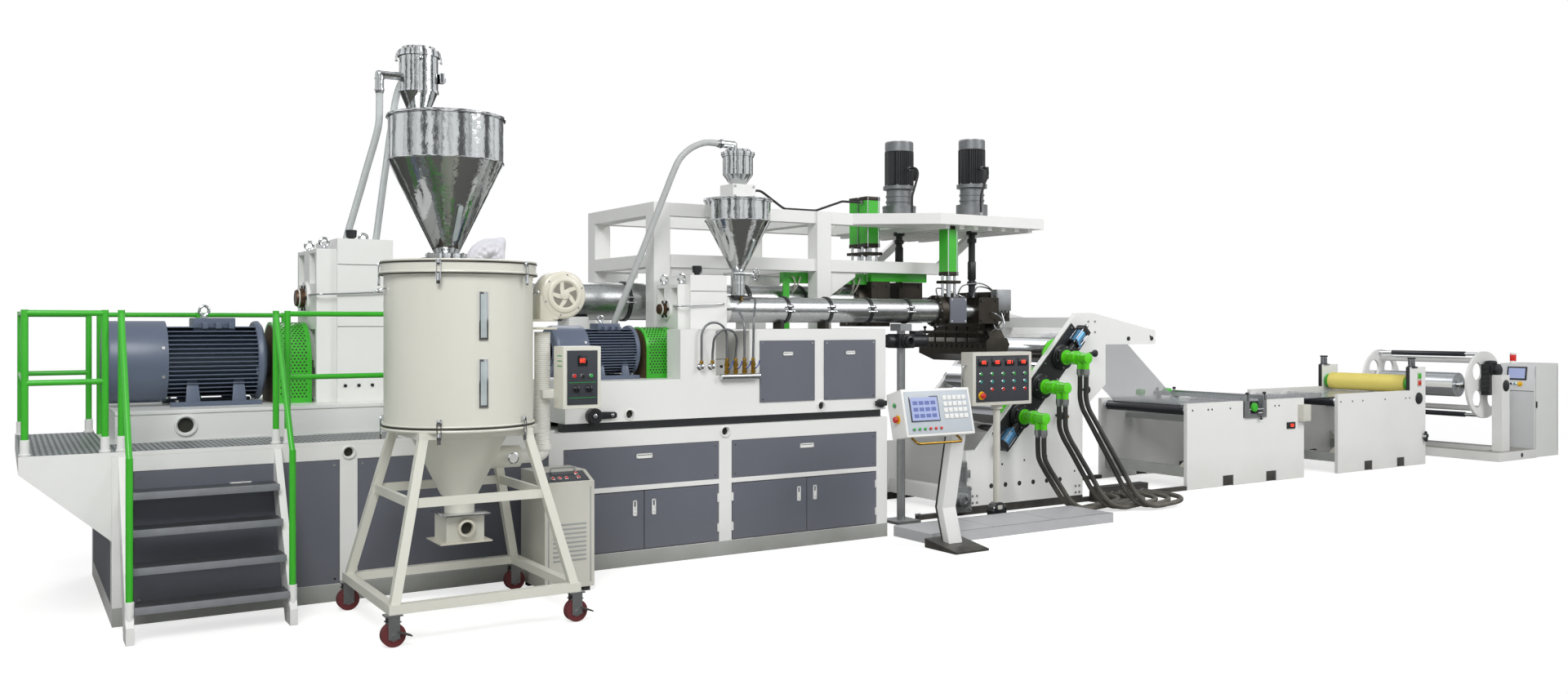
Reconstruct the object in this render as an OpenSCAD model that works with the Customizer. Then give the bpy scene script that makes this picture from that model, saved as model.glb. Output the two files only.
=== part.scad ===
// Plastic sheet co-extrusion line: main extruder, co-extruder, die, three-roll
// calender, trim table, puller, turret winder, hopper dryer and vacuum loader.
// Units are millimetres. The origin is on the floor under the middle of the base
// cabinet, on the line's centre plane. +X runs with the sheet, +Z is up.

/* [Base cabinet] */
// Length of the base cabinet along the line, which sets the whole line's layout
base_len = 5390; // [5000:10:5800]
// Reach of the base cabinet in front of the centre plane
base_front = 1060; // [1020:5:1120]
// Reach of the base cabinet behind the centre plane
base_back = 640; // [600:5:700]
// Height of the base cabinet's top
base_h = 945; // [880:5:1010]
// Height of the plinth under the doors
plinth_h = 107; // [80:1:130]
// Width of the front posts between the bays
post_w = 105; // [80:1:130]
// Thickness of the doors and the fixed covers
panel_t = 20; // [16:1:26]
// Gap left round each hinged door
door_gap = 6; // [5:0.5:7]
// Diameter of the door hinge pins
pin_d = 18; // [17:0.5:22]
// Height of the doors' upper edge
door_top = 523; // [460:1:560]

/* [Platform and stair] */
// Thickness of the walkway deck
deck_t = 25; // [15:1:40]
// Reach of the walkway past the base's left end
deck_over = 440; // [380:5:500]
// Height of the green rails over the base top
rail_h = 815; // [750:5:950]
// Diameter of the rail tube
rail_s = 36; // [25:1:45]
// Outer width of the stair
stair_w = 850; // [780:5:920]
// Run of the stair in front of the base
stair_run = 490; // [440:5:560]
// Number of loose treads
tread_n = 4; // [3:1:5]

/* [Main extruder] */
// Height of the main screw axis over the base top
axis_rise = 911; // [840:2:980]
// Diameter of the main barrel's shell
barrel_d = 294; // [270:2:320]
// Height of the main bed over the base top
bed_h = 215; // [190:5:240]
// Diameter of the main motor
motor_d = 520; // [460:5:560]
// Diameter of the main hopper
hopper_d = 830; // [760:5:900]
// Height of the main hopper's straight wall
hopper_wall = 330; // [280:5:380]
// Height of the main hopper's cone
hopper_cone = 660; // [600:5:720]
// Diameter of the vacuum receiver on the main hopper
receiver_d = 270; // [240:2:300]

/* [Co-extruder] */
// Drop of the co-extruder's axis under the main axis
co_drop = 66; // [40:2:90]
// Diameter of the co-extruder's barrel shell
co_barrel_d = 200; // [180:2:220]
// Diameter of the co-extruder's motor
co_motor_d = 370; // [330:5:400]
// Gap between the co-extruder's barrel and the deck under it
co_clear = 50; // [30:2:80]
// Diameter of the co-extruder's hopper
co_hopper_d = 530; // [480:4:580]

/* [Gantry] */
// Height of the gantry's top over the main axis
gantry_rise = 764; // [720:2:820]
// Width of the gantry's square posts
gantry_s = 140; // [110:2:150]
// Height of the gantry's beams
beam_h = 100; // [80:2:120]
// Gap between the main barrel and the gantry's posts
post_gap = 38; // [30:1:50]
// Gap between the gantry's beam and the co-extruder's hopper
beam_gap = 10; // [6:1:20]

/* [Calender] */
// Diameter of the calender rolls
roll_d = 360; // [320:2:400]
// Face length of the calender rolls
roll_w = 1060; // [1000:5:1120]
// Gap between neighbouring rolls
nip_gap = 12; // [10:0.5:16]
// Diameter of the roll journals
journal_d = 140; // [110:2:160]
// Clearance between a turning piece and its housing
run_gap = 6; // [5:0.5:8]
// Gap between a journal and the bore it turns in
fit_gap = 0.3; // [0.2:0.05:0.4]
// Thickness of the calender's side plates
side_t = 50; // [40:1:60]

/* [Trim table, puller and winder] */
// Outer width of the trim table and the puller
table_w = 1180; // [1140:5:1240]
// Thickness of their side panels
table_t = 40; // [30:1:50]
// Height of the trim table's side panels
trim_h = 870; // [840:5:900]
// Height of the puller's side panels
puller_h = 888; // [860:4:910]
// Diameter of the puller's rubber roll
nip_roll_d = 210; // [180:2:240]
// Thickness of the plastic web
web_t = 2; // [1:0.5:2]
// Diameter of the winder's end discs
disc_d = 830; // [740:5:920]
// Height of the winder's turret axis
turret_h = 915; // [870:5:980]

/* [Dryer and loader] */
// Diameter of the hopper dryer's drum
drum_d = 834; // [740:4:920]
// Height of the drum's lower rim
drum_z = 1090; // [1000:5:1180]
// Height of the brace between the dryer stand's legs
stand_brace_h = 720; // [660:5:780]
// Height of the drum
drum_h = 916; // [860:4:960]
// Diameter of the caster wheels
wheel_d = 124; // [110:2:140]
// Height of the loader unit
loader_h = 750; // [700:5:790]

/* [Hoses] */
// Diameter of the water hoses
hose_d = 44; // [36:1:50]
// Diameter of the conveying hoses
convey_d = 52; // [44:1:60]
// Diameter of the braided cooling hoses
braid_d = 18; // [14:1:20]
// Diameter of the power cables
cable_d = 20; // [16:1:24]

/* [Hidden] */

$fn = 64;
// scale of the layout against the drawn line, and of the calender, dryer and winder
u = base_len / 5390;
kr = roll_d / 360;
kd = drum_d / 834;
kw = disc_d / 830;
xb = -base_len / 2;
xe = base_len / 2;
yf = -base_front;
yb = base_back;

// bay posts, left edges, and the heights of the covers
p1 = xb + 0.2355 * base_len - post_w / 2;
p2 = xb + 0.4845 * base_len - post_w / 2;
p3 = xb + 0.7265 * base_len - post_w / 2;
p4 = xe - post_w;
drawer_z0 = door_top + 35 * u;
drawer_z1 = base_h - 112 * u;
panel_z1 = base_h - 87 * u;
bay_back = yb - 60 * u;
end_z1 = base_h - 490 * u;
door_3_mid = (p2 + post_w + p3) / 2;
door_4_mid = (p3 + post_w + p4) / 2;

// walkway and main extruder
bed_top = base_h + bed_h;
bed_front = 550 * u;
deck_z = base_h + deck_t;
rail_top = base_h + rail_h;
deck_end = xb + 2600 * u;
axis_h = base_h + axis_rise;
motor_z = bed_top + 20 * u + motor_d / 2;
gear_x0 = xb + 1240 * u;
gear_x1 = xb + 1730 * u;
gear_top = axis_h + 394 * u;
hop_x = xb + 2200 * u;
feed_top = axis_h + 290 * u;
hop_z0 = feed_top + 40 * u;
hop_z1 = hop_z0 + hopper_cone;
hop_z2 = hop_z1 + hopper_wall;
rec_x = hop_x - 200 * u;
barrel_end = xe + 460 * u;

// gantry in front of the barrel, co-extruder in front of the gantry
g_yf = barrel_d / 2 + post_gap + gantry_s / 2;
g_yb = base_back + 140 * u + gantry_s / 2;
beam_w = 100 * u;
bed_narrow = g_yf - gantry_s / 2 - 5 * u;
g_x1 = xe - 1614 * u;
g_x2 = xe - 97 * u;
gantry_h = axis_h + gantry_rise;
beam_z = gantry_h - beam_h;
mid_z = gantry_h - 500 * u;
plate_x0 = xe + 810 * u;
plate_x1 = xe + 2010 * u;
plate_y = g_yf + 495 * u;

co_y = g_yf + beam_w / 2 + beam_gap + co_hopper_d / 2;
co_axis_h = axis_h - co_drop;
co_z0 = base_h + 55 * u;
co_deck = co_axis_h - 306 * u - co_motor_d / 2 - 15 * u;
co_top = co_axis_h - co_barrel_d / 2 - co_clear;
co_x0 = xb + 2700 * u;
co_x1 = xe + 30 * u;
co_front = base_front - 60 * u;
co_back = co_y - 200 * u;
co_skirt = co_y + 210 * u;
co_step = xe - 1220 * u;
co_gear_x0 = xe - 1700 * u;
co_gear_x1 = xe - 1300 * u;
co_feed_x = xe - 1087 * u;
co_feed_top = co_axis_h + 110 * u;
co_hop_z0 = co_feed_top + 182 * u;
co_hop_z1 = co_hop_z0 + 393 * u;
co_hop_z2 = co_hop_z1 + 170 * u;
co_end = xe + 940 * u;
jack_x = xe + 516 * u;
band_t = 10 * u;

// die and calender
die_x = xe + 1710 * u;
die_z = axis_h - 306 * u;
roll_pitch = (roll_d + nip_gap) * sin(45);
roll_x = die_x + 180 * u + roll_d / 2 + 43 * u;
roll_h = die_z - 445 * u;
side_y = roll_w / 2 + 10 * u;
side_out = side_y + side_t;
bear_t = 60 * u;
bear_d = journal_d + 80 * u;
bear_out = side_out + bear_t;
plate_z = 70 * u;
cal_x0 = roll_x - 883 * kr;
cal_x1 = roll_x + 557 * kr;
arm_z = roll_h + 375 * kr;
idler_x = roll_x + 1180 * kr;
port_drop = 150 * u;

// trim table, puller, winder
trim_x0 = roll_x + 2037 * u;
trim_x1 = trim_x0 + 1920 * u;
pull_x0 = trim_x1 + 620 * u;
pull_x1 = pull_x0 + 1750 * u;
nip_x = pull_x1 - 210 * u;
nip_z = puller_h + 72 * u;
web_z = nip_z - nip_roll_d / 2 - nip_gap / 2;
wind_x = pull_x1 + 1220 * u;
wind_yf = 620 * u;
wind_yb = 700 * u;

// dryer and loader
loader_w = 330 * u;
loader_x = p2 + post_w + door_gap - 30 * u - loader_w;
stand_x = 510 * kd;
stand_y = 490 * kd;
stand_z = wheel_d + 44 * u;
dry_x = loader_x - 42 * u - stand_x - 45 * u;
dry_y = yf - 750 * u;
drum_z1 = drum_z + drum_h;
drum_r = drum_d / 2;

// routes of the six water hoses, from the unions' ports to the water box
water_routes = [
  [[4545, -840, 691], [4545, -840, 586], [4552, -845, 482], [4589, -872, 388], [4631, -904, 297],
    [4674, -936, 207], [4725, -966, 120], [4806, -989, 59], [4907, -999, 34], [5012, -1000, 39],
    [5116, -1000, 45], [5221, -1000, 51], [5326, -998, 57], [5418, -970, 63], [5492, -908, 67],
    [5534, -822, 70], [5545, -745, 70], [5545, -690, 70]],
  [[4545, -915, 691], [4545, -915, 590], [4552, -919, 489], [4589, -941, 398], [4635, -968, 312],
    [4681, -996, 227], [4729, -1023, 142], [4801, -1044, 75], [4894, -1057, 38], [4995, -1060, 35],
    [5096, -1060, 40], [5197, -1060, 46], [5298, -1060, 51], [5399, -1059, 57], [5496, -1034, 62],
    [5577, -975, 66], [5630, -890, 69], [5649, -791, 70], [5649, -690, 70]],
  [[4808, -840, 955], [4808, -840, 851], [4810, -842, 748], [4833, -868, 650], [4866, -905, 559],
    [4899, -942, 468], [4932, -978, 376], [4965, -1015, 285], [4999, -1052, 194], [5054, -1085, 113],
    [5138, -1109, 58], [5238, -1119, 37], [5342, -1120, 43], [5446, -1120, 50], [5549, -1112, 56],
    [5642, -1069, 63], [5712, -994, 67], [5749, -897, 70], [5753, -794, 70], [5753, -690, 70]],
  [[4808, -915, 955], [4808, -915, 849], [4811, -918, 744], [4839, -943, 646], [4878, -978, 554],
    [4916, -1013, 462], [4955, -1048, 370], [4993, -1083, 278], [5032, -1118, 186], [5091, -1149, 106],
    [5179, -1171, 53], [5282, -1180, 35], [5388, -1180, 41], [5493, -1180, 48], [5599, -1180, 54],
    [5700, -1156, 60], [5785, -1094, 66], [5840, -1005, 69], [5857, -901, 70], [5857, -796, 70],
    [5857, -690, 70]],
  [[5071, -840, 1218], [5071, -840, 1114], [5071, -840, 1009], [5084, -859, 908], [5110, -898, 815],
    [5137, -938, 723], [5164, -978, 630], [5191, -1018, 538], [5218, -1058, 445], [5244, -1098, 353],
    [5271, -1138, 260], [5304, -1177, 170], [5369, -1210, 96], [5460, -1232, 51], [5563, -1240, 40],
    [5667, -1240, 48], [5769, -1229, 56], [5861, -1181, 63], [5928, -1102, 68], [5959, -1003, 70],
    [5961, -899, 70], [5961, -794, 70], [5961, -690, 70]],
  [[5071, -915, 1218], [5071, -915, 1113], [5071, -915, 1007], [5087, -934, 905], [5118, -972, 812],
    [5150, -1011, 719], [5182, -1049, 627], [5214, -1088, 534], [5246, -1127, 441], [5278, -1165, 348],
    [5310, -1204, 255], [5347, -1242, 164], [5414, -1274, 91], [5507, -1294, 47], [5612, -1300, 39],
    [5717, -1300, 46], [5822, -1299, 53], [5922, -1269, 60], [6003, -1203, 66], [6053, -1111, 69],
    [6065, -1006, 70], [6065, -901, 70], [6065, -795, 70], [6065, -690, 70]]];
// routes of the conveying hoses: two from the main receiver, one from the co-extruder's
convey_routes = [
  [[-970, 0, 3326], [-970, 0, 3206], [-973, 8, 3087], [-987, 53, 2978], [-1005, 107, 2873],
    [-1023, 162, 2768], [-1040, 216, 2662], [-1058, 271, 2557], [-1076, 325, 2452], [-1094, 380, 2347],
    [-1108, 423, 2237], [-1110, 430, 2118], [-1110, 430, 1998], [-1110, 430, 1878], [-1110, 430, 1759],
    [-1110, 430, 1639], [-1110, 430, 1519], [-1110, 430, 1399], [-1110, 430, 1280], [-1110, 430, 1160]],
  [[-695, 225, 3506], [-695, 290, 3506], [-696, 382, 3494], [-702, 468, 3454], [-712, 528, 3379],
    [-724, 551, 3286], [-737, 548, 3190], [-753, 541, 3099], [-770, 535, 2978], [-787, 530, 2857],
    [-805, 524, 2737], [-822, 518, 2616], [-839, 513, 2495], [-856, 507, 2374], [-873, 502, 2253],
    [-891, 496, 2133], [-908, 490, 2012], [-925, 485, 1891], [-942, 479, 1770], [-945, 478, 1648],
    [-945, 478, 1526], [-945, 478, 1404], [-945, 478, 1282], [-945, 478, 1160]],
  [[1448, -580, 3065], [1324, -580, 3065], [1209, -571, 3019], [1120, -554, 2936], [1070, -533, 2826],
    [1031, -510, 2710], [992, -487, 2595], [954, -464, 2480], [915, -441, 2364], [876, -418, 2249],
    [837, -395, 2134], [799, -373, 2018], [760, -350, 1903], [721, -327, 1788], [683, -304, 1673],
    [644, -281, 1557], [611, -262, 1440], [608, -260, 1316], [608, -260, 1193], [608, -260, 1069],
    [608, -260, 945]]];
// braided cooling hoses from the manifold's valves, then black power cables on the gantry
braid_routes = [
  [[1250, -1030, 1404], [1250, -1030, 1446], [1250, -1030, 1487], [1250, -1030, 1529],
    [1250, -1030, 1570], [1247, -1030, 1612], [1229, -1030, 1649], [1198, -1030, 1676],
    [1159, -1030, 1689], [1117, -1030, 1687], [1080, -1030, 1669], [1053, -1030, 1637],
    [1041, -1030, 1598], [1040, -1030, 1556], [1040, -1030, 1515], [1040, -1030, 1473],
    [1040, -1030, 1432], [1040, -1030, 1390]],
  [[1325, -1030, 1404], [1325, -1030, 1447], [1325, -1036, 1490], [1325, -1044, 1532],
    [1320, -1053, 1574], [1299, -1060, 1611], [1263, -1065, 1634], [1221, -1066, 1640],
    [1179, -1064, 1628], [1147, -1058, 1600], [1131, -1050, 1561], [1130, -1042, 1519],
    [1130, -1033, 1476], [1130, -1030, 1433], [1130, -1030, 1390]],
  [[1400, -1030, 1404], [1400, -1030, 1447], [1400, -1030, 1490], [1400, -1030, 1533],
    [1400, -1030, 1576], [1400, -1030, 1619], [1400, -1027, 1662], [1403, -1009, 1701],
    [1408, -978, 1730], [1413, -944, 1756], [1418, -909, 1780], [1420, -867, 1790], [1420, -824, 1790],
    [1420, -781, 1790], [1420, -738, 1790], [1420, -695, 1790]],
  [[1475, -1030, 1404], [1475, -1030, 1447], [1476, -1030, 1489], [1477, -1030, 1532],
    [1478, -1030, 1574], [1478, -1030, 1617], [1479, -1030, 1659], [1483, -1025, 1701],
    [1496, -1007, 1738], [1516, -980, 1766], [1536, -951, 1792], [1556, -923, 1819], [1576, -894, 1845],
    [1593, -861, 1867], [1600, -820, 1877], [1600, -778, 1877], [1600, -735, 1877], [1600, -693, 1877],
    [1600, -650, 1877]]];
cable_routes = [
  [[1900, -255, 2620], [1900, -255, 2665], [1906, -255, 2709], [1932, -255, 2745], [1972, -255, 2764],
    [2016, -255, 2762], [2056, -255, 2742], [2094, -255, 2719], [2132, -255, 2696], [2171, -255, 2673],
    [2209, -255, 2650], [2250, -255, 2632], [2295, -254, 2631], [2340, -253, 2631], [2384, -253, 2631],
    [2429, -252, 2631], [2474, -251, 2631], [2519, -251, 2631], [2563, -247, 2633], [2603, -231, 2643],
    [2643, -214, 2655], [2683, -196, 2666], [2722, -179, 2677], [2762, -162, 2689], [2802, -144, 2700],
    [2841, -127, 2711], [2881, -110, 2722], [2921, -92, 2734], [2961, -77, 2744], [3006, -75, 2745],
    [3051, -75, 2745], [3095, -75, 2745], [3140, -75, 2745], [3185, -75, 2745]],
  [[3645, -121, 3070], [3645, -167, 3070], [3644, -213, 3068], [3639, -256, 3052], [3628, -288, 3020],
    [3613, -304, 2980], [3598, -305, 2936], [3583, -305, 2893], [3567, -305, 2849], [3553, -305, 2805],
    [3550, -305, 2759], [3550, -305, 2713], [3550, -305, 2666], [3550, -305, 2620]],
  [[4115, -561, 3060], [4115, -598, 3060], [4113, -636, 3053], [4106, -668, 3032], [4094, -686, 2999],
    [4080, -690, 2960], [4060, -690, 2926], [4043, -690, 2884], [4026, -690, 2843], [4010, -690, 2800],
    [4008, -690, 2755], [4008, -690, 2710], [4008, -690, 2665], [4008, -690, 2620]]];

// box from two corners
module bx(x0, x1, y0, y1, z0, z1) {
  translate([x0, y0, z0]) cube([x1 - x0, y1 - y0, z1 - z0]);
}
// cylinders along the three axes, from one end to the other
module cx(x0, x1, y, z, d, d2 = -1) {
  translate([x0, y, z]) rotate([0, 90, 0])
    cylinder(h = x1 - x0, d1 = d, d2 = d2 < 0 ? d : d2);
}
module cy(x, y0, y1, z, d) {
  translate([x, y0, z]) rotate([-90, 0, 0]) cylinder(h = y1 - y0, d = d);
}
module cz(x, y, z0, z1, d, d2 = -1) {
  translate([x, y, z0]) cylinder(h = z1 - z0, d1 = d, d2 = d2 < 0 ? d : d2);
}
// plates with their outline in the XZ and YZ planes
module xz(y0, y1, pts) {
  translate([0, y1, 0]) rotate([90, 0, 0]) linear_extrude(y1 - y0) polygon(pts);
}
module yz(x0, x1, pts) {
  translate([x0, 0, 0]) rotate([90, 0, 90]) linear_extrude(x1 - x0) polygon(pts);
}
// round tube swept along a route
function unit(v) = v / norm(v);
module tube(p, d, ref) {
  n = len(p);
  s = 8;
  pts = [for (i = [0 : n - 1])
    let (t = unit(p[min(i + 1, n - 1)] - p[max(i - 1, 0)]),
      a = unit(cross(t, ref)), b = cross(t, a))
    for (k = [0 : s - 1]) p[i] + d / 2 * (cos(360 * k / s) * a + sin(360 * k / s) * b)];
  ends = [[for (k = [0 : s - 1]) k], [for (k = [s - 1 : -1 : 0]) (n - 1) * s + k]];
  walls = [for (i = [0 : n - 2]) for (k = [0 : s - 1])
    [i * s + k, (i + 1) * s + k, (i + 1) * s + (k + 1) % s, i * s + (k + 1) % s]];
  polyhedron(pts, concat(ends, walls));
}

// hinge pins at one door edge, widened for the door's notches
module pins(x, grow)
  for (z = [plinth_h + 70 * u, door_top - 130 * u])
    cz(x, yf, z - (grow > 0 ? 2 : 0), z + 60 * u + (grow > 0 ? 2 : 0), pin_d + 2 * grow);

module base_shell() difference() {
  bx(xb, xe, yf, yb, 0, base_h);
  for (b = [[xb + post_w, p1], [p1 + post_w, p2]])
    bx(b[0], b[1], yf - 1, yf + panel_t, plinth_h, panel_z1);
  for (b = [[p2 + post_w, p3], [p3 + post_w, p4]]) {
    bx(b[0], b[1], yf - 1, yf + panel_t, drawer_z0, drawer_z1);
    bx(b[0], b[1], yf - 1, bay_back, plinth_h, door_top);
  }
  bx(xb - 1, xb + panel_t, yf + post_w, yb - post_w, plinth_h, end_z1);
  for (x = [p1, p3])
    cy(x + post_w / 2, yf - 1, yf + 80 * u, base_h - 45 * u, 56 * u);
}
module base_frame() color("#eeece4") {
  base_shell();
  for (x = [p2 + post_w + door_gap, p3 - door_gap, p3 + post_w + door_gap, p4 - door_gap])
    pins(x, 0);
}

module cover_panels() color("#5d6069") {
  for (b = [[xb + post_w, p1], [p1 + post_w, p2]])
    bx(b[0] + 3, b[1] - 3, yf, yf + panel_t, plinth_h, panel_z1 - 3);
  for (b = [[p2 + post_w, p3], [p3 + post_w, p4]])
    bx(b[0] + 3, b[1] - 3, yf, yf + panel_t, drawer_z0, drawer_z1 - 3);
  bx(xb, xb + panel_t, yf + post_w + 3, yb - post_w - 3, plinth_h, end_z1 - 3);
  for (x = [xe - 1145 * u, xe - 565 * u])
    bx(x, x + 490 * u, -co_front - 8 * u, -co_front, co_z0 + 95 * u, co_top - 85 * u);
}

module door(x0, x1, hinge) color("#5d6069") difference() {
  bx(x0, x1, yf, yf + panel_t, plinth_h + door_gap, door_top - door_gap);
  pins(hinge, fit_gap);
}
module door_1() door(p2 + post_w + door_gap, door_3_mid - door_gap / 2, p2 + post_w + door_gap);
module door_2() door(door_3_mid + door_gap / 2, p3 - door_gap, p3 - door_gap);
module door_3() door(p3 + post_w + door_gap, door_4_mid - door_gap / 2, p3 + post_w + door_gap);
module door_4() door(door_4_mid + door_gap / 2, p4 - door_gap, p4 - door_gap);

module platform() color("#8b8f92") {
  bx(xb - deck_over, deck_end, yf, -bed_front, base_h, deck_z);
  bx(xb - deck_over, xb, yf, yb - 160 * u, base_h, deck_z);
  xz(yf, yb - 160 * u, [[xb - deck_over, base_h + 1], [xb, base_h + 1], [xb, base_h - 470 * u],
    [xb - deck_over, base_h - 70 * u]]);
}

module stair() color("#eeece4") {
  for (x = [xb + 30 * u, xb - 10 * u + stair_w])
    yz(x, x + 40 * u, [[yf - stair_run, 0], [yf - stair_run + 150 * u, 0],
      [yf, base_h - 260 * u], [yf, base_h], [yf - 20 * u, base_h],
      [yf - stair_run, 90 * u]]);
  for (k = [1 : tread_n]) {
    z = base_h * k / (tread_n + 1);
    y = yf - stair_run * (1 - k / (tread_n + 1));
    d = stair_run * 0.184;
    bx(xb + 69 * u, xb - 9 * u + stair_w, y - d, y + d, z - 36 * u, z);
  }
}

// level tube between two posts, slimmer than they are
module rail_x(x0, x1, y, z) cx(x0, x1, y, z - rail_s / 2, rail_s - 4);
module guard_rails() color("#35b426") {
  ry = yf + 40 * u;
  by = yb - 190 * u;
  ey = yb - 60 * u;
  lx = xb - deck_over + 30 * u;
  mx = xb - 30 * u;
  rx = xb + stair_w + 75 * u;
  bay = 680 * u;
  fy = yf - stair_run + 40 * u;
  low = base_h + 30 * u;
  mid = deck_z + (rail_top - deck_z) * 0.52;
  back = [xb + 40 * u, xb + 640 * u, gear_x0 - 40 * u];
  for (x = [lx, mx])
    for (y = [ry, by]) cz(x, y, deck_z, rail_top, rail_s);
  for (z = [rail_top, mid]) {
    rail_x(lx, mx, ry, z);
    rail_x(lx, mx, by, z);
    cy(lx, ry, by, z - rail_s / 2, rail_s - 4);
    rail_x(rx, rx + 2 * bay, ry, z);
    rail_x(back[0], back[2], ey, z);
  }
  for (x = [rx, rx + bay, rx + 2 * bay]) cz(x, ry, deck_z, rail_top, rail_s);
  for (x = back) cz(x, ey, base_h, rail_top, rail_s);
  for (x = [xb + 50 * u, xb + 10 * u + stair_w]) {
    rise = rail_top - low;
    cz(x, fy, 90 * u + (40 * u + rail_s / 2) * (base_h - 90 * u) / (stair_run - 20 * u), low, rail_s);
    cz(x, ry, deck_z, rail_top, rail_s);
    translate([x, fy, low - rail_s / 2]) rotate([-atan2(ry - fy, rise), 0, 0])
      cylinder(h = norm([ry - fy, rise]), d = rail_s - 4);
  }
}

module main_bed() color("#eeece4") difference() {
  union() {
    bx(xb + 50 * u, deck_end, -bed_front, bed_front, base_h, bed_top);
    bx(deck_end - 1, xe - 150 * u, -bed_narrow, bed_front, base_h, bed_top);
  }
  cy(xb + 430 * u, -bed_front - 1, -bed_front + 70 * u, base_h + 120 * u, 90 * u);
}

module main_motor() color("#454d5a") {
  bx(xb + 354 * u, xb + 951 * u, -230 * u, 230 * u, bed_top, bed_top + 120 * u);
  cx(xb + 360 * u, xb + 980 * u, 0, motor_z, motor_d - 40 * u);
  cx(xb + 20 * u, xb + 370 * u, 0, motor_z, motor_d);
  cx(xb + 940 * u, xb + 980 * u, 0, motor_z, motor_d);
  cx(xb + 970 * u, xb + 1000 * u, 0, motor_z, 180 * u);
  bx(xb + 520 * u, xb + 760 * u, -110 * u, 110 * u, motor_z + motor_d / 2 - 60 * u, motor_z + motor_d / 2 + 20 * u);
}

// cast gear case with pocketed ribs on its left face
module gearcase(x0, x1, y, z, w, z0, z1, wall, bore) {
  difference() {
    bx(x0, x0 + wall, y - w + 30 * u, y + w - 30 * u, z0, z1 - 70 * u);
    for (s = [-1, 1]) for (k = [0 : 3]) {
      h = (z1 - 70 * u - z0) / 4;
      if (abs(z0 + (k + 0.5) * h - z) > h * 0.5)
        bx(x0 - 1, x0 + wall * 0.6, y + s * w * 0.52 - w * 0.26, y + s * w * 0.52 + w * 0.26,
          z0 + k * h + 25 * u, z0 + (k + 1) * h - 25 * u);
    }
  }
  bx(x0 + wall - 1, x1, y - w, y + w, z0, z1);
  cx(x0 - 60 * u, x0 + 1, y, z, bore);
  cx(x0 - 20 * u, x0 + 1, y, z, bore * 1.7);
}
module main_gearbox() color("#eeece4")
  gearcase(gear_x0, gear_x1, 0, axis_h, 330 * u, bed_top, gear_top, 127 * u, 130 * u);

module main_barrel() color("#b7b9bb") {
  cx(gear_x1, barrel_end, 0, axis_h, barrel_d);
  bx(hop_x - 220 * u, hop_x + 220 * u, -190 * u, 190 * u, axis_h - 200 * u, feed_top);
  for (k = [1 : 5]) {
    x = hop_x + 300 * u + (barrel_end - hop_x - 400 * u) * k / 6;
    cx(x, x + 30 * u, 0, axis_h, barrel_d + 2 * band_t);
  }
  cx(barrel_end - 90 * u, barrel_end, 0, axis_h, barrel_d + 90 * u);
  for (x = [hop_x + 900 * u, xe - 700 * u])
    bx(x, x + 160 * u, -110 * u, 110 * u, bed_top, axis_h - barrel_d / 2 + 25 * u);
}

// hopper silhouette turned round its axis, with a rolled rim and a neck
module hopper(x, y, z0, z1, z2, d, neck, foot, foot_z)
  translate([x, y, 0]) rotate_extrude()
    polygon([[0, foot_z], [foot / 2, foot_z], [foot / 2, z0], [neck / 2, z0], [d / 2 - 10 * u, z1],
      [d / 2 - 10 * u, z2 - 24 * u], [d / 2, z2 - 24 * u], [d / 2, z2], [0, z2]]);
module main_hopper() color("#d3d5d6")
  hopper(hop_x, 0, hop_z0, hop_z1, hop_z2, hopper_d, 170 * u, 290 * u, feed_top);

module coupling_guards() color("#35b426") {
  guard(xb + 1000 * u, gear_x0 - 20 * u, 0, 0.48 * motor_d, bed_top, motor_z);
  guard(co_x0 + 735 * u, co_gear_x0 - 20 * u, -co_y, 0.46 * co_motor_d, co_deck,
    co_deck + 15 * u + co_motor_d / 2);
}
// arched cover over a coupling
module guard(x0, x1, y, r, z0, z) {
  cx(x0, x1, y, z, 2 * r);
  bx(x0, x1, y - r, y + r, z0, z);
}

module receiver(x, y, z, d, cone, wall) {
  cz(x, y, z, z + cone + 1, d * 0.5, d);
  cz(x, y, z + cone, z + cone + wall, d);
  cz(x, y, z + cone + wall - 30 * u, z + cone + wall, d + 16 * u);
  cz(x, y, z + cone + wall - 1, z + cone + wall + 25 * u, d - 40 * u);
}
module vacuum_receivers() color("#d3d5d6") {
  z = hop_z2 + 260 * u;
  e = rec_x - receiver_d / 2 - 140 * u;
  receiver(rec_x, 0, hop_z2, receiver_d, 160 * u, 290 * u);
  cx(e, rec_x, 0, z, 60 * u);
  translate([e, 0, z]) sphere(d = 60 * u);
  cz(e, 0, z - 110 * u, z, 60 * u);
  cy(rec_x, 0, receiver_d / 2 + 90 * u, z + 70 * u, 60 * u);
  bx(co_feed_x - 100 * u, co_feed_x + 100 * u, -co_y - 100 * u, -co_y + 100 * u, co_hop_z2, co_hop_z2 + 110 * u);
  receiver(co_feed_x, -co_y, co_hop_z2 + 109 * u, 236 * u, 80 * u, 170 * u);
  cz(co_feed_x - 40 * u, -co_y, co_hop_z2 + 360 * u, co_hop_z2 + 420 * u, 60 * u);
  translate([co_feed_x - 40 * u, -co_y, co_hop_z2 + 420 * u]) sphere(d = 60 * u);
  cx(co_feed_x - 160 * u, co_feed_x - 40 * u, -co_y, co_hop_z2 + 420 * u, 60 * u);
}

module co_rails() color("#25272a")
  for (y = [-co_front, -co_back - 80 * u])
    bx(co_x0 - 20 * u, xe - 20 * u, y, y + 80 * u, base_h, co_z0);

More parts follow.
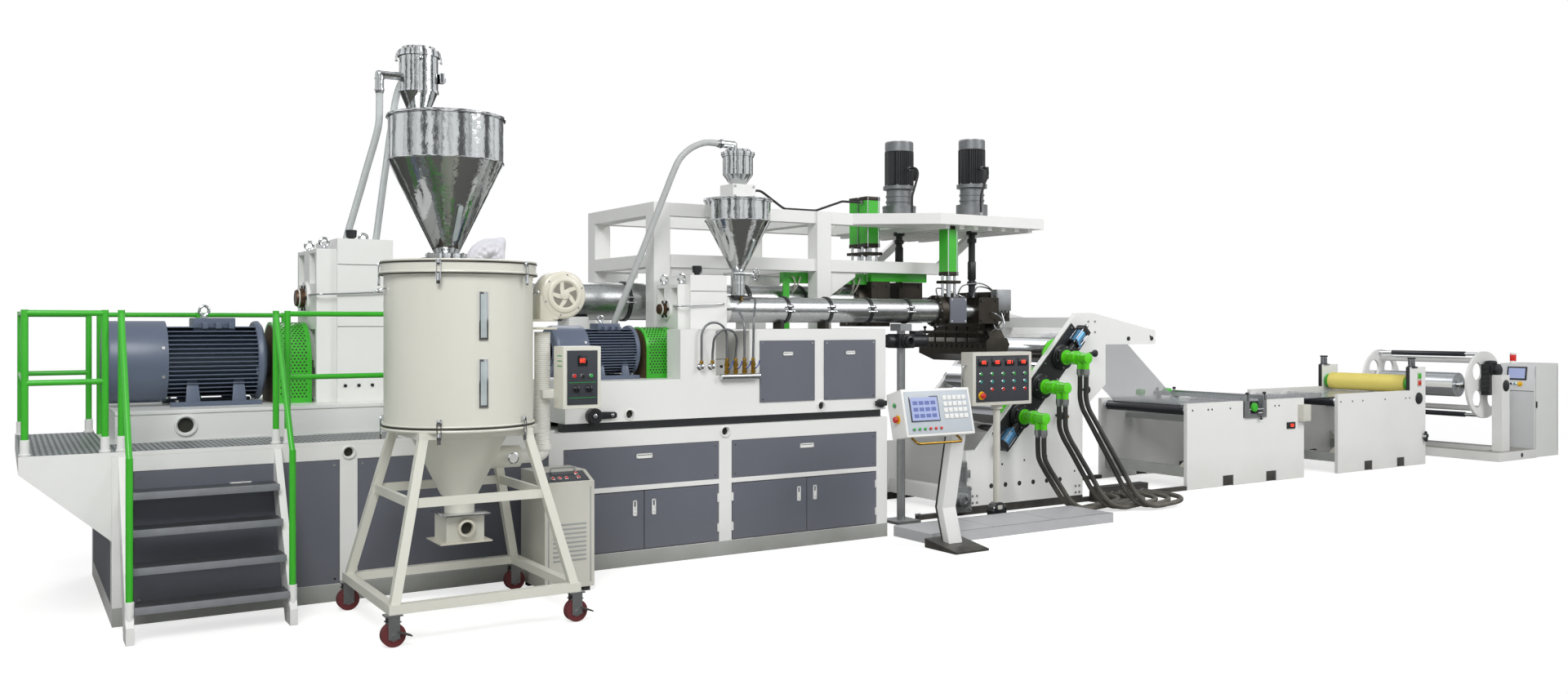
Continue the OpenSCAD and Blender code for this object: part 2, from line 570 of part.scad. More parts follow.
module co_base() color("#eeece4") difference() {
  union() {
    bx(co_x0, co_x1, -co_front, -co_back, co_z0, co_deck);
    bx(co_step, co_x1, -co_front, -co_back, co_deck - 1, co_top);
    bx(co_gear_x0 - 110 * u, co_step + 1, -co_front, -co_skirt, co_deck - 1, co_top);
  }
  bx(co_step - 300 * u, co_step - 14 * u, -co_front - 1, -co_skirt + 1, co_deck + 20 * u, co_top - 12 * u);
  for (x = [co_x0 + 480 * u, xe - 590 * u])
    cy(x, -co_front - 1, -co_front + 60 * u, co_z0 + 50 * u, 56 * u);
}

module co_motor() color("#454d5a") {
  z = co_deck + 15 * u + co_motor_d / 2;
  bx(co_x0 + 330 * u, co_x0 + 690 * u, -co_y - 160 * u, -co_y + 160 * u, co_deck, co_deck + 90 * u);
  cx(co_x0 + 250 * u, co_x0 + 715 * u, -co_y, z, co_motor_d - 24 * u);
  cx(co_x0 + 40 * u, co_x0 + 251 * u, -co_y, z, co_motor_d);
  cx(co_x0 + 690 * u, co_x0 + 715 * u, -co_y, z, co_motor_d);
  cx(co_x0 + 714 * u, co_x0 + 735 * u, -co_y, z, 130 * u);
  bx(co_x0 + 400 * u, co_x0 + 600 * u, -co_y - 80 * u, -co_y + 80 * u, z + co_motor_d / 2 - 50 * u, z + co_motor_d / 2 + 15 * u);
}

module co_gearbox() color("#eeece4")
  gearcase(co_gear_x0, co_gear_x1, -co_y, co_axis_h, 200 * u, co_deck, co_axis_h + 253 * u, 90 * u, 90 * u);

module co_barrel() color("#b7b9bb") {
  cx(co_gear_x1, co_gear_x1 + 90 * u, -co_y, co_axis_h, co_barrel_d + 30 * u);
  cx(co_gear_x1, co_end, -co_y, co_axis_h, co_barrel_d);
  bx(co_feed_x - 70 * u, co_feed_x + 70 * u, -co_y - 70 * u, -co_y + 70 * u, co_axis_h, co_feed_top);
  for (k = [1 : 4]) {
    x = co_feed_x + (co_end - co_feed_x) * k / 5;
    cx(x, x + 24 * u, -co_y, co_axis_h, co_barrel_d + 2 * band_t);
  }
  cx(co_end - 70 * u, co_end, -co_y, co_axis_h, co_barrel_d + 70 * u);
  for (x = [co_feed_x + 360 * u, xe - 300 * u])
    bx(x, x + 30 * u, -co_y - 60 * u, -co_y + 60 * u, co_top, co_axis_h - co_barrel_d / 2 + 18 * u);
}

module co_hopper() color("#d3d5d6")
  hopper(co_feed_x, -co_y, co_hop_z0, co_hop_z1, co_hop_z2, co_hopper_d, 90 * u, 110 * u, co_feed_top);

module co_manifold() color("#b08d3c") {
  y = -co_front - 30 * u;
  cx(co_step - 270 * u, co_step + 50 * u, y, co_deck + 10 * u, 44 * u);
  for (k = [0 : 3]) {
    x = co_step - 225 * u + 75 * u * k;
    cz(x, y, co_deck + 10 * u, co_deck + 120 * u, 30 * u);
    cy(x, y, -co_front, co_deck + 10 * u, 24 * u);
  }
  for (x = [co_step - 435 * u, co_step - 345 * u]) {
    cz(x, y, co_deck + 76 * u, co_deck + 106 * u, 28 * u);
    cy(x, y, -co_front, co_deck + 86 * u, 24 * u);
  }
}

module barrel_jack() color("#c9cacb") {
  bx(jack_x - 120 * u, jack_x + 120 * u, -co_y - 120 * u, -co_y + 120 * u, 0, 24 * u);
  top = co_axis_h - co_barrel_d / 2 - band_t - fit_gap;
  cz(jack_x, -co_y, 24 * u - 1, top - 59 * u, 70 * u);
  bx(jack_x - 60 * u, jack_x + 60 * u, -co_y - 70 * u, -co_y + 70 * u, top - 60 * u, top);
  bx(jack_x - 80 * u, jack_x + 80 * u, -co_y - 80 * u, -co_y + 80 * u, co_deck + 190 * u, co_deck + 310 * u);
  cx(jack_x - 150 * u, jack_x + 260 * u, -co_y, co_deck + 250 * u, 110 * u);
}

module gantry() color("#eeece4") {
  s = gantry_s / 2;
  w = beam_w / 2;
  for (x = [g_x1, g_x2]) {
    bx(x - s, x + s, -g_yf - s, -g_yf + s, base_h, gantry_h);
    bx(x - s, x + s, g_yb - s, g_yb + s, 0, gantry_h);
    bx(x - s, x + s, -g_yf, g_yb, beam_z, gantry_h);
    bx(x - s, x + s, -g_yf, g_yb, mid_z, mid_z + beam_h);
  }
  for (y = [-g_yf, g_yb]) {
    bx(g_x1, plate_x1 - 20 * u, y - w, y + w, beam_z, gantry_h);
    bx(g_x1, plate_x0 + 390 * u, y - w, y + w, mid_z, mid_z + beam_h);
    xz(y - 0.6 * w, y + 0.6 * w, [[plate_x0 + 270 * u, mid_z + 20 * u], [plate_x0 + 390 * u, mid_z + 20 * u],
      [plate_x0 + 920 * u, beam_z + 20 * u], [plate_x0 + 800 * u, beam_z + 20 * u]]);
    for (x = [g_x1, g_x2])
      xz(y - 0.6 * w, y + 0.6 * w, [[x, mid_z + 20 * u], [x + s + 280 * u, mid_z + 20 * u],
        [x + s + 280 * u, mid_z - 40 * u], [x + s - 5 * u, mid_z - 220 * u], [x, mid_z - 220 * u]]);
  }
  translate([0, 0, beam_z + 8 * u]) linear_extrude(beam_h - 8 * u)
    polygon([[plate_x0 - 600 * u, -g_yf - w], [plate_x0, -plate_y], [plate_x1, -plate_y],
      [plate_x1, g_yb + w], [plate_x0, g_yb + w], [plate_x0, -g_yf + w],
      [plate_x0 - 600 * u, -g_yf + w]]);
}

module drive(x, y, d) {
  cz(x, y, gantry_h, gantry_h + 120 * u, d + 60 * u);
  cz(x, y, gantry_h + 119 * u, gantry_h + 300 * u, d - 10 * u);
  cz(x, y, gantry_h + 270 * u, gantry_h + 300 * u, d + 50 * u);
  cz(x, y, gantry_h + 299 * u, gantry_h + 620 * u, d);
  cz(x, y, gantry_h + 619 * u, gantry_h + 700 * u, d + 10 * u);
}
module pump_drives() color("#3a3d42") {
  drive(barrel_end + 490 * u, 0, 240 * u);
  cz(barrel_end + 490 * u, 0, axis_h + 190 * u, beam_z + 8 * u, 60 * u);
  drive(co_end + 480 * u, -co_y + 130 * u, 220 * u);
  cz(co_end + 480 * u, -co_y + 130 * u, co_axis_h + 120 * u, beam_z + 8 * u, 60 * u);
}

module screen_cylinders() color("#35b426") {
  x = barrel_end + 100 * u;
  for (y = [-75 * u, 75 * u]) {
    cz(x, y, axis_h + 190 * u, axis_h + 500 * u, 40 * u);
    bx(x - 70 * u, x + 70 * u, y - 55 * u, y + 55 * u, axis_h + 499 * u, axis_h + 940 * u);
  }
  cz(co_end + 100 * u, -co_y, co_axis_h + 120 * u, co_axis_h + 310 * u, 40 * u);
  bx(co_end + 40 * u, co_end + 160 * u, -co_y - 55 * u, -co_y + 55 * u, co_axis_h + 309 * u, beam_z + 8 * u);
}

module cable_duct() color("#35b426") {
  x0 = xe - 410 * u;
  z = axis_h + barrel_d / 2 + 18 * u;
  bx(x0, barrel_end - 10 * u, -bed_narrow, -bed_narrow + 60 * u, z, z + 90 * u);
  bx(x0, x0 + 60 * u, -bed_narrow, -bed_narrow + 14 * u, bed_top, z + 1);
}

module melt_head() color("#3d3f43") {
  b = barrel_end;
  bx(b, b + 200 * u, -240 * u, 240 * u, axis_h - 200 * u, axis_h + 190 * u);
  bx(b + 360 * u, b + 620 * u, -170 * u, 170 * u, axis_h - 170 * u, axis_h + 190 * u);
  cx(b + 190 * u, b + 370 * u, 0, axis_h, 150 * u);
  cx(b + 610 * u, die_x - 90 * u, 0, axis_h, 130 * u);
  bx(co_end, co_end + 200 * u, -co_y - 120 * u, -co_y + 120 * u, co_axis_h - 110 * u, co_axis_h + 120 * u);
  cx(co_end + 190 * u, co_end + 380 * u, -co_y, co_axis_h, 110 * u);
  bx(co_end + 370 * u, co_end + 600 * u, -co_y - 90 * u, -co_y + 210 * u, co_axis_h - 110 * u, co_axis_h + 120 * u);
  cx(co_end + 590 * u, die_x - 90 * u, -co_y + 150 * u, co_axis_h, 90 * u);
  bx(die_x - 100 * u, die_x + 100 * u, -co_y + 60 * u, 160 * u, die_z + 150 * u, axis_h + 110 * u);
}

module t_die() color("#4a4c50") {
  w = 470 * u;
  yz(die_x - 90 * u, die_x + 90 * u, [[-w, die_z - 1], [w, die_z - 1], [160 * u, die_z + 150 * u],
    [-w + 100 * u, die_z + 150 * u]]);
  xz(-w, w, [[die_x - 150 * u, die_z - 40 * u], [die_x - 110 * u, die_z], [die_x + 110 * u, die_z],
    [die_x + 150 * u, die_z - 60 * u], [die_x + 60 * u, die_z - 220 * u], [die_x + 30 * u, die_z - 220 * u],
    [die_x - 150 * u, die_z - 150 * u]]);
}

// the three roll axes, at 45 degrees through the middle roll
module roll_bores(y0, y1, d)
  for (k = [-1, 0, 1]) cy(roll_x + k * roll_pitch, y0, y1, roll_h + k * roll_pitch, d);

module calender_frame() color("#eeece4") {
  for (y = [-side_out, side_y])
    difference() {
      xz(y, y + side_t, [[cal_x0, plate_z], [cal_x1, plate_z],
        [cal_x1, roll_h - 235 * kr], [roll_x + 867 * kr, roll_h - 5 * kr], [roll_x + 867 * kr, arm_z],
        [roll_x + 1567 * kr, arm_z], [roll_x + 1567 * kr, arm_z + 130 * kr], [roll_x + 697 * kr, arm_z + 300 * kr],
        [roll_x + 480 * kr, arm_z + 300 * kr],
        [roll_x - 740 * kr, roll_h - 545 * kr], [cal_x0, roll_h - 545 * kr]]);
      roll_bores(y - 1, y + side_t + 1, journal_d + 2 * run_gap);
    }
  bx(roll_x + 620 * kr, roll_x + 740 * kr, -side_y - 1, side_y + 1, arm_z + 160 * kr, arm_z + 260 * kr);
  bx(cal_x0 + 30 * kr, cal_x0 + 150 * kr, -side_y - 1, side_y + 1, plate_z, plate_z + 130 * kr);
  bx(cal_x1 - 140 * kr, cal_x1 - 20 * kr, -side_y - 1, side_y + 1, plate_z, plate_z + 200 * kr);
  for (x = [idler_x, idler_x + 330 * kr])
    cy(x, -side_y - 1, side_y + 1, arm_z + 55 * kr, 90 * kr);
}

module bearing(y0, y1, b0, b1) difference() {
  roll_bores(y0, y1, bear_d);
  roll_bores(b0, b1, journal_d + 2 * fit_gap);
}
// nip cylinder on the roll line, pushing an outer roll inwards
module nip_cylinder(k) translate([roll_x + k * roll_pitch, -side_out - 52 * u, roll_h + k * roll_pitch])
  rotate([0, k > 0 ? 45 : 225, 0]) {
    translate([0, 0, bear_d / 2 - 20 * u]) cylinder(h = 100 * u, d = 60 * u);
    translate([-50 * u, -50 * u, bear_d / 2 + 60 * u]) cube([100 * u, 100 * u, 30 * u]);
    translate([0, 0, bear_d / 2 + 70 * u]) cylinder(h = 160 * u, d = 92 * u);
    translate([-50 * u, -50 * u, bear_d / 2 + 220 * u]) cube([100 * u, 100 * u, 40 * u]);
  }
// flat way on the roll line that the bearings slide on
module slide_way() {
  w = bear_d + 30 * u;
  l = 2 * roll_pitch / sin(45) + bear_d + 420 * u;
  translate([roll_x, -side_out - 14 * u, roll_h]) rotate([0, 45, 0])
    translate([-w / 2, 0, -l / 2]) cube([w, 14 * u, l]);
}
module roll_bearings() color("#d8d6cd") {
  difference() {
    union() {
      roll_bores(-bear_out, -side_out, bear_d);
      slide_way();
      nip_cylinder(-1);
      nip_cylinder(1);
    }
    roll_bores(-bear_out + 12 * u, -side_out + 1, journal_d + 2 * fit_gap);
  }
  bearing(side_out, bear_out, side_out - 1, bear_out - 12 * u);
}

module roll(k) color("#cfd2d4") {
  x = roll_x + k * roll_pitch;
  z = roll_h + k * roll_pitch;
  e = bear_out - 12 * u - run_gap;
  cy(x, -roll_w / 2, roll_w / 2, z, roll_d);
  cy(x, -e, e, z, journal_d);
}
module roll_top() roll(1);
module roll_middle() roll(0);
module roll_bottom() roll(-1);

module rotary_unions() color("#5fdc1e") for (k = [-1, 0, 1]) {
  x = roll_x + k * roll_pitch;
  z = roll_h + k * roll_pitch;
  cy(x, -bear_out - 30 * u, -bear_out, z, 140 * u);
  cy(x, -bear_out - 120 * u, -bear_out - 29 * u, z, 104 * u);
  cy(x, -bear_out - 150 * u, -bear_out - 119 * u, z, 120 * u);
  cy(x, -bear_out - 290 * u, -bear_out - 149 * u, z, 92 * u);
  for (j = [0, 1])
    cz(x, -bear_out - 190 * u - 75 * u * j, z - port_drop, z, 56 * u);
}

module carriage() color("#34373b") {
  for (y = [-side_out, side_y]) {
    bx(cal_x0 - 530 * kr, trim_x0, y, y + side_t, 0, 40 * u);
    bx(cal_x0, cal_x1, y, y + side_t, 39 * u, plate_z);
  }
  bx(cal_x0 - 230 * kr, cal_x0, -side_out - 70 * u, -side_y + 40 * u, 39 * u, 260 * u);
  cy(cal_x0 - 115 * kr, -side_out - 110 * u, -side_out - 69 * u, 150 * u, 120 * u);
  cz(cal_x0 - 75 * kr, -side_out - 10 * u, 259 * u, 470 * u, 110 * u);
  bx(cal_x1 + 90 * kr, cal_x1 + 790 * kr, -side_out - 100 * u, -side_out + 1, 0, 140 * u);
}

module step_plate() color("#d9d8d0")
  bx(xe + 50 * u, xe + 2020 * u, yf - 500 * u, yf - 20 * u, 0, 80 * u);

module operator_panel() color("#e2e1da") {
  x = xe + 90 * u;
  yz(x - 150 * u, x + 170 * u, [[yf - 900 * u, 0], [yf - 540 * u, 0], [yf - 540 * u, 70 * u], [yf - 900 * u, 18 * u]]);
  yz(x - 60 * u, x + 70 * u, [[yf - 720 * u, 30 * u], [yf - 640 * u, 40 * u], [yf - 560 * u, 300 * u],
    [yf - 680 * u, 885 * u], [yf - 760 * u, 885 * u], [yf - 640 * u, 300 * u]]);
  yz(x - 560 * u, x + 80 * u, [[yf - 850 * u, 870 * u], [yf - 680 * u, 840 * u], [yf - 600 * u, 1160 * u],
    [yf - 770 * u, 1210 * u]]);
}

module control_box() color("#3b3e44") {
  x = xe + 1265 * u;
  y = yf + 115 * u;
  bx(x - 335 * u, x + 335 * u, y - 75 * u, y + 75 * u, 990 * u, 1440 * u);
  cz(x, y, 100 * u, 991 * u, 60 * u);
  cy(x, y - 45 * u, y + 45 * u, 80 * u, 160 * u);
}

// clear sheet from the top roll over the arm's idler, across the tables, through the nip
module plastic_web() color("#aab6ba") {
  w = 450 * u;
  r = 45 * kr + fit_gap;
  a = [roll_x + roll_pitch, roll_h + roll_pitch + roll_d / 2 + run_gap];
  b = [idler_x, arm_z + 55 * kr];
  turn = [for (t = [90 : -10 : 40]) [cos(t), sin(t)]];
  d = [trim_x0 + 80 * u, web_z - web_t / 2];
  e = [pull_x1 - 30 * u, web_z - web_t / 2];
  under = concat([a], [for (t = turn) b + r * t], [d, e]);
  over = concat([a + [0, web_t]], [for (t = turn) b + (r + web_t) * t], [d + [0, web_t], e + [0, web_t]]);
  xz(-w, w, concat(under, [for (k = [len(over) - 1 : -1 : 0]) over[k]]));
}

module pockets(x0, w, y0, y1)
  for (x = [x0 + 0.29 * w, x0 + 0.66 * w]) bx(x, x + 0.09 * w, y0, y1, -1, 110 * u);
module trim_frame() color("#eeece4") {
  w = table_w / 2 - table_t;
  l = trim_x1 - trim_x0;
  for (y = [-table_w / 2, w])
    difference() {
      bx(trim_x0, trim_x1, y, y + table_t, 0, trim_h);
      pockets(trim_x0, l, y - 1, y + table_t + 1);
      bx(trim_x0 + 0.46 * l, trim_x0 + 0.66 * l, y - 1, y + table_t + 1, trim_h - 180 * u, trim_h + 1);
    }
  for (x = [trim_x0 + 60 * u, trim_x1 - 160 * u]) bx(x, x + 100 * u, -w - 1, w + 1, 120 * u, 220 * u);
  bx(trim_x0 + 0.2 * l, trim_x0 + 0.26 * l, -w - 1, w + 1, web_z - 200 * u, web_z - 140 * u);
}

module trim_rollers() color("#2c2e31") {
  w = table_w / 2 - table_t;
  d = 100 * u;
  for (x = [trim_x0 + 80 * u, trim_x0 + 640 * u, trim_x0 + 1450 * u, trim_x1 - 80 * u])
    cy(x, -w, w, web_z - web_t / 2 - d / 2 - 0.3, d);
  for (x = [pull_x0 + 80 * u, pull_x0 + 700 * u])
    cy(x, -w, w, web_z - web_t / 2 - d / 2 - 0.3, d);
}

module slitter() color("#a8abad") {
  l = trim_x1 - trim_x0;
  x0 = trim_x0 + 0.46 * l + 20 * u;
  x1 = trim_x0 + 0.66 * l - 20 * u;
  z = trim_h - 180 * u;
  for (y = [-table_w / 2 - 20 * u, table_w / 2 - table_t]) {
    bx(x0, x0 + 60 * u, y, y + table_t + 20 * u, z, trim_h + 50 * u);
    bx(x1 - 60 * u, x1, y, y + table_t + 20 * u, z, trim_h + 50 * u);
    bx(x0, x1, y, y + table_t + 20 * u, z, z + 40 * u);
  }
  bx(x0, x0 + 60 * u, -table_w / 2, table_w / 2, trim_h + 10 * u, trim_h + 50 * u);
  bx(x1 - 60 * u, x1, -table_w / 2, table_w / 2, trim_h + 10 * u, trim_h + 50 * u);
}

module puller_frame() color("#eeece4") {
  w = table_w / 2 - table_t;
  top = nip_z + 200 * u;
  for (y = [-table_w / 2, w])
    difference() {
      xz(y, y + table_t, [[pull_x0, 0], [pull_x1, 0], [pull_x1, top], [nip_x - 120 * u, top],
        [nip_x - 120 * u, puller_h], [pull_x0, puller_h]]);
      pockets(pull_x0, pull_x1 - pull_x0, y - 1, y + table_t + 1);
      cy(nip_x, -w - 0.75 * table_t, w + 0.75 * table_t, nip_z, 60 * u + 2 * fit_gap);
    }
  for (x = [pull_x0 + 60 * u, pull_x1 - 160 * u]) bx(x, x + 100 * u, -w - 1, w + 1, 120 * u, 220 * u);
  cy(nip_x, -w - 1, w + 1, web_z - nip_gap / 2 - nip_roll_d / 2, nip_roll_d);
  for (y = [-w - table_t / 2, w + table_t / 2]) cz(nip_x - 50 * u, y, top - 1, top + 110 * u, 76 * u);
}

module puller_roll() color("#e3cf4f") {
  w = table_w / 2 - table_t;
  e = w + 0.75 * table_t - run_gap;
  cy(nip_x, -w + 60 * u, w - 60 * u, nip_z, nip_roll_d);
  cy(nip_x, -e, e, nip_z, 60 * u);
}

module winder_frame() color("#eeece4") {
  x0 = wind_x - 300 * u;
  x1 = wind_x + 600 * u;
  y0 = -wind_yf - 350 * u;
  y1 = wind_yb + 230 * u;
  bx(x0, x1, y0, y0 + 260 * u, 0, 110 * u);
  bx(x0, x1, y1 - 200 * u, y1, 0, 110 * u);
  bx(x0, x0 + 200 * u, y0, y1, 0, 110 * u);
  bx(x1 - 200 * u, x1, y0, y1, 0, 110 * u);
  difference() {
    union() {
      bx(wind_x - 90 * u, wind_x + 90 * u, -wind_yf - 280 * u, -wind_yf - 160 * u, 109 * u, turret_h + 130 * u);
      bx(wind_x - 90 * u, wind_x + 90 * u, wind_yb + 70 * u, wind_yb + 190 * u, 109 * u, turret_h + 130 * u);
      bx(wind_x - 150 * u, wind_x + 110 * u, -wind_yf - 161 * u, -wind_yf - 60 * u, turret_h - 120 * u, turret_h + 260 * u);
    }
    cy(wind_x, -wind_yf - 240 * u, wind_yb + 150 * u, turret_h, 100 * u + 2 * fit_gap);
    cy(wind_x, -wind_yf - 155 * u, -wind_yf, turret_h, 100 * u + 2 * run_gap);
  }
}

module winder_turret() color("#d9dadb") {
  for (y = [-wind_yf - 30 * u, wind_yb])
    difference() {
      cy(wind_x, y, y + 30 * u, turret_h, disc_d);
      for (a = [45, 135, 225, 315])
        cy(wind_x + 240 * kw * cos(a), y - 1, y + 31 * u, turret_h + 240 * kw * sin(a), 220 * kw);
    }
  cy(wind_x, -wind_yf - 240 * u + run_gap, wind_yb + 150 * u - run_gap, turret_h, 100 * u);
  for (s = [-1, 1]) {
    cy(wind_x, -wind_yf - 10 * u, wind_yb + 10 * u, turret_h + s * 300 * kw, 70 * kw);
    cy(wind_x - 60 * kw, -wind_yf - 10 * u, wind_yb + 10 * u, turret_h + s * 380 * kw, 44 * kw);
    cy(wind_x + s * 262 * kw, -wind_yf - 10 * u, wind_yb + 10 * u, turret_h, 76 * kw);
  }
  cy(wind_x - 262 * kw, -0.75 * wind_yf, 0.75 * wind_yb, turret_h, 300 * kw);
}

module winder_cabinet() color("#e8e6de") {
  x0 = wind_x + 600 * u;
  y0 = -wind_yf - 320 * u;
  xz(y0, y0 + 440 * u, [[x0, 0], [x0 + 600 * u, 0], [x0 + 600 * u, 1170 * u], [x0 + 60 * u, 1170 * u], [x0, 830 * u]]);
  cz(x0 + 150 * u, y0 + 330 * u, 1169 * u, 1300 * u, 70 * u);
}

module dryer_stand() color("#d9d8cb") {
  s = 50 * kd;
  t = 300 * kd;
  for (i = [-1, 1]) for (j = [-1, 1])
    hull() {
      translate([dry_x + i * stand_x - s / 2, dry_y + j * stand_y - s / 2, stand_z]) cube([s, s, 1]);
      translate([dry_x + i * t - s / 2, dry_y + j * t - s / 2, drum_z - 40 * u]) cube([s, s, 1]);
    }
  for (i = [-1, 1]) {
    bx(dry_x - stand_x - s / 2, dry_x + stand_x + s / 2, dry_y + i * stand_y - s / 2,
      dry_y + i * stand_y + s / 2, stand_z, stand_z + s);
    bx(dry_x + i * stand_x - s / 2, dry_x + i * stand_x + s / 2, dry_y - stand_y,
      dry_y + stand_y, stand_z, stand_z + s);
  }
  // brace bars between the leaning legs, at the spread that the legs have there
  rise = (stand_brace_h - stand_z) / (drum_z - 40 * u - stand_z);
  brace_x = stand_x + (t - stand_x) * rise;
  brace_y = stand_y + (t - stand_y) * rise;
  for (i = [-1, 1]) {
    bx(dry_x - brace_x, dry_x + brace_x, dry_y + i * brace_y - s / 4, dry_y + i * brace_y + s / 4,
      stand_brace_h - s / 2, stand_brace_h + s / 2);
    bx(dry_x + i * brace_x - s / 4, dry_x + i * brace_x + s / 4, dry_y - brace_y, dry_y + brace_y,
      stand_brace_h - s / 2, stand_brace_h + s / 2);
  }
  difference() {
    bx(dry_x - t - s / 2, dry_x + t + s / 2, dry_y - t - s / 2, dry_y + t + s / 2, drum_z - 40 * u, drum_z);
    cz(dry_x, dry_y, drum_z - 41 * u, drum_z + 1, 610 * kd);
  }
}

module dryer_body() color("#d9d8cb") {
  cz(dry_x, dry_y, drum_z, drum_z1, drum_d);
  cz(dry_x, dry_y, drum_z - 390 * u, drum_z + 1, 210 * kd, 590 * kd);
  cz(dry_x, dry_y, drum_z - 491 * u, drum_z - 389 * u, 170 * kd);
  cx(dry_x, dry_x + drum_r - 60 * kd, dry_y, drum_z - 190 * u, 130 * kd);
  bx(dry_x - 110 * kd, dry_x + 110 * kd, dry_y - 110 * kd, dry_y + 110 * kd, drum_z - 650 * u, drum_z - 490 * u);
  cz(dry_x, dry_y, drum_z1 - 40 * u, drum_z1 + 30 * u, drum_d + 36 * kd);
}

module dryer_blower() color("#e6e4d8") {
  a = dry_x + drum_r;
  d = a + 88 * kd;
  e = dry_x + drum_r - 60 * kd;
  cy(a + 190 * kd, dry_y - 90 * kd, dry_y + 60 * kd, drum_z1 - 150 * u, 290 * kd);
  bx(a + 40 * kd, a + 140 * kd, dry_y - 50 * kd, dry_y + 50 * kd, drum_z1 - 300 * u, drum_z1 - 150 * u);
  cz(d, dry_y, drum_z - 190 * u, drum_z1 - 290 * u, 92 * kd);
  translate([d, dry_y, drum_z - 190 * u]) sphere(d = 92 * kd);
  cx(e, d, dry_y, drum_z - 190 * u, 92 * kd);
  bx(a - 28 * kd, a + 60 * kd, dry_y - 30 * kd, dry_y + 30 * kd, drum_z - 60 * u, drum_z);
  bx(d - 30 * kd, d + 140 * kd, dry_y - 90 * kd, dry_y - 20 * kd, drum_z + 150 * u, drum_z + 200 * u);
}

module dryer_control() color("#d9d8cb")
  bx(dry_x + drum_r + 123 * kd, dry_x + drum_r + 363 * kd, dry_y - 240 * kd, dry_y - 90 * kd, drum_z + 90 * u, drum_z + 460 * u);

module filter_bag() color("#f3f2ee") difference() {
  translate([dry_x + 200 * kd, dry_y + 120 * kd, drum_z1 + 50 * u]) sphere(d = 250 * kd);
  bx(dry_x, dry_x + 400 * kd, dry_y - 100 * kd, dry_y + 340 * kd, drum_z1 - 150 * u, drum_z1 + 30 * u);
}

module loader_unit() color("#dcdacf") {
  yz(loader_x, loader_x + loader_w, [[yf - 560 * u, 30 * u], [yf - 150 * u, 30 * u], [yf - 150 * u, loader_h],
    [yf - 420 * u, loader_h], [yf - 560 * u, loader_h - 60 * u]]);
  for (x = [loader_x + 20 * u, loader_x + loader_w - 70 * u])
    for (y = [yf - 540 * u, yf - 220 * u]) bx(x, x + 50 * u, y, y + 50 * u, 0, 31 * u);
}

module casters() color("#9a9c9e")
  for (i = [-1, 1]) for (j = [-1, 1]) {
    x = dry_x + i * stand_x;
    y = dry_y + j * stand_y;
    bx(x - 45 * u, x + 45 * u, y - 36 * u, y + 36 * u, stand_z - 8 * u, stand_z);
    for (k = [-32, 26]) bx(x - 30 * u, x + 30 * u, y + k * u, y + (k + 6) * u, wheel_d / 2 - 20 * u, stand_z - 7 * u);
  }
module caster_wheels() color("#8e2f3a")
  for (i = [-1, 1]) for (j = [-1, 1])
    cy(dry_x + i * stand_x, dry_y + j * stand_y - 26 * u, dry_y + j * stand_y + 26 * u, wheel_d / 2, wheel_d);

module water_hoses() color("#1f2022")
  for (p = water_routes) tube(p, hose_d, [0.1, 0.1, 1]);

module conveying_hoses() color("#c9cdcd")
  for (p = convey_routes) tube(p, convey_d, [0.1, 1, 0]);

module service_lines() color("#8d9092") {
  for (p = braid_routes) tube(p, braid_d, [1, 1, 0]);
  for (p = cable_routes) tube(p, cable_d, [1, 1, 0]);
}

base_frame();
cover_panels();
door_1();
door_2();
door_3();
door_4();
platform();
stair();
guard_rails();
main_bed();
main_motor();
main_gearbox();
main_barrel();
main_hopper();
coupling_guards();
vacuum_receivers();
co_rails();
co_base();
co_motor();
co_gearbox();
co_barrel();
co_hopper();
co_manifold();
barrel_jack();
gantry();
pump_drives();
screen_cylinders();
cable_duct();
melt_head();
t_die();
calender_frame();
roll_bearings();
roll_top();
roll_middle();
roll_bottom();
rotary_unions();
carriage();
step_plate();
operator_panel();
control_box();
plastic_web();
trim_frame();
trim_rollers();
slitter();
puller_frame();
puller_roll();
winder_frame();
winder_turret();
winder_cabinet();
dryer_stand();
dryer_body();
dryer_blower();
dryer_control();
filter_bag();
loader_unit();
casters();
caster_wheels();
water_hoses();
conveying_hoses();
service_lines();
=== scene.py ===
import math

import bmesh
import bpy
from mathutils import Matrix, Vector


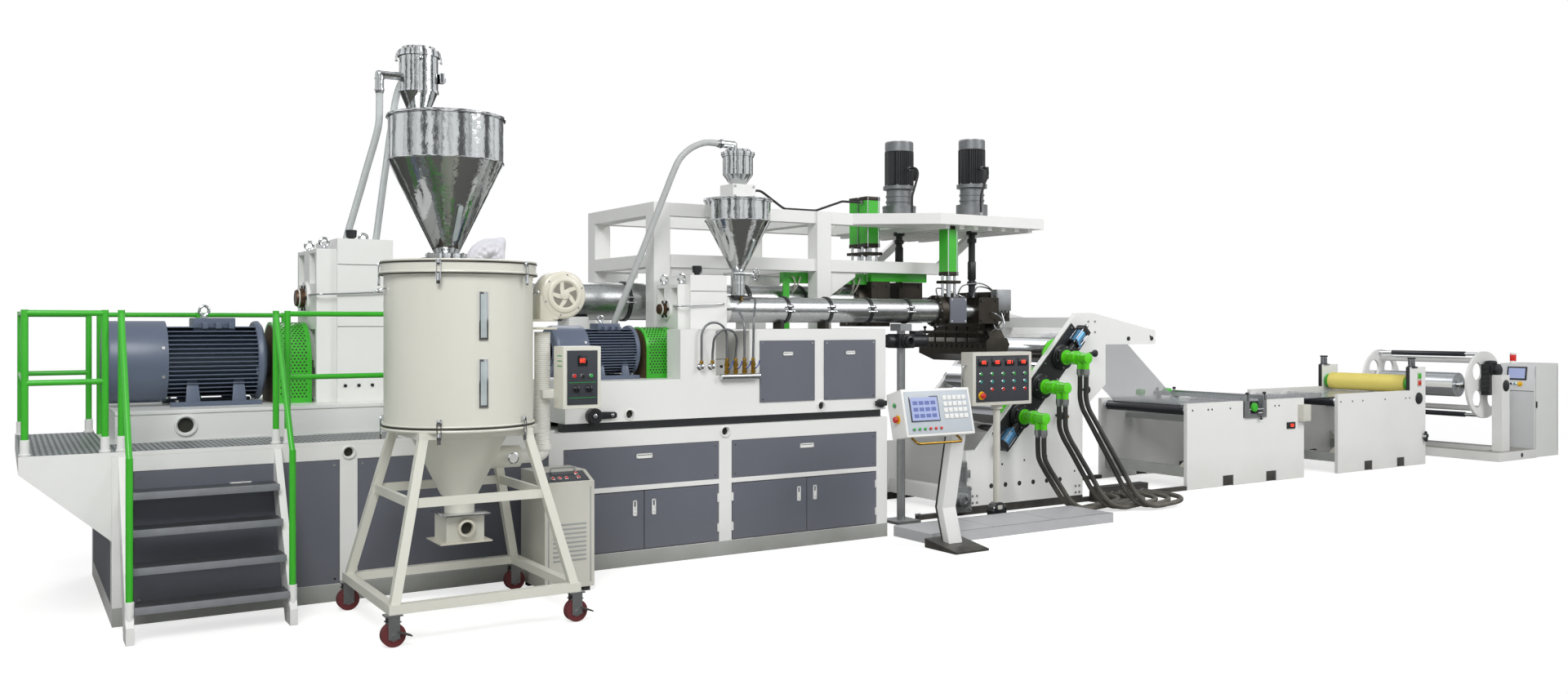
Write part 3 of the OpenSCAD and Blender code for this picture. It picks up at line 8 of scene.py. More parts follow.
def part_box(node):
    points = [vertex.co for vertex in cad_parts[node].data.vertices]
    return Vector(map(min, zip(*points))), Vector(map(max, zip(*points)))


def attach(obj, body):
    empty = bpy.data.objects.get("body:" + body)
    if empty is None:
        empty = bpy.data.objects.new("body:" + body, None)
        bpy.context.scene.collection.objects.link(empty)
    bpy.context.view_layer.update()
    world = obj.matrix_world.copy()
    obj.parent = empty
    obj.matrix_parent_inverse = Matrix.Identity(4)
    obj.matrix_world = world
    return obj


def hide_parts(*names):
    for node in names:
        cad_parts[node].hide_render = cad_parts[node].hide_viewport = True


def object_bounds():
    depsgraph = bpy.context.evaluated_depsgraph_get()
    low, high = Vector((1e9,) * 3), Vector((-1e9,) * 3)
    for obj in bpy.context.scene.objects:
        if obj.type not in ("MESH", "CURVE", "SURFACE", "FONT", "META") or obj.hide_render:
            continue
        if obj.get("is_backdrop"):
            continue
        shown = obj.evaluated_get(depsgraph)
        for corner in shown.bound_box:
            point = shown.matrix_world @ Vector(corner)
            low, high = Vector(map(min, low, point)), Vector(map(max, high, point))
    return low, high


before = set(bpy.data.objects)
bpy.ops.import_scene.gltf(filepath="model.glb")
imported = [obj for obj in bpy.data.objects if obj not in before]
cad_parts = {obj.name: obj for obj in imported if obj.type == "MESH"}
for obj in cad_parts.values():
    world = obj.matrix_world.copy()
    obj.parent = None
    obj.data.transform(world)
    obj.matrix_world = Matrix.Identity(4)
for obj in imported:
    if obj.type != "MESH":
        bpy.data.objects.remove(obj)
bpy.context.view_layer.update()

# View and studio
# A plain pale floor under soft lamps, seen from the operator's side at eye height, from
# where the main motor is nearest and the winder is far away.

def linear(code):
    """The linear colour, with full alpha, of an sRGB hex code."""
    parts = [int(code[i:i + 2], 16) / 255 for i in (1, 3, 5)]
    return [p / 12.92 if p <= 0.04045 else ((p + 0.055) / 1.055) ** 2.4 for p in parts] + [1.0]


def add(tree, kind, inputs=None, **settings):
    """One node with its settings; each input is a plain value, or the socket or node that feeds it."""
    node = tree.nodes.new(kind)
    for key, value in settings.items():
        setattr(node, key, value)
    for key, value in (inputs or {}).items():
        if isinstance(value, bpy.types.Node):
            value = value.outputs[0]
        if isinstance(value, bpy.types.NodeSocket):
            tree.links.new(value, node.inputs[key])
        else:
            node.inputs[key].default_value = value
    return node


def new_material(name):
    """An empty node material and its tree."""
    material = bpy.data.materials.new(name)
    material.use_nodes = True
    material.node_tree.nodes.clear()
    return material, material.node_tree


scene = bpy.context.scene
scene.view_settings.view_transform = "Standard"
camera = bpy.data.cameras.new("camera")
camera.lens = 28.125
camera.sensor_width = 36
camera.shift_y = -0.0156
camera.clip_end = 200
eye = bpy.data.objects.new("camera", camera)
eye.location = (-3.222, -8.78, 1.69)
eye.rotation_euler = (math.radians(90), 0, math.radians(-32.66))
scene.collection.objects.link(eye)
scene.camera = eye

# white to the camera and whiter further off, darker to mirrors, so that polished steel has contrast
floor_paint, tree = new_material("pale studio floor")
path = add(tree, "ShaderNodeLightPath")
tone = add(tree, "ShaderNodeMix", {0: path.outputs["Is Glossy Ray"], 6: linear("#c9c9c7"),
                                   7: linear("#6b6a67")}, data_type="RGBA").outputs[2]
matt = add(tree, "ShaderNodeBsdfDiffuse", {"Color": tone})
bright = add(tree, "ShaderNodeEmission", {"Color": linear("#ffffff"), "Strength": 0.62})
near = add(tree, "ShaderNodeAddShader", {0: matt, 1: bright})
place = add(tree, "ShaderNodeTexCoord").outputs["Object"]
offset = add(tree, "ShaderNodeVectorMath", {0: place, 1: (-5.0, 0.0, 0.0)}, operation="ADD")
squeeze = add(tree, "ShaderNodeVectorMath", {0: offset, 1: (0.45, 1.0, 1.0)}, operation="MULTIPLY")
away = add(tree, "ShaderNodeVectorMath", {0: squeeze}, operation="LENGTH").outputs["Value"]
fade = add(tree, "ShaderNodeMapRange", {0: away, 1: 3.0, 2: 6.0, 3: 0.0, 4: 1.0})
plain = add(tree, "ShaderNodeEmission", {"Color": linear("#ffffff"), "Strength": 1.0})
seen = add(tree, "ShaderNodeMixShader", {0: fade, 1: near, 2: plain})
shown = add(tree, "ShaderNodeMixShader", {0: path.outputs["Is Camera Ray"], 1: matt, 2: seen})
add(tree, "ShaderNodeOutputMaterial", {"Surface": shown})
mesh = bpy.data.meshes.new("studio_floor")
reach = 60
mesh.from_pydata([(-reach, -reach, -0.001), (reach, -reach, -0.001), (reach, reach, -0.001),
                  (-reach, reach, -0.001)], [], [(0, 1, 2, 3)])
mesh.materials.append(floor_paint)
studio_floor = bpy.data.objects.new("studio_floor", mesh)
scene.collection.objects.link(studio_floor)
studio_floor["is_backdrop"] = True

world = bpy.data.worlds.new("studio")
world.use_nodes = True
tree = world.node_tree
tree.nodes.clear()
path = add(tree, "ShaderNodeLightPath")
sky = add(tree, "ShaderNodeBackground", {"Color": linear("#f4f6f8"), "Strength": 0.42})
# mirrors see the bright and dark bays of a hall, as upright streaks
way = add(tree, "ShaderNodeTexCoord").outputs["Generated"]
level = add(tree, "ShaderNodeVectorMath", {0: way, 1: (1.0, 1.0, 0.0)}, operation="MULTIPLY")
turn = add(tree, "ShaderNodeVectorMath", {0: level}, operation="NORMALIZE")
bays = add(tree, "ShaderNodeTexNoise", {"Vector": turn, "Scale": 3.4, "Detail": 2.0})
glow = add(tree, "ShaderNodeMapRange", {0: bays, 1: 0.42, 2: 0.58, 3: 0.16, 4: 1.1})
hall = add(tree, "ShaderNodeBackground", {"Color": linear("#f4f6f8"), "Strength": glow})
mirrored = add(tree, "ShaderNodeMixShader", {0: path.outputs["Is Glossy Ray"], 1: sky, 2: hall})
backdrop = add(tree, "ShaderNodeBackground", {"Color": linear("#ffffff"), "Strength": 1.0})
shown = add(tree, "ShaderNodeMixShader",
            {0: path.outputs["Is Camera Ray"], 1: mirrored, 2: backdrop})
add(tree, "ShaderNodeOutputWorld", {"Surface": shown})
scene.world = world


def lamp(name, place, aim, size, watts):
    """A soft square lamp that points at a spot on the line."""
    light = bpy.data.lights.new(name, "AREA")
    light.size = size
    light.energy = watts
    obj = bpy.data.objects.new(name, light)
    obj.location = place
    obj.rotation_euler = (Vector(aim) - Vector(place)).to_track_quat("-Z", "Y").to_euler()
    scene.collection.objects.link(obj)


lamp("key", (-5.0, -9.0, 9.0), (1.0, 0, 1.0), 5.0, 820)
lamp("far_key", (9.0, -9.0, 8.0), (8.0, 0, 0.8), 5.0, 620)
lamp("fill", (4.0, 9.0, 9.0), (4.0, 0, 1.0), 7.0, 460)

# Base cabinet
# Welded steel frame in warm white enamel, with slate grey powder-coated covers and doors
# held flush in its bays, a light grey plinth strip, flush pulls and steel screws.

LEFT, RIGHT = Vector((-1, 0, 0)), Vector((1, 0, 0))
FRONT, BACK = Vector((0, -1, 0)), Vector((0, 1, 0))
UP = Vector((0, 0, 1))


def surface(name, colour, second, rough, metallic=0.0, patch_mm=60, grain_mm=2, grain=0.05,
            stretch=(1, 1, 1), spread=0.08, coat=0.0, soft_edge_mm=0, dust=0.0):
    """A finish that drifts from one colour to a second in patches, with fine grain in relief and gloss.
    Patch and grain are real sizes in mm; stretch draws the grain out along an axis."""
    material, tree = new_material(name)
    place = add(tree, "ShaderNodeTexCoord").outputs["Object"]
    patch = add(tree, "ShaderNodeTexNoise", {"Vector": place, "Scale": 1000 / patch_mm, "Detail": 4.0})
    drawn = add(tree, "ShaderNodeMapping", {"Vector": place, "Scale": stretch})
    fine = add(tree, "ShaderNodeTexNoise",
               {"Vector": drawn, "Scale": 1000 / grain_mm, "Detail": 3.0})
    mixed = add(tree, "ShaderNodeMix", {0: patch, 6: linear(colour), 7: linear(second)},
                data_type="RGBA")
    shade = mixed.outputs[2]
    if dust:
        height = add(tree, "ShaderNodeSeparateXYZ", {0: place}).outputs[2]
        low = add(tree, "ShaderNodeMapRange", {0: height, 1: 0.0, 2: 0.35, 3: dust, 4: 0.0})
        uneven = add(tree, "ShaderNodeMath", {0: low, 1: patch}, operation="MULTIPLY")
        shade = add(tree, "ShaderNodeMix", {0: uneven, 6: shade, 7: linear("#8d877b")},
                    data_type="RGBA").outputs[2]
    gloss = add(tree, "ShaderNodeMapRange",
                {0: fine, 1: 0.3, 2: 0.7, 3: max(rough - spread, 0.02), 4: rough + spread})
    inputs = {"Base Color": shade, "Roughness": gloss, "Metallic": metallic, "Coat Weight": coat}
    relief = {"Height": fine, "Strength": grain, "Distance": grain_mm / 1000}
    if soft_edge_mm:
        relief["Normal"] = add(tree, "ShaderNodeBevel", {"Radius": soft_edge_mm / 1000}, samples=4)
    inputs["Normal"] = add(tree, "ShaderNodeBump", relief)
    shader = add(tree, "ShaderNodeBsdfPrincipled", inputs)
    add(tree, "ShaderNodeOutputMaterial", {"Surface": shader})
    return material


def dress(material, *names):
    """Gives CAD pieces their finish."""
    for name in names:
        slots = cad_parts[name].data.materials
        slots.clear()
        slots.append(material)


def block(bm, low, high, edge=0.002):
    """A box with rounded edges between two corners."""
    low, high = Vector(low), Vector(high)
    place = Matrix.Translation((low + high) / 2) @ Matrix.Diagonal((*(high - low), 1))
    verts = bmesh.ops.create_cube(bm, size=1, matrix=place)["verts"]
    edge = min(edge, 0.3 * min(high - low))
    edges = list(dict.fromkeys(e for v in verts for e in v.link_edges))
    return bmesh.ops.bevel(bm, geom=edges, offset=edge, segments=2, affect="EDGES", profile=0.7)["verts"]


def frame_of(axis):
    """An axis one long, and two directions square to it."""
    axis = Vector(axis).normalized()
    side = axis.cross(UP if abs(axis.z) < 0.9 else RIGHT).normalized()
    return axis, side, axis.cross(side)


def skin(bm, rings, caps=True):
    """Joins rings of points into a wall, closed at its ends by caps; a ring of one point is a tip."""
    for one, two in zip(rings, rings[1:]):
        for k in range(max(len(one), len(two))):
            spots = [one[k % len(one)], one[(k + 1) % len(one)], two[(k + 1) % len(two)], two[k % len(two)]]
            kept = list(dict.fromkeys(spots))
            if len(kept) > 2:
                bm.faces.new(kept)
    for ring in (rings[0][::-1], rings[-1]):
        if caps and len(ring) > 1:
            bm.faces.new(ring)


def turned(bm, start, axis, profile, sides=48, caps=True):
    """A shape turned round an axis from (distance along it, radius) pairs."""
    axis, side, up = frame_of(axis)
    start = Vector(start)
    rings = []
    for along, radius in profile:
        centre = start + axis * along
        if radius < 1e-6:
            rings.append([bm.verts.new(centre)])
            continue
        rings.append([bm.verts.new(centre + (side * math.cos(a) + up * math.sin(a)) * radius)
                      for a in turns(sides)])
    skin(bm, rings, caps)


def stud(r, long, tip, edge=0.002):
    """Profile of a short round bar with a bevelled end."""
    return [(0, r), (long, r), (long + edge, tip)]


def turns(count, start=0.0):
    """Equal angles round a circle."""
    return [start + 2 * math.pi * k / count for k in range(count)]


def piece(name, bm, material, body="line", replaces=(), angle=35):
    """Closes a shape into an object that rides a body and takes its finish from a slot."""
    bmesh.ops.remove_doubles(bm, verts=bm.verts, dist=1e-5)
    bmesh.ops.recalc_face_normals(bm, faces=bm.faces)
    mesh = bpy.data.meshes.new(name)
    bm.to_mesh(mesh)
    bm.free()
    mesh.shade_smooth()
    mesh.set_sharp_from_angle(angle=math.radians(angle))
    mesh.materials.append(material)
    obj = bpy.data.objects.new(name, mesh)
    scene.collection.objects.link(obj)
    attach(obj, body)
    if replaces:
        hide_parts(*replaces)
    return obj


def node_group(name, inputs):
    """A geometry node group with named inputs, and the node that gives them."""
    tree = bpy.data.node_groups.new(name, "GeometryNodeTree")
    for key, kind in inputs.items():
        tree.interface.new_socket(key, in_out="INPUT", socket_type="NodeSocket" + kind)
    tree.interface.new_socket("Result", in_out="OUTPUT", socket_type="NodeSocketGeometry")
    return tree, add(tree, "NodeGroupInput")


def stud_tree():
    """Heads of screws, bolts or rivets set on points, each facing the way its point says."""
    tree, given = node_group("stud heads", {"Points": "Geometry", "Radius": "Float", "Height": "Float",
                                            "Sides": "Int", "Finish": "Material"})
    head = add(tree, "GeometryNodeMeshCylinder",
               {"Vertices": given.outputs["Sides"], "Radius": given.outputs["Radius"],
                "Depth": given.outputs["Height"]})
    facing = add(tree, "GeometryNodeInputNamedAttribute", {"Name": "facing"}, data_type="FLOAT_VECTOR")
    turn = add(tree, "FunctionNodeAlignRotationToVector", {"Vector": facing}, axis="Z")
    points = add(tree, "GeometryNodeMeshToPoints", {"Mesh": given.outputs["Points"]})
    placed = add(tree, "GeometryNodeInstanceOnPoints",
                 {"Points": points, "Instance": head, "Rotation": turn})
    solid = add(tree, "GeometryNodeRealizeInstances", {0: placed})
    painted = add(tree, "GeometryNodeSetMaterial",
                  {"Geometry": solid, "Material": given.outputs["Finish"]})
    add(tree, "NodeGroupOutput", {0: painted})
    return tree


def grown(name, mesh, tree, settings, body="line"):
    """Runs a node tree on a mesh and keeps its result as a plain piece."""
    obj = bpy.data.objects.new(name, mesh)
    scene.collection.objects.link(obj)
    modifier = obj.modifiers.new("grow", "NODES")
    modifier.node_group = tree
    for socket in tree.interface.items_tree:
        if socket.in_out == "INPUT" and socket.name in settings:
            modifier[socket.identifier] = settings[socket.name]
    ready = obj.evaluated_get(bpy.context.evaluated_depsgraph_get())
    result = bpy.data.meshes.new_from_object(ready)
    obj.modifiers.clear()
    obj.data = result
    result.set_sharp_from_angle(angle=math.radians(35))
    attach(obj, body)


studs = stud_tree()


def heads(name, spots, radius, height, material, sides=6, body="line"):
    """Screw or bolt heads at (point, facing) spots, half sunk so that they stand on the surface."""
    mesh = bpy.data.meshes.new(name)
    mesh.from_pydata([Vector(p) for p, way in spots], [], [])
    facing = mesh.attributes.new("facing", "FLOAT_VECTOR", "POINT")
    for i, (p, way) in enumerate(spots):
        facing.data[i].vector = way
    settings = {"Radius": radius, "Height": height, "Sides": sides, "Finish": material}
    grown(name, mesh, studs, settings, body)


# sprayed machine enamel: slight orange peel, semi-gloss, a little uneven and dusty low down
white_enamel = surface("warm white machine enamel", "#f0f0ee", "#e9e9e6", 0.34, patch_mm=420, grain_mm=3,
                       grain=0.02, soft_edge_mm=4, dust=0.25)
# powder coat: fine even pimples that scatter the highlight
slate = surface("slate powder coat", "#6c6f79", "#646771", 0.42, patch_mm=300, grain_mm=1.6, grain=0.12,
                soft_edge_mm=3, dust=0.2)
# enamel close to the floor, duller and dustier than the covers
plinth_grey = surface("light grey enamel", "#aeb1ae", "#9fa29f", 0.4, patch_mm=260, grain_mm=3, grain=0.03,
                      dust=0.5)
# plated steel: zinc is cloudy and dull, chrome is a clear mirror
zinc = surface("zinc plated steel", "#b9bbbd", "#a2a4a6", 0.3, 0.9, patch_mm=40, grain_mm=0.8)
polished_chrome = surface("polished chrome", "#dcdee0", "#d2d4d6", 0.09, 1.0, grain=0.01, spread=0.03)
# black enamel with soft bright edges, greyed by dust low down
black_paint = surface("black enamel", "#1d1e20", "#262729", 0.38, patch_mm=90, grain=0.04, soft_edge_mm=3,
                      dust=0.35)
dress(white_enamel, "base_frame")
dress(slate, "cover_panels", "door_1", "door_2", "door_3", "door_4")

base_low, base_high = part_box("base_frame")
front_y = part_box("door_1")[0].y
plinth_top = 0.105
bm = bmesh.new()
block(bm, (base_low.x, front_y - 0.004, 0), (base_high.x, front_y + 0.001, plinth_top), 0.001)
piece("plinth_strip", bm, plinth_grey)


def on_front(xs, y, zs, facing=FRONT):
    """Spots for heads in columns and rows on an upright face."""
    return [((x, y, z), facing) for x in xs for z in zs]


def flush_pull(bm, x, y, z, wide, tall):
    """A sunk finger pull: a rounded rim round a shallow tray."""
    rim = 0.009
    for low, high in (((x - wide, z + tall - rim), (x + wide, z + tall)),
                      ((x - wide, z - tall), (x + wide, z - tall + rim)),
                      ((x - wide, z - tall), (x - wide + rim, z + tall)),
                      ((x + wide - rim, z - tall), (x + wide, z + tall))):
        block(bm, (low[0], y - 0.006, low[1]), (high[0], y + 0.001, high[1]), 0.002)
    block(bm, (x - wide + rim, y - 0.002, z - tall + rim), (x + wide - rim, y + 0.001, z + 0.2 * tall), 0.001)


corner = 0.03
bay_edges = [(-2.590, -1.479), (-1.374, -0.136), (-0.031, 1.168), (1.273, 2.590)]
pulls = bmesh.new()
screw_spots = []
for k, (x0, x1) in enumerate(bay_edges):
    z0, z1 = (0.107, 0.855) if k < 2 else (0.558, 0.830)
    screw_spots += on_front((x0 + corner, x1 - corner), front_y, (z0 + corner, z1 - corner))
    flush_pull(pulls, (x0 + x1) / 2, front_y, z1 - (0.11 if k < 2 else 0.07), 0.062, 0.017)
heads("cover_screws", screw_spots, 0.007, 0.008, polished_chrome, 12)
piece("cover_pulls", pulls, white_enamel)
for k in range(1, 5):
    low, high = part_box(f"door_{k}")
    latch = high.x - 0.07 if k % 2 else low.x + 0.07
    bm = bmesh.new()
    flush_pull(bm, latch, front_y, 0.40, 0.016, 0.055)
    turned(bm, (latch, front_y + 0.001, 0.375), FRONT, stud(0.009, 0.006, 0.007, 0.001), 16)
    piece(f"door_{k}_latch", bm, white_enamel, f"door_{k}")

# back covers of the cabinet, each held by six screws
bm = bmesh.new()
screw_spots = []
for k in range(5):
    x0 = -2.60 + 1.045 * k
    block(bm, (x0, base_high.y - 0.002, 0.14), (x0 + 1.015, base_high.y + 0.004, 0.84), 0.002)
    screw_spots += on_front((x0 + 0.035, x0 + 0.5075, x0 + 0.98), base_high.y + 0.004, (0.175, 0.805), BACK)
piece("back_covers", bm, white_enamel)
heads("back_cover_screws", screw_spots, 0.007, 0.008, polished_chrome, 12)

# collars round the two lifting sockets in the frame's front
bm = bmesh.new()
lift_z = base_high.z - 0.045
for x in (-1.4255, 1.2209):
    turned(bm, (x, front_y + 0.002, lift_z), FRONT,
           [(0, 0.044), (0.012, 0.042), (0.014, 0.034), (0.002, 0.030)], 40, False)
piece("lifting_collars", bm, white_enamel)

# Walkway, stair and guard rails
# A bolted steel deck with a grating, a stair of folded dark steel treads between white
# stringers, and bright green tube rails that stand in short white sockets.

# galvanised grating: bars 30 mm apart, with painted shade in the slots between worn bright bar edges
grating, tree = new_material("steel grating")
place = add(tree, "ShaderNodeTexCoord").outputs["Object"]
bars = add(tree, "ShaderNodeTexWave", {"Vector": place, "Scale": math.pi / 10 / 0.030, "Distortion": 0.0},
           bands_direction="X", wave_profile="SIN")
rungs = add(tree, "ShaderNodeTexWave", {"Vector": place, "Scale": math.pi / 10 / 0.1, "Distortion": 0.0},
            bands_direction="Y", wave_profile="SIN")
rung_edge = add(tree, "ShaderNodeMapRange", {0: rungs.outputs[1], 1: 0.8, 2: 0.95, 3: 0.0, 4: 0.9})
lit = add(tree, "ShaderNodeMath", {0: bars.outputs[1], 1: rung_edge}, operation="MAXIMUM")
wear = add(tree, "ShaderNodeTexNoise", {"Vector": place, "Scale": 9.0, "Detail": 5.0})
bar_tone = add(tree, "ShaderNodeMix", {0: wear, 6: linear("#85898c"), 7: linear("#a9adaf")}, data_type="RGBA")
slot_edge = add(tree, "ShaderNodeMapRange", {0: lit, 1: 0.25, 2: 0.6})
tone = add(tree, "ShaderNodeMix", {0: slot_edge, 6: linear("#3c3f42"), 7: bar_tone.outputs[2]},
           data_type="RGBA")
bump = add(tree, "ShaderNodeBump", {"Height": slot_edge, "Strength": 0.6, "Distance": 0.004})
shader = add(tree, "ShaderNodeBsdfPrincipled", {"Base Color": tone.outputs[2], "Roughness": 0.45,
                                                "Metallic": 0.6, "Normal": bump})
add(tree, "ShaderNodeOutputMaterial", {"Surface": shader})
# hot rolled steel of the treads, dark with a worn sheen
dark_tread = surface("dark tread steel", "#5a5c5f", "#6d6f72", 0.4, 0.7, patch_mm=120, grain_mm=4,
                     grain=0.15, soft_edge_mm=3)
# thick green enamel, smooth and glossy
green_enamel = surface("bright green enamel", "#42bc30", "#39b028", 0.3, patch_mm=200, grain_mm=2.5,
                       grain=0.02, coat=0.2)


def dress_faces(name, materials, choose):
    """Gives the faces of one CAD piece a finish each, picked by the face's middle and direction."""
    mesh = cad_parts[name].data
    mesh.materials.clear()
    for material in materials:
        mesh.materials.append(material)
    for face in mesh.polygons:
        face.material_index = choose(face.center, face.normal)


deck_low, deck_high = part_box("platform")
dress_faces("platform", [white_enamel, grating], lambda c, n: int(n.z > 0.9 and c.z > deck_high.z - 0.002))
stair_low, stair_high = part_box("stair")
string_t = 0.041
dress_faces("stair", [white_enamel, dark_tread],
            lambda c, n: int(stair_low.x + string_t < c.x < stair_high.x - string_t))
dress(green_enamel, "guard_rails")

deck_top = deck_high.z
bm = bmesh.new()
socket_spots = [(x, y) for x in (-3.105, -2.725) for y in (-1.02, 0.45)]
socket_spots += [(x, -1.02) for x in (-1.77, -1.09, -0.41, -2.645, -1.835)]
for x, y in socket_spots:
    turned(bm, (x, y, deck_top), UP, [(0, 0.030), (0.010, 0.030), (0.012, 0.0235), (0.085, 0.0235),
                                      (0.087, 0.019)], 24)
for x in (-2.645, -1.835):
    turned(bm, (x, -1.51, 0.10), UP, stud(0.0235, 0.12, 0.019), 24)
piece("rail_sockets", bm, white_enamel)
tread_edges = bmesh.new()
base_top, rises, stair_run, tread = 0.945, 5, 0.49, 0.09
for k in range(1, rises):
    z = base_top * k / rises
    y = -1.06 - stair_run * (1 - k / rises) - tread
    block(tread_edges, (-2.624, y - 0.003, z - 0.036), (-1.856, y + 0.012, z + 0.003), 0.0015)
# edges rubbed bare by shoes, paler and rougher than the treads
worn_edge = surface("worn tread edge", "#9a9ca1", "#85878c", 0.45, 0.35, grain_mm=3, grain=0.12)
piece("tread_edges", tread_edges, worn_edge)

# Main drive
# A totally enclosed fan-cooled motor in slate blue paint on a white bed, a perforated green
# arch over its coupling, and a cast gear case with ribs, machined joints and a bronze screw end.

# paint sprayed over rough castings: fine grain and a soft sheen; bronze gleams dark brown
motor_paint = surface("slate blue motor paint", "#636d81", "#5a6476", 0.36, patch_mm=150, grain_mm=3,
                      grain=0.08, soft_edge_mm=2)
bronze = surface("oiled bronze", "#6d5440", "#4c3a2c", 0.35, 0.8, patch_mm=30, grain_mm=1, grain=0.1)
dress(white_enamel, "main_bed", "main_gearbox", "co_gearbox", "co_base")


def smooth_route(points, steps):
    """Points on one smooth curve through given points."""
    points = [Vector(p) for p in points]
    route = []
    for i in range(len(points) - 1):
        a, b = points[max(i - 1, 0)], points[i]
        c, d = points[i + 1], points[min(i + 2, len(points) - 1)]
        for j in range(steps):
            t = j / steps
            route.append(0.5 * (2 * b + (c - a) * t + (2 * a - 5 * b + 4 * c - d) * t * t
                                + (3 * b - a - 3 * c + d) * t ** 3))
    return route + [points[-1]]


def pipe(bm, points, radius, sides=12, ribs=None):
    """A round tube along points; ribs gives a radius for each point."""
    points = [Vector(p) for p in points]
    ahead = (points[1] - points[0]).normalized()
    side = frame_of(ahead)[1]
    rings = []
    for i, point in enumerate(points):
        ahead = (points[min(i + 1, len(points) - 1)] - points[max(i - 1, 0)]).normalized()
        side = (side - ahead * side.dot(ahead)).normalized()
        up = ahead.cross(side)
        size = ribs[i] if ribs else radius
        rings.append([bm.verts.new(point + (side * math.cos(a) + up * math.sin(a)) * size)
                      for a in turns(sides)])
    skin(bm, rings)


def plate(bm, outline, start, along, up, thick, edge=0.002):
    """A flat plate: an outline of (along, up) pairs from a start point, thickened backwards."""
    start, along, up = Vector(start), Vector(along).normalized(), Vector(up).normalized()
    face = bm.faces.new([bm.verts.new(start + along * a + up * b) for a, b in outline])
    face.normal_update()
    push = along.cross(up) * -thick
    made = bmesh.ops.extrude_face_region(bm, geom=[face])["geom"]
    moved = [g for g in made if isinstance(g, bmesh.types.BMVert)]
    bmesh.ops.translate(bm, vec=push, verts=moved)
    edges = list(dict.fromkeys(e for v in moved + list(face.verts) for e in v.link_edges))
    if edge:
        bmesh.ops.bevel(bm, geom=edges, offset=edge, segments=2, affect="EDGES", profile=0.7)


def circle(centre, axis, r, angles):
    """Points on a circle square to an axis that runs along X, Y or Z."""
    one, two = [e for e in (RIGHT, BACK, UP) if not e.dot(axis)]
    return [Vector(centre) + one * (r * math.cos(a)) + two * (r * math.sin(a)) for a in angles]


def ring_of_bolts(centre, facing, r, angles):
    """Spots for bolt heads on a circle, all facing one way."""
    return [(p, facing) for p in circle(centre, facing, r, angles)]


def fin_tree():
    """Level cooling fins across a round frame: flat bars stacked up, each as wide as the circle there."""
    tree, given = node_group("cooling fins", {"Radius": "Float", "Length": "Float", "Thickness": "Float",
                                              "Count": "Int", "Place": "Vector", "Turn": "Vector",
                                              "Finish": "Material"})
    tree.interface.items_tree["Turn"].subtype = "EULER"
    radius = given.outputs["Radius"]
    top = add(tree, "ShaderNodeMath", {0: radius, 1: 0.86}, operation="MULTIPLY")
    bottom = add(tree, "ShaderNodeMath", {0: radius, 1: -0.86}, operation="MULTIPLY")
    first = add(tree, "ShaderNodeCombineXYZ", {2: bottom})
    last = add(tree, "ShaderNodeCombineXYZ", {2: top})
    line = add(tree, "GeometryNodeMeshLine", {"Count": given.outputs["Count"], "Start Location": first,
                                              "Offset": last}, mode="END_POINTS")
    height = add(tree, "ShaderNodeSeparateXYZ", {0: add(tree, "GeometryNodeInputPosition")}).outputs[2]
    rise = add(tree, "ShaderNodeMath", {0: height, 1: height}, operation="MULTIPLY")
    whole = add(tree, "ShaderNodeMath", {0: radius, 1: radius}, operation="MULTIPLY")
    left = add(tree, "ShaderNodeMath", {0: whole, 1: rise}, operation="SUBTRACT")
    reach = add(tree, "ShaderNodeMath", {0: left}, operation="SQRT")
    width = add(tree, "ShaderNodeCombineXYZ", {0: 1.0, 1: reach, 2: 1.0})
    size = add(tree, "ShaderNodeCombineXYZ", {0: given.outputs["Length"], 1: 2.0,
                                              2: given.outputs["Thickness"]})
    bar = add(tree, "GeometryNodeMeshCube", {"Size": size})
    placed = add(tree, "GeometryNodeInstanceOnPoints",
                 {"Points": line, "Instance": bar, "Scale": width})
    solid = add(tree, "GeometryNodeRealizeInstances", {0: placed})
    moved = add(tree, "GeometryNodeTransform", {"Geometry": solid, "Translation": given.outputs["Place"],
                                                "Rotation": given.outputs["Turn"]})
    painted = add(tree, "GeometryNodeSetMaterial",
                  {"Geometry": moved, "Material": given.outputs["Finish"]})
    add(tree, "NodeGroupOutput", {0: painted})
    return tree


fins = fin_tree()


def fin_stack(name, place, radius, length, count, material, turn=(0, 0, 0)):
    """One motor's fins as a plain piece."""
    settings = {"Radius": radius, "Length": length, "Thickness": 0.007, "Count": count, "Place": place,
                "Turn": turn, "Finish": material}
    grown(name, bpy.data.meshes.new(name), fins, settings)


def hoop(bm, centre, axis, r, thick, sides, steps=24):
    """A round bar bent into a circle."""
    path = circle(centre, axis, r, turns(steps))
    pipe(bm, path + path[:1], thick, sides)


def ring_bolt(bm, x, y, z, size):
    """A lifting eyebolt standing on a surface."""
    turned(bm, (x, y, z), UP, [(0, 0.5 * size), (0.18 * size, 0.5 * size), (0.25 * size, 0.3 * size),
                               (0.5 * size, 0.25 * size)], 20)
    hoop(bm, (x, y, z + 1.05 * size), FRONT, 0.62 * size, 0.2 * size, 10)


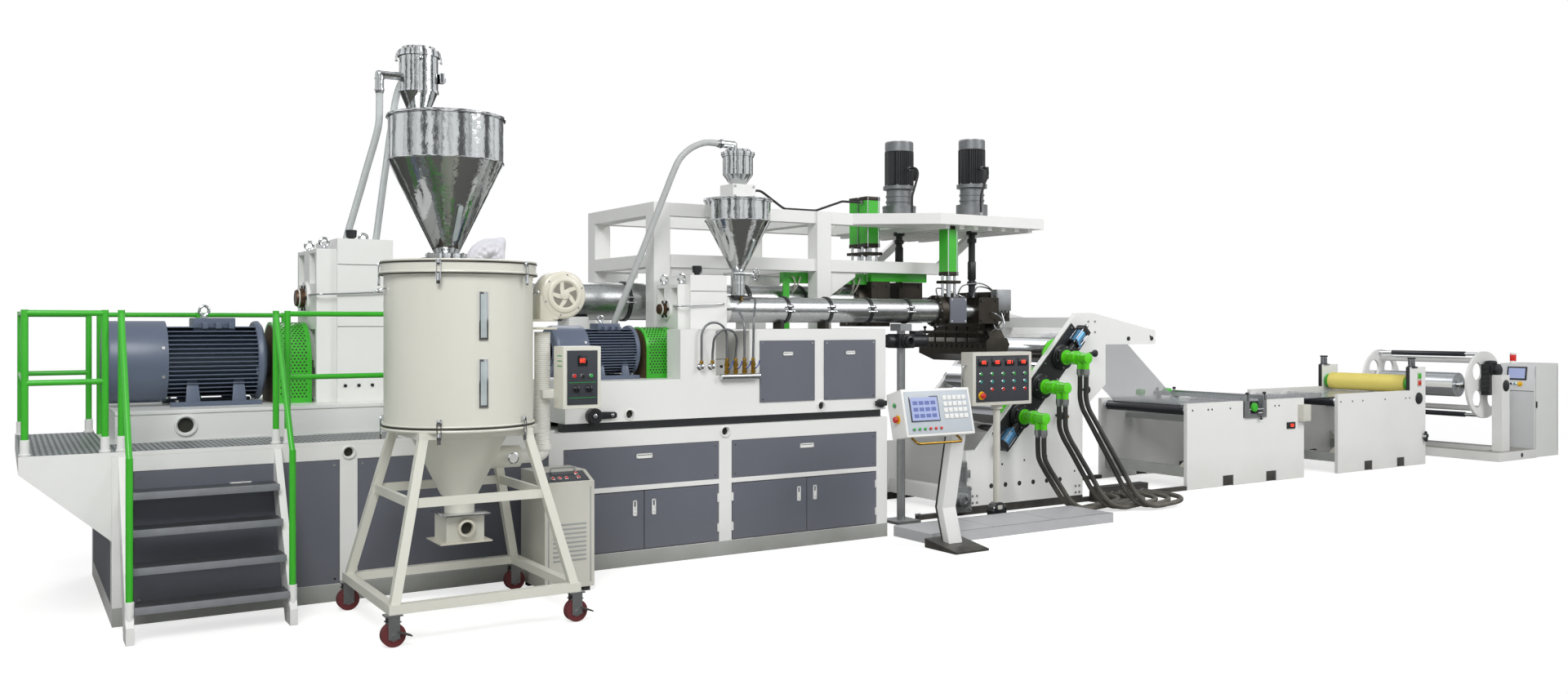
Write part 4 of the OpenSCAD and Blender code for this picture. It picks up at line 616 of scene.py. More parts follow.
def foot_motor(name, node, x0, x1, y, z, r, floor):
    """A foot-mounted motor: fan cowl with a grille, finned frame, end bell, feet, terminal box."""
    span = x1 - x0
    cowl = x0 + 0.36 * span
    bell = x1 - 0.10 * span
    bm = bmesh.new()
    turned(bm, (x0, y, z), RIGHT, [(0.012, 0.62 * r), (0.004, 0.64 * r), (0, 0.9 * r), (0.010, 0.965 * r),
                                   (0.03, r), (cowl - x0, r), (cowl - x0, 0.93 * r),
                                   (cowl - x0 - 0.02, 0.93 * r)], 72)
    for k in range(6):
        ring = 0.10 + 0.088 * k
        turned(bm, (x0 + 0.002, y, z), RIGHT, [(0, r * ring), (0, r * (ring + 0.035)),
                                               (0.008, r * (ring + 0.035)), (0.008, r * ring)], 48)
    for k in range(8):
        a = math.pi * k / 8
        way = Vector((0, math.cos(a), math.sin(a)))
        middle = Vector((x0 + 0.007, y, z))
        pipe(bm, [middle - way * 0.64 * r, middle + way * 0.64 * r], 0.003, 6)
    turned(bm, (cowl - 0.02, y, z), RIGHT, [(0, 0.84 * r), (bell - cowl + 0.03, 0.84 * r)], 48)
    turned(bm, (bell, y, z), RIGHT, [(0, 0.9 * r), (0, 0.97 * r), (0.012, r), (0.35 * (x1 - bell), r),
                                     (0.5 * (x1 - bell), 0.93 * r), (0.75 * (x1 - bell), 0.6 * r),
                                     (x1 - bell, 0.42 * r), (x1 - bell, 0.2 * r),
                                     (x1 - bell + 0.02, 0.2 * r)], 72)
    for side in (-1, 1):
        block(bm, (cowl + 0.01, y + side * 0.86 * r - 0.03, floor),
              (bell + 0.02, y + side * 0.86 * r + 0.03, floor + 0.028), 0.005)
        for x in (cowl + 0.10 * span, bell - 0.16 * span):
            plate(bm, [(0, 0), (0.09 * span, 0), (0.075 * span, 0.62 * r), (0.015 * span, 0.62 * r)],
                  (x, y + side * (0.86 * r) + side * 0.006, floor + 0.02), RIGHT, (0, -side * 0.22, 1),
                  0.02, 0.003)
    top = z + 0.93 * r
    block(bm, (x0 + 0.52 * span, y - 0.4 * r, top - 0.06),
          (x0 + 0.78 * span, y + 0.4 * r, top + 0.075 * r * 2), 0.01)
    for k in range(3):
        x = x0 + (0.57 + 0.08 * k) * span
        block(bm, (x, y - 0.62 * r, top - 0.12 * r), (x + 0.035 * span, y - 0.38 * r, top + 0.03 * r), 0.004)
    block(bm, (bell - 0.012, y - 0.92 * r, z - 0.35 * r), (bell + 0.03, y - 0.7 * r, z - 0.1 * r), 0.006)
    piece(name, bm, motor_paint, replaces=(node,))
    fin_stack(name + "_fins", ((cowl + bell) / 2, y, z), 0.985 * r, bell - cowl + 0.004, 17, motor_paint)
    bm = bmesh.new()
    ring_bolt(bm, x0 + 0.60 * span, y, top + 0.145 * r, 0.18 * r)
    piece(name + "_eye", bm, polished_chrome)
    angles = [math.radians(d) for d in (200, 250, 290, 340, 20, 160)]
    spots = [((cowl - 0.03, y + r * math.cos(a), z + r * math.sin(a)), (0, math.cos(a), math.sin(a)))
             for a in angles]
    spots += [((x, y + s * 0.86 * r, floor + 0.034), UP) for x in (cowl + 0.05, bell - 0.03) for s in (-1, 1)]
    heads(name + "_bolts", spots, 0.011, 0.014, zinc)


bed_top, main_shaft_z, main_z = 1.16, 1.44, 1.856
co_top, co_shaft_z, co_y, co_z = 1.284, 1.484, -0.58, 1.79
foot_motor("main_motor_case", "main_motor", -2.675, -1.705, 0, main_shaft_z, 0.26, bed_top)

# painted shade: matt dark stand-ins for insides that lie in shade, which take no highlight;
# the coupling guard's brown inside is darkened the same way
shade_in = surface("shadowed steel", "#22251f", "#2c2a20", 0.7)
guard_mouth_shade = surface("painted shade inside the guard", "#5f4f30", "#4a3d24", 0.7, patch_mm=30)
# painted shade: dark discs for the shaded insides of the round lifting holes in the bed, the base and
# the co-extruder's base
bm = bmesh.new()
for x, y, z, r in ((-2.265, -0.53, 1.065, 0.0448), (-1.4257, -1.035, 0.9, 0.0278),
                   (1.2208, -1.035, 0.9, 0.0278), (0.485, -0.982, 1.05, 0.0278),
                   (2.105, -0.982, 1.05, 0.0278)):
    turned(bm, (x, y, z), FRONT, [(0, r), (0.002, r)], 32)
piece("opening_shades", bm, shade_in)


def arch_guard(name, x0, x1, y, r, low, z):
    """A perforated sheet arch over a coupling, with a rolled lip at each end; its holes and open end are
    painted shade.
    """
    half_circle = [math.pi * k / 32 for k in range(33)]
    ring = [(y - r, low)] + [(y - r * math.cos(a), z + r * math.sin(a)) for a in half_circle] + [(y + r, low)]
    bm = bmesh.new()
    for a, b, out in ((x0 + 0.004, x1 - 0.004, 0.0), (x0, x0 + 0.012, 0.004), (x1 - 0.012, x1, 0.004)):
        grow = (r + out) / r
        arch = [(y + (p - y) * grow, q if q == low else z + (q - z) * grow) for p, q in ring]
        rows = [[bm.verts.new((x, p, q)) for p, q in arch] for x in (a, b)]
        for k in range(len(ring) - 1):
            bm.faces.new((rows[0][k], rows[0][k + 1], rows[1][k + 1], rows[1][k]))
        for row in rows:
            bm.faces.new(row)
    piece(name, bm, green_enamel, replaces=["coupling_guards"], angle=25)
    # painted shade: a flat sheet across the open end stands for the guard's shaded inside
    bm = bmesh.new()
    inner = [(y + 0.96 * (p - y), low + 0.97 * (q - low)) for p, q in ring]
    plate(bm, inner, (x0 + 0.002, 0, 0), BACK, UP, 0.003, 0)
    piece(name + "_mouth", bm, guard_mouth_shade)
    pitch = 0.024
    spots = []
    straight = z - low
    total = 2 * straight + math.pi * r
    rows = int(total / (pitch * 0.866)) - 1
    for i in range(1, rows):
        s = i * pitch * 0.866 + 0.02
        if s < straight:
            p, way = (y - r, low + s), FRONT
        elif s < straight + math.pi * r:
            a = (s - straight) / r
            p, way = (y - r * math.cos(a), z + r * math.sin(a)), Vector((0, -math.cos(a), math.sin(a)))
        else:
            p, way = (y + r, z - (s - straight - math.pi * r)), BACK
        across = int((x1 - x0 - 0.05) / pitch)
        for j in range(across):
            x = x0 + 0.03 + (j + 0.5 * (i % 2)) * pitch
            spots.append(((x, p[0], p[1]), way))
    # painted shade: each hole is a dark disc half sunk in the sheet
    heads(name + "_holes", spots, 0.0065, 0.0024, shade_in, 8)


arch_guard("main_coupling_guard", -1.695, -1.475, 0, 0.2496, bed_top, main_shaft_z)
arch_guard("co_coupling_guard", 0.74, 0.975, co_y, 0.1702, co_top, co_shaft_z)


def gear_case_trim(name, x0, x1, y, half, low, top, axis_z, wall, end_r):
    """What is fixed to a gear case: machined joint lines, bolts, breather, eyes, oil pipe, screw end."""
    seams = bmesh.new()
    for part in (0.84, 0.46, 0.17):
        z = low + part * (top - low)
        block(seams, (x0 + wall, y - half - 0.0012, z), (x1 + 0.0012, y - half + 0.002, z + 0.004), 0.0005)
        block(seams, (x1 - 0.002, y - half, z), (x1 + 0.0012, y + half, z + 0.004), 0.0005)
    piece(name + "_joints", seams, shade_in)
    bm = bmesh.new()
    turned(bm, (x0 - 0.075, y, axis_z), RIGHT, [(0, 0.25 * end_r), (0, 0.8 * end_r), (0.006, 0.86 * end_r),
                                                (0.02, 0.86 * end_r), (0.022, end_r * 1.02),
                                                (0.06, end_r * 1.02), (0.062, 1.35 * end_r),
                                                (0.078, 1.35 * end_r)], 40)
    piece(name + "_screw_end", bm, bronze)
    bm = bmesh.new()
    turned(bm, (x0 + 0.55 * (x1 - x0), y - 0.3 * half, top), UP,
           [(0, 0.022), (0.02, 0.022), (0.024, 0.034), (0.07, 0.038), (0.075, 0.034)], 28)
    piece(name + "_breather", bm, black_paint)
    bm = bmesh.new()
    for x, s in ((x0 + 0.5 * wall, -0.7), (x1 - 0.06, 0.7), (x0 + 0.5 * wall, 0.7)):
        ring_bolt(bm, x, y + s * half, top - (0.07 if x < x0 + wall else 0), 0.045)
    piece(name + "_eyes", bm, polished_chrome)
    bm = bmesh.new()
    route = smooth_route([(x0 - 0.01, y - 0.12, axis_z + 0.02),
                          (x0 - 0.01, y - half - 0.005, axis_z + 0.02),
                          (x0 + wall, y - half - 0.018, axis_z + 0.025),
                          (x1 - 0.06, y - half - 0.018, axis_z + 0.04),
                          (x1 - 0.03, y - half + 0.004, axis_z + 0.04)], 6)
    pipe(bm, route, 0.006, 10)
    piece(name + "_oil_pipe", bm, zinc)
    bolt_xs = [x0 + wall + 0.05 + k * (x1 - x0 - wall - 0.1) / 3 for k in range(4)]
    spots = on_front(bolt_xs, y - half, [low + 0.10 * (top - low)])
    spots += ring_of_bolts((x0 - 0.02, y, axis_z), LEFT, 1.3175 * end_r, turns(6))
    heads(name + "_bolts", spots, 0.012, 0.016, black_paint)


gear_case_trim("main_gear", -1.455, -0.965, 0, 0.33, bed_top, 2.25, main_z, 0.127, 0.065)
gear_case_trim("co_gear", 0.995, 1.395, co_y, 0.20, co_top, 2.043, co_z, 0.09, 0.045)
bm = bmesh.new()
turned(bm, (-2.265, -0.551, 1.065), FRONT,
       [(0, 0.066), (0.012, 0.064), (0.014, 0.054), (0.001, 0.047)], 40, False)
block(bm, (-2.645, -0.556, 1.138), (-0.095, -0.548, 1.161), 0.002)
for x0, x1 in ((-2.40, -1.80), (-1.55, -1.05)):
    block(bm, (x0, -0.553, 0.975), (x1, -0.549, 0.979), 0.001)
piece("bed_trim", bm, white_enamel)

# Main barrel, hopper and receiver
# Brushed stainless shells over the heater bands, held by black straps with paired clamp screws;
# a polished hopper with a sight glass bolted on the feed block, and a vacuum receiver on its lid.

# stainless sheet brushed along the barrel: fine lines that spread the highlights round it
brushed_shell = surface("brushed stainless shell", "#bfc1c1", "#a6a8a8", 0.3, 1.0, patch_mm=150,
                        grain_mm=1.2, grain=0.06, stretch=(0.04, 1, 1), spread=0.1)
# mirror polish with the slight waves of rolled sheet
mirror_steel = surface("mirror polished stainless", "#d3d5d5", "#c2c4c4", 0.09, 1.0, patch_mm=260,
                       grain_mm=55, spread=0.05)
# tool steel browned by heat
dark_steel = surface("browned tool steel", "#35332f", "#4a443c", 0.42, 0.8, patch_mm=50, grain_mm=1.2,
                     grain=0.1, soft_edge_mm=2)
# thick glass over a dim inside, drawn as a pale glossy pane
glass = surface("sight glass", "#c6cfcf", "#9fa9aa", 0.06, grain_mm=20, grain=0.0, coat=1.0)
main_r, co_r = 0.147, 0.10
hopper_x, receiver_x, co_hopper_x = -0.495, -0.695, 1.608


def from_axis(c, y, z):
    """Distance of a point from an axis that runs along the line."""
    return math.hypot(c.y - y, c.z - z)


def main_barrel_part(c, n):
    """The finish of a barrel face: dark flanges, white foot, black straps, bright shells."""
    away = from_axis(c, 0, main_z)
    if c.x < -0.27 and away > 0.15 or c.x > 3.06:
        return 2
    if c.z < 1.70:
        return 3
    return int(away > main_r + 0.003)


dress_faces("main_barrel", [brushed_shell, black_paint, dark_steel, white_enamel], main_barrel_part)
dress(mirror_steel, "main_hopper", "co_hopper")
dress_faces("vacuum_receivers", [mirror_steel, white_enamel],
            lambda c, n: int(c.x > 1 and 2.64 < c.z < 2.7551 and abs(c.x - co_hopper_x) < 0.1001))


def band(inner, outer, long, edge):
    """Profile of a ring whose both sides slope down to what it goes round."""
    return [(0, inner), (edge, outer), (long - edge, outer), (long, inner)]


def strap_clamps(name, bands, y, z, r):
    """Two lugs and two clamp screws on the front of each strap."""
    bm = bmesh.new()
    front = y - r
    for x in bands:
        for dz in (0.020, -0.020):
            for dx in (-0.026, 0.026):
                block(bm, (x + dx - 0.008, front - 0.016, z + dz - 0.011),
                      (x + dx + 0.008, front + 0.01, z + dz + 0.011), 0.003)
            pipe(bm, [(x - 0.042, front - 0.008, z + dz), (x + 0.042, front - 0.008, z + dz)], 0.004, 8)
    piece(name, bm, polished_chrome)


main_bands = [0.362, 0.903, 1.445, 1.987, 2.528]
co_bands = [2.025, 2.431, 2.836, 3.242]
strap_clamps("main_strap_clamps", main_bands, 0, main_z + 0.01, main_r)
strap_clamps("co_strap_clamps", co_bands, co_y, co_z + 0.01, co_r)


def oblong(half, length, steps=8):
    """Outline of a slot with round ends, standing up from its lower end."""
    low = [(half * math.cos(a), half + half * math.sin(a))
           for a in [math.pi + math.pi * k / steps for k in range(steps + 1)]]
    high = [(half * math.cos(a), length - half + half * math.sin(a))
            for a in [math.pi * k / steps for k in range(steps + 1)]]
    return low + high


def cone_window(name, x, y, low, high, z0, z1, turn, half):
    """A framed slot of glass lying on a hopper's cone, given by (height, radius) at two levels."""
    slope = (high[1] - low[1]) / (high[0] - low[0])
    radius = low[1] + slope * (z0 - low[0])
    out = Vector((math.cos(turn), math.sin(turn), 0))
    along = Vector((-math.sin(turn), math.cos(turn), 0))
    up = Vector((out.x * slope, out.y * slope, 1)).normalized()
    start = Vector((x, y, z0)) + out * radius
    facing = along.cross(up)
    length = (z1 - z0) / up.z
    bm = bmesh.new()
    plate(bm, oblong(half, length), start + facing * 0.012, along, up, 0.02, 0.003)
    piece(name + "_frame", bm, polished_chrome)
    bm = bmesh.new()
    inner = [(a, b + 0.25 * half) for a, b in oblong(0.68 * half, length - 0.5 * half)]
    plate(bm, inner, start + facing * 0.0135, along, up, 0.008, 0.001)
    piece(name + "_glass", bm, glass)


cone_window("main_sight", hopper_x, 0, (2.186, 0.085), (2.846, 0.405), 2.27, 2.53, math.radians(-84), 0.026)
cone_window("co_sight", co_hopper_x, co_y, (2.082, 0.045), (2.475, 0.255), 2.17, 2.33,
            math.radians(-76), 0.016)

# rolled seams, the receiver's toggle latches and level switch, mouth flanges with their bolts, and the
# slide plate with a small hand wheel under the co-extruder's hopper
bm = bmesh.new()
for x, y, z, r, out, half, sides in ((hopper_x, 0, 2.846, 0.405, 0.006, 0.006, 72),
                                     (hopper_x, 0, 3.160, 0.415, 0.006, 0.006, 72),
                                     (co_hopper_x, co_y, 2.475, 0.255, 0.005, 0.005, 64),
                                     (co_hopper_x, co_y, 2.635, 0.265, 0.005, 0.005, 64)):
    seam = [(0, r - 0.004), (0.001, r + out - 0.002), (half, r + out), (2 * half - 0.001, r + out - 0.002),
            (2 * half, r - 0.004)]
    turned(bm, (x, y, z - half), UP, seam, sides)
for z, r in ((3.336, 0.135), (3.590, 0.143)):
    turned(bm, (receiver_x, 0, z - 0.008), UP, band(r - 0.004, r + 0.005, 0.016, 0.001), 56)
turned(bm, (co_hopper_x, co_y, 2.988), UP, band(0.118, 0.132, 0.021, 0.001), 56)
for z in (3.32, 3.40):
    turned(bm, (-0.97, 0, z), UP, band(0.029, 0.034, 0.014, 0.001), 32)
turned(bm, (1.448, co_y, 3.065), RIGHT, band(0.029, 0.036, 0.021, 0.001), 32)
piece("hopper_seams", bm, polished_chrome)
bm = bmesh.new()
for turn in (-100, -10, 80, 170):
    out = Vector((math.cos(math.radians(turn)), math.sin(math.radians(turn)), 0))
    p = RIGHT * receiver_x + out * 0.146
    pipe(bm, [p + UP * 3.545, p + out * 0.012 + UP * 3.575, p + UP * 3.628], 0.005, 8)
    turned(bm, p + UP * 3.555, out, stud(0.012, 0.014, 0.009), 14)
block(bm, (-0.570, -0.10, 3.40), (-0.535, -0.04, 3.47), 0.004)
block(bm, (-0.556, -0.092, 3.412), (-0.525, -0.048, 3.458), 0.004)
for x, r, y, z in ((hopper_x, 0.125, 0, 2.166), (co_hopper_x, 0.048, co_y, 1.99)):
    turned(bm, (x, y, z), UP, stud(r * 1.18, 0.014, r), 40)
block(bm, (1.52, co_y - 0.075, 2.055), (1.70, co_y + 0.075, 2.075), 0.004)
turned(bm, (1.70, co_y, 2.065), RIGHT, stud(0.012, 0.06, 0.009), 16)
wheel = (1.775, co_y, 2.065)
hoop(bm, wheel, RIGHT, 0.045, 0.006, 8)
for rim_point in circle(wheel, RIGHT, 0.045, turns(3, 0.5)):
    pipe(bm, [(1.765, co_y, 2.065), rim_point], 0.004, 8)
piece("hopper_fittings", bm, polished_chrome)
spots = ring_of_bolts((hopper_x, 0, 2.186), UP, 0.128, turns(8))
spots += ring_of_bolts((3.066, 0, main_z), LEFT, 0.175, turns(12))
spots += ring_of_bolts((3.566, co_y, co_z), LEFT, 0.122, turns(10))
spots += on_front((1.525, 1.69), co_y - 0.1, (2.662, 2.738))
heads("hopper_bolts", spots, 0.010, 0.014, zinc)

# Co-extruder
# A white welded carriage on black rails with the screws and pulls of two slate inspection covers, whose
# plates are not drawn; its own finned motor, guard and gear case, a strapped barrel, a cooling manifold with
# braided hoses, and a jack at the head.

dress(black_paint, "co_rails")
# painted shade: the faces set back behind the carriage's front, in one patch, take the dark shade finish
dress_faces("co_base", [white_enamel, shade_in],
            lambda c, n: int(1.18 < c.x < 1.456 and 1.31 < c.z < 1.62 and c.y > -0.98))


def co_barrel_part(c, n):
    """The finish of a barrel face: white feed block, dark flange and saddles, straps, shells."""
    away = from_axis(c, co_y, co_z)
    if c.x < 1.4851 and away > 0.03:
        return 2
    if c.x > 3.56 or c.z < 1.68 or c.x < 1.69 and c.z > 1.89:
        return 3
    return int(away > co_r + 0.003)


dress_faces("co_barrel", [brushed_shell, black_paint, white_enamel, dark_steel], co_barrel_part)
foot_motor("co_motor_case", "co_motor", 0.045, 0.725, co_y, co_shaft_z, 0.185, co_top)

co_front = -1.0
screw_spots = []
pulls = bmesh.new()
for x0, x1 in ((1.55, 2.04), (2.13, 2.62)):
    screw_spots += on_front((x0 + 0.022, x1 - 0.022), co_front - 0.008, (1.117, 1.533))
    flush_pull(pulls, (x0 + x1) / 2, co_front - 0.008, 1.455, 0.045, 0.014)
piece("co_cover_pulls", pulls, white_enamel)
heads("co_cover_screws", screw_spots, 0.006, 0.007, polished_chrome, 12)

# lifting collars, the black roller with its link at the carriage's left end and a stop at its right end
bm = bmesh.new()
for x in (0.485, 2.105):
    turned(bm, (x, co_front + 0.001, 1.05), FRONT,
           [(0, 0.040), (0.010, 0.038), (0.012, 0.031), (0.001, 0.0285)], 36, False)
piece("co_collars", bm, white_enamel)
bm = bmesh.new()
turned(bm, (0.205, co_front, 1.05), FRONT, [(0, 0.050), (0.004, 0.055), (0.046, 0.055), (0.05, 0.050),
                                            (0.05, 0.024), (0.042, 0.022)], 40)
link = [(0.0, -0.028), (0.15, -0.022), (0.165, -0.012), (0.165, 0.012), (0.15, 0.022), (0.0, 0.028)]
plate(bm, link, (0.215, co_front - 0.022, 1.05), RIGHT, UP, 0.016, 0.003)
turned(bm, (2.665, co_front, 1.05), FRONT, stud(0.034, 0.03, 0.030), 32)
block(bm, (2.62, co_front - 0.03, 1.03), (2.72, co_front, 1.07), 0.004)
piece("co_rollers", bm, black_paint)
bm = bmesh.new()
turned(bm, (0.205, co_front - 0.045, 1.05), FRONT, stud(0.018, 0.008, 0.014), 6)
turned(bm, (0.345, co_front - 0.02, 1.05), FRONT, stud(0.012, 0.010, 0.009), 16)
piece("co_roller_nuts", bm, zinc)

# turned brass with a warm gleam, and handles dipped in soft satin plastic
brass = surface("turned brass", "#b8923f", "#9c7a33", 0.28, 1.0, patch_mm=20, grain_mm=0.8, grain=0.06)
blue_grip = surface("blue dipped handles", "#2b4f9c", "#24448a", 0.4, patch_mm=20)
manifold_y = -1.03
dress_faces("co_manifold", [zinc, brass], lambda c, n: int(c.z > 1.322 and c.x > 1.2 and c.y < -1.005))
bm = bmesh.new()
grips = bmesh.new()
for k in range(4):
    x = 1.25 + 0.075 * k
    for z in (1.322, 1.372):
        turned(bm, (x, manifold_y, z), UP, band(0.0155, 0.0185, 0.017, 0.001), 6)
    turned(bm, (x, -1.044, 1.355), FRONT, stud(0.010, 0.012, 0.006, 0.001), 12)
    handle = smooth_route([(x, -1.056, 1.355), (x + 0.012, -1.060, 1.360), (x + 0.030, -1.060, 1.385),
                           (x + 0.036, -1.060, 1.41)], 4)
    pipe(grips, handle, 0.005, 8)
piece("valve_collars", bm, brass)
piece("valve_grips", grips, blue_grip)
bm = bmesh.new()
for x in (1.205, 1.525):
    turned(bm, (x - 0.004, manifold_y, 1.294), RIGHT, band(0.018, 0.0235, 0.008, 0.002), 24)
for x in (1.04, 1.13):
    turned(bm, (x, co_front, 1.37), FRONT, [(0, 0.024), (0.006, 0.024), (0.008, 0.016), (0.045, 0.0155),
                                        (0.047, 0.012)], 24)
piece("hose_elbows", bm, polished_chrome)

# the jack: a plated post with a black worm box and a motor across it
dress_faces("barrel_jack", [zinc, black_paint], lambda c, n: int(1.47 < c.z < 1.6))
bm = bmesh.new()
jack_z = 1.534
turned(bm, (3.061, co_y, jack_z), RIGHT, [(-0.012, 0.03), (-0.010, 0.05), (0, 0.0555), (0.03, 0.0555),
                                          (0.032, 0.05)], 32)
turned(bm, (3.211, co_y - 0.08, jack_z), FRONT, [(0, 0.062), (0.014, 0.060), (0.016, 0.045), (0.05, 0.042),
                                                 (0.054, 0.030), (0.02, 0.028)], 40)
turned(bm, (3.30, co_y, jack_z), RIGHT, [(0, 0.05), (0.004, 0.059), (0.03, 0.059), (0.034, 0.0555)], 32)
turned(bm, (3.445, co_y, jack_z), RIGHT, [(0, 0.056), (0.004, 0.060), (0.024, 0.058), (0.03, 0.045)], 32)
block(bm, (3.33, co_y - 0.04, jack_z + 0.045), (3.42, co_y + 0.04, jack_z + 0.085), 0.005)
piece("jack_motor", bm, black_paint)

# Gantry, pump drives and screen cylinders
# A white box-section frame that carries two vertical gear motors on a plate; cardan shafts reach down
# to the melt pumps, and green hydraulic cylinders push the screen changers' plates.

# bare cast iron: dull metal with a coarse sandy grain
casting = surface("grey gear casting", "#8b8e90", "#77797b", 0.45, 0.7, patch_mm=40, grain_mm=2.5, grain=0.15)
dress(white_enamel, "gantry")
plate_top = 2.62
dress_faces("pump_drives", [black_paint, casting, zinc],
            lambda c, n: 2 if c.z > plate_top + 0.616 else int(-0.001 < c.z - plate_top < 0.298))
black_fit = bmesh.new()
silver_fit = bmesh.new()
ring_fit = bmesh.new()
for k, (x, y, r, foot) in enumerate(((3.645, 0, 0.12, 2.046), (4.115, -0.45, 0.11, 1.91))):
    fin_stack(f"pump_{k + 1}_fins", (x, y, plate_top + 0.46), 1.07 * r, 0.30, 15, black_paint,
              (0, math.pi / 2, 0))
    turned(silver_fit, (x, y, plate_top + 0.61), UP,
           [(0, r), (0.002, 1.07 * r), (0.08, 1.07 * r), (0.09, 0.98 * r), (0.092, 0.75 * r),
            (0.088, 0.72 * r)], 48)
    for ring in (0.2, 0.4, 0.6):
        turned(ring_fit, (x, y, plate_top + 0.695), UP,
               [(0, (ring - 0.05) * r), (0.006, (ring - 0.05) * r), (0.006, (ring + 0.05) * r),
                (0, (ring + 0.05) * r)], 32)
    for z, wide in ((0.10, 1.27), (0.15, 1.02), (0.20, 1.02)):
        turned(silver_fit, (x, y, plate_top + z), UP, band(wide * r - 0.012, wide * r, 0.018, 0.002), 48)
    block(black_fit, (x + 0.7 * r, y - 0.055, plate_top + 0.36),
          (x + 1.42 * r, y + 0.045, plate_top + 0.47), 0.008)
    for z, wide in ((foot + 0.012, 0.050), (foot + 0.11, 0.042), (2.40, 0.042), (2.47, 0.050)):
        turned(black_fit, (x, y, z), UP, band(0.028, wide, 0.04, 0.004), 28)
    turned(black_fit, (x, y, foot + 0.16), UP, band(0.03, 0.037, 0.17, 0.01), 28)
    bolts = ring_of_bolts((x, y, plate_top + 0.302), UP, r + 0.018, turns(8))
    heads(f"pump_{k + 1}_bolts", bolts, 0.008, 0.010, zinc)
piece("drive_fittings", black_fit, black_paint)
piece("drive_casings", silver_fit, casting)
piece("drive_grilles", ring_fit, zinc)

# post feet with their bolts, and the slats under the drive plate
bm = bmesh.new()
bolts = []
post_y, foot_half, inset = -0.255, 0.105, 0.088
for x in (1.081, 2.598):
    block(bm, (x - foot_half, post_y - foot_half, base_top),
          (x + foot_half, post_y + foot_half, base_top + 0.018), 0.002)
    bolts += [((x + a, post_y + b, base_top + 0.023), UP) for a in (-inset, inset) for b in (-inset, inset)]
for k in range(7):
    x = 3.60 + 0.16 * k
    block(bm, (x, -0.70, 2.496), (x + 0.05, 0.86, 2.530), 0.003)
piece("gantry_plates", bm, white_enamel)
heads("gantry_bolts", bolts, 0.012, 0.016, zinc)

dress_faces("screen_cylinders", [green_enamel, polished_chrome],
            lambda c, n: int(c.z < 2.0985 or c.x < 3.5 and c.z < 2.355))
bm = bmesh.new()
rods = bmesh.new()
for x, y, wide, z0, z1 in ((3.255, -0.075, 0.07, 2.355, 2.796), (3.255, 0.075, 0.07, 2.355, 2.796),
                           (3.735, -0.58, 0.06, 2.099, 2.528)):
    for z in (z0, z1 - 0.03):
        block(bm, (x - wide - 0.003, y - 0.058, z - 0.002), (x + wide + 0.003, y + 0.058, z + 0.032), 0.003)
    for a in (-1, 1):
        for b in (-1, 1):
            pipe(rods, [(x + a * (wide - 0.012), y + b * 0.0535, z0),
                        (x + a * (wide - 0.012), y + b * 0.0535, z1)], 0.006, 10)
    block(bm, (x - wide - 0.02, y - 0.07, z0 - 0.07), (x + wide + 0.02, y + 0.07, z0 - 0.045), 0.003)
    for a in (-1, 1):
        turned(rods, (x + a * (wide + 0.008), y, z0 - 0.3), UP, stud(0.012, 0.3, 0.009), 16)
piece("cylinder_ends", bm, dark_steel)
piece("cylinder_rods", rods, polished_chrome)

# the green cable duct with its end over the melt head, and short bent heater conduits in woven
# sleeves from the duct down to the shells
dress(green_enamel, "cable_duct")
duct_low, duct_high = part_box("cable_duct")
bm = bmesh.new()
block(bm, (duct_high.x + 0.012, -0.236, 2.047), (3.772, -0.176, 2.132), 0.004)
block(bm, (duct_high.x + 0.03, -0.239, 2.124), (3.760, -0.173, 2.136), 0.003)
piece("duct_end", bm, green_enamel)
# woven glass sleeving: off-white, rough and matt
sleeve = surface("woven glass sleeving", "#d8d6cd", "#c2beb2", 0.8, patch_mm=15, grain_mm=1.5, grain=0.3)
bm = bmesh.new()
for k in range(9):
    x = 2.36 + 0.088 * k
    lean = (0.05, -0.03, 0.07, 0.02, -0.05, 0.06, 0.0, 0.04, -0.02)[k]
    pipe(bm, smooth_route([(x, -0.182, 2.075), (x + 0.2 * lean, -0.196, 2.07),
                           (x + 0.6 * lean, -0.192, 2.03), (x + lean, -0.150, 1.965),
                           (x + 1.1 * lean, -0.118, 1.942)], 4), 0.007, 10)
piece("heater_conduits", bm, sleeve)

# Melt head and die
# Screen changers, pumps and adapters in browned steel bolted end to end, and a coat-hanger die under a
# V block, with its rows of lip bolts; a silver terminal box takes the heater leads.

dress_faces("melt_head", [dark_steel, brushed_shell],
            lambda c, n: int((3.36 < c.x < 3.51 or 3.78 < c.x < 4.30) and from_axis(c, 0, main_z) < 0.08
                             or (3.84 < c.x < 4.0 or 4.24 < c.x < 4.30) and c.y < -0.36))
dress(dark_steel, "t_die")
bolts = on_front((3.185, 3.325), -0.24, (1.69, 2.01))
bolts += on_front((3.55, 3.74), -0.17, (1.72, 2.01))
bolts += on_front((4.035, 4.205), -0.67, (1.71, 1.88))
bolts += [((4.305, y, z), LEFT) for y in (-0.46, -0.32, -0.18, -0.02, 0.10) for z in (1.74, 1.93)]
bolts += on_front((4.34, 4.47), -0.52, (1.74, 1.93))
bolts += [((4.255, -0.435 + 0.0725 * k, 1.475), LEFT) for k in range(13)]
bolts += [((4.312, -0.44 + 0.08 * k, 1.551), UP) for k in range(12)]
heads("melt_bolts", bolts, 0.013, 0.016, black_paint)
bm = bmesh.new()
block(bm, (3.642, -0.712, 1.685), (3.828, -0.699, 1.905), 0.003)
piece("screen_cover", bm, slate)
heads("screen_cover_screws", on_front((3.66, 3.81), -0.712, (1.703, 1.887)),
      0.007, 0.008, polished_chrome, 12)
bm = bmesh.new()
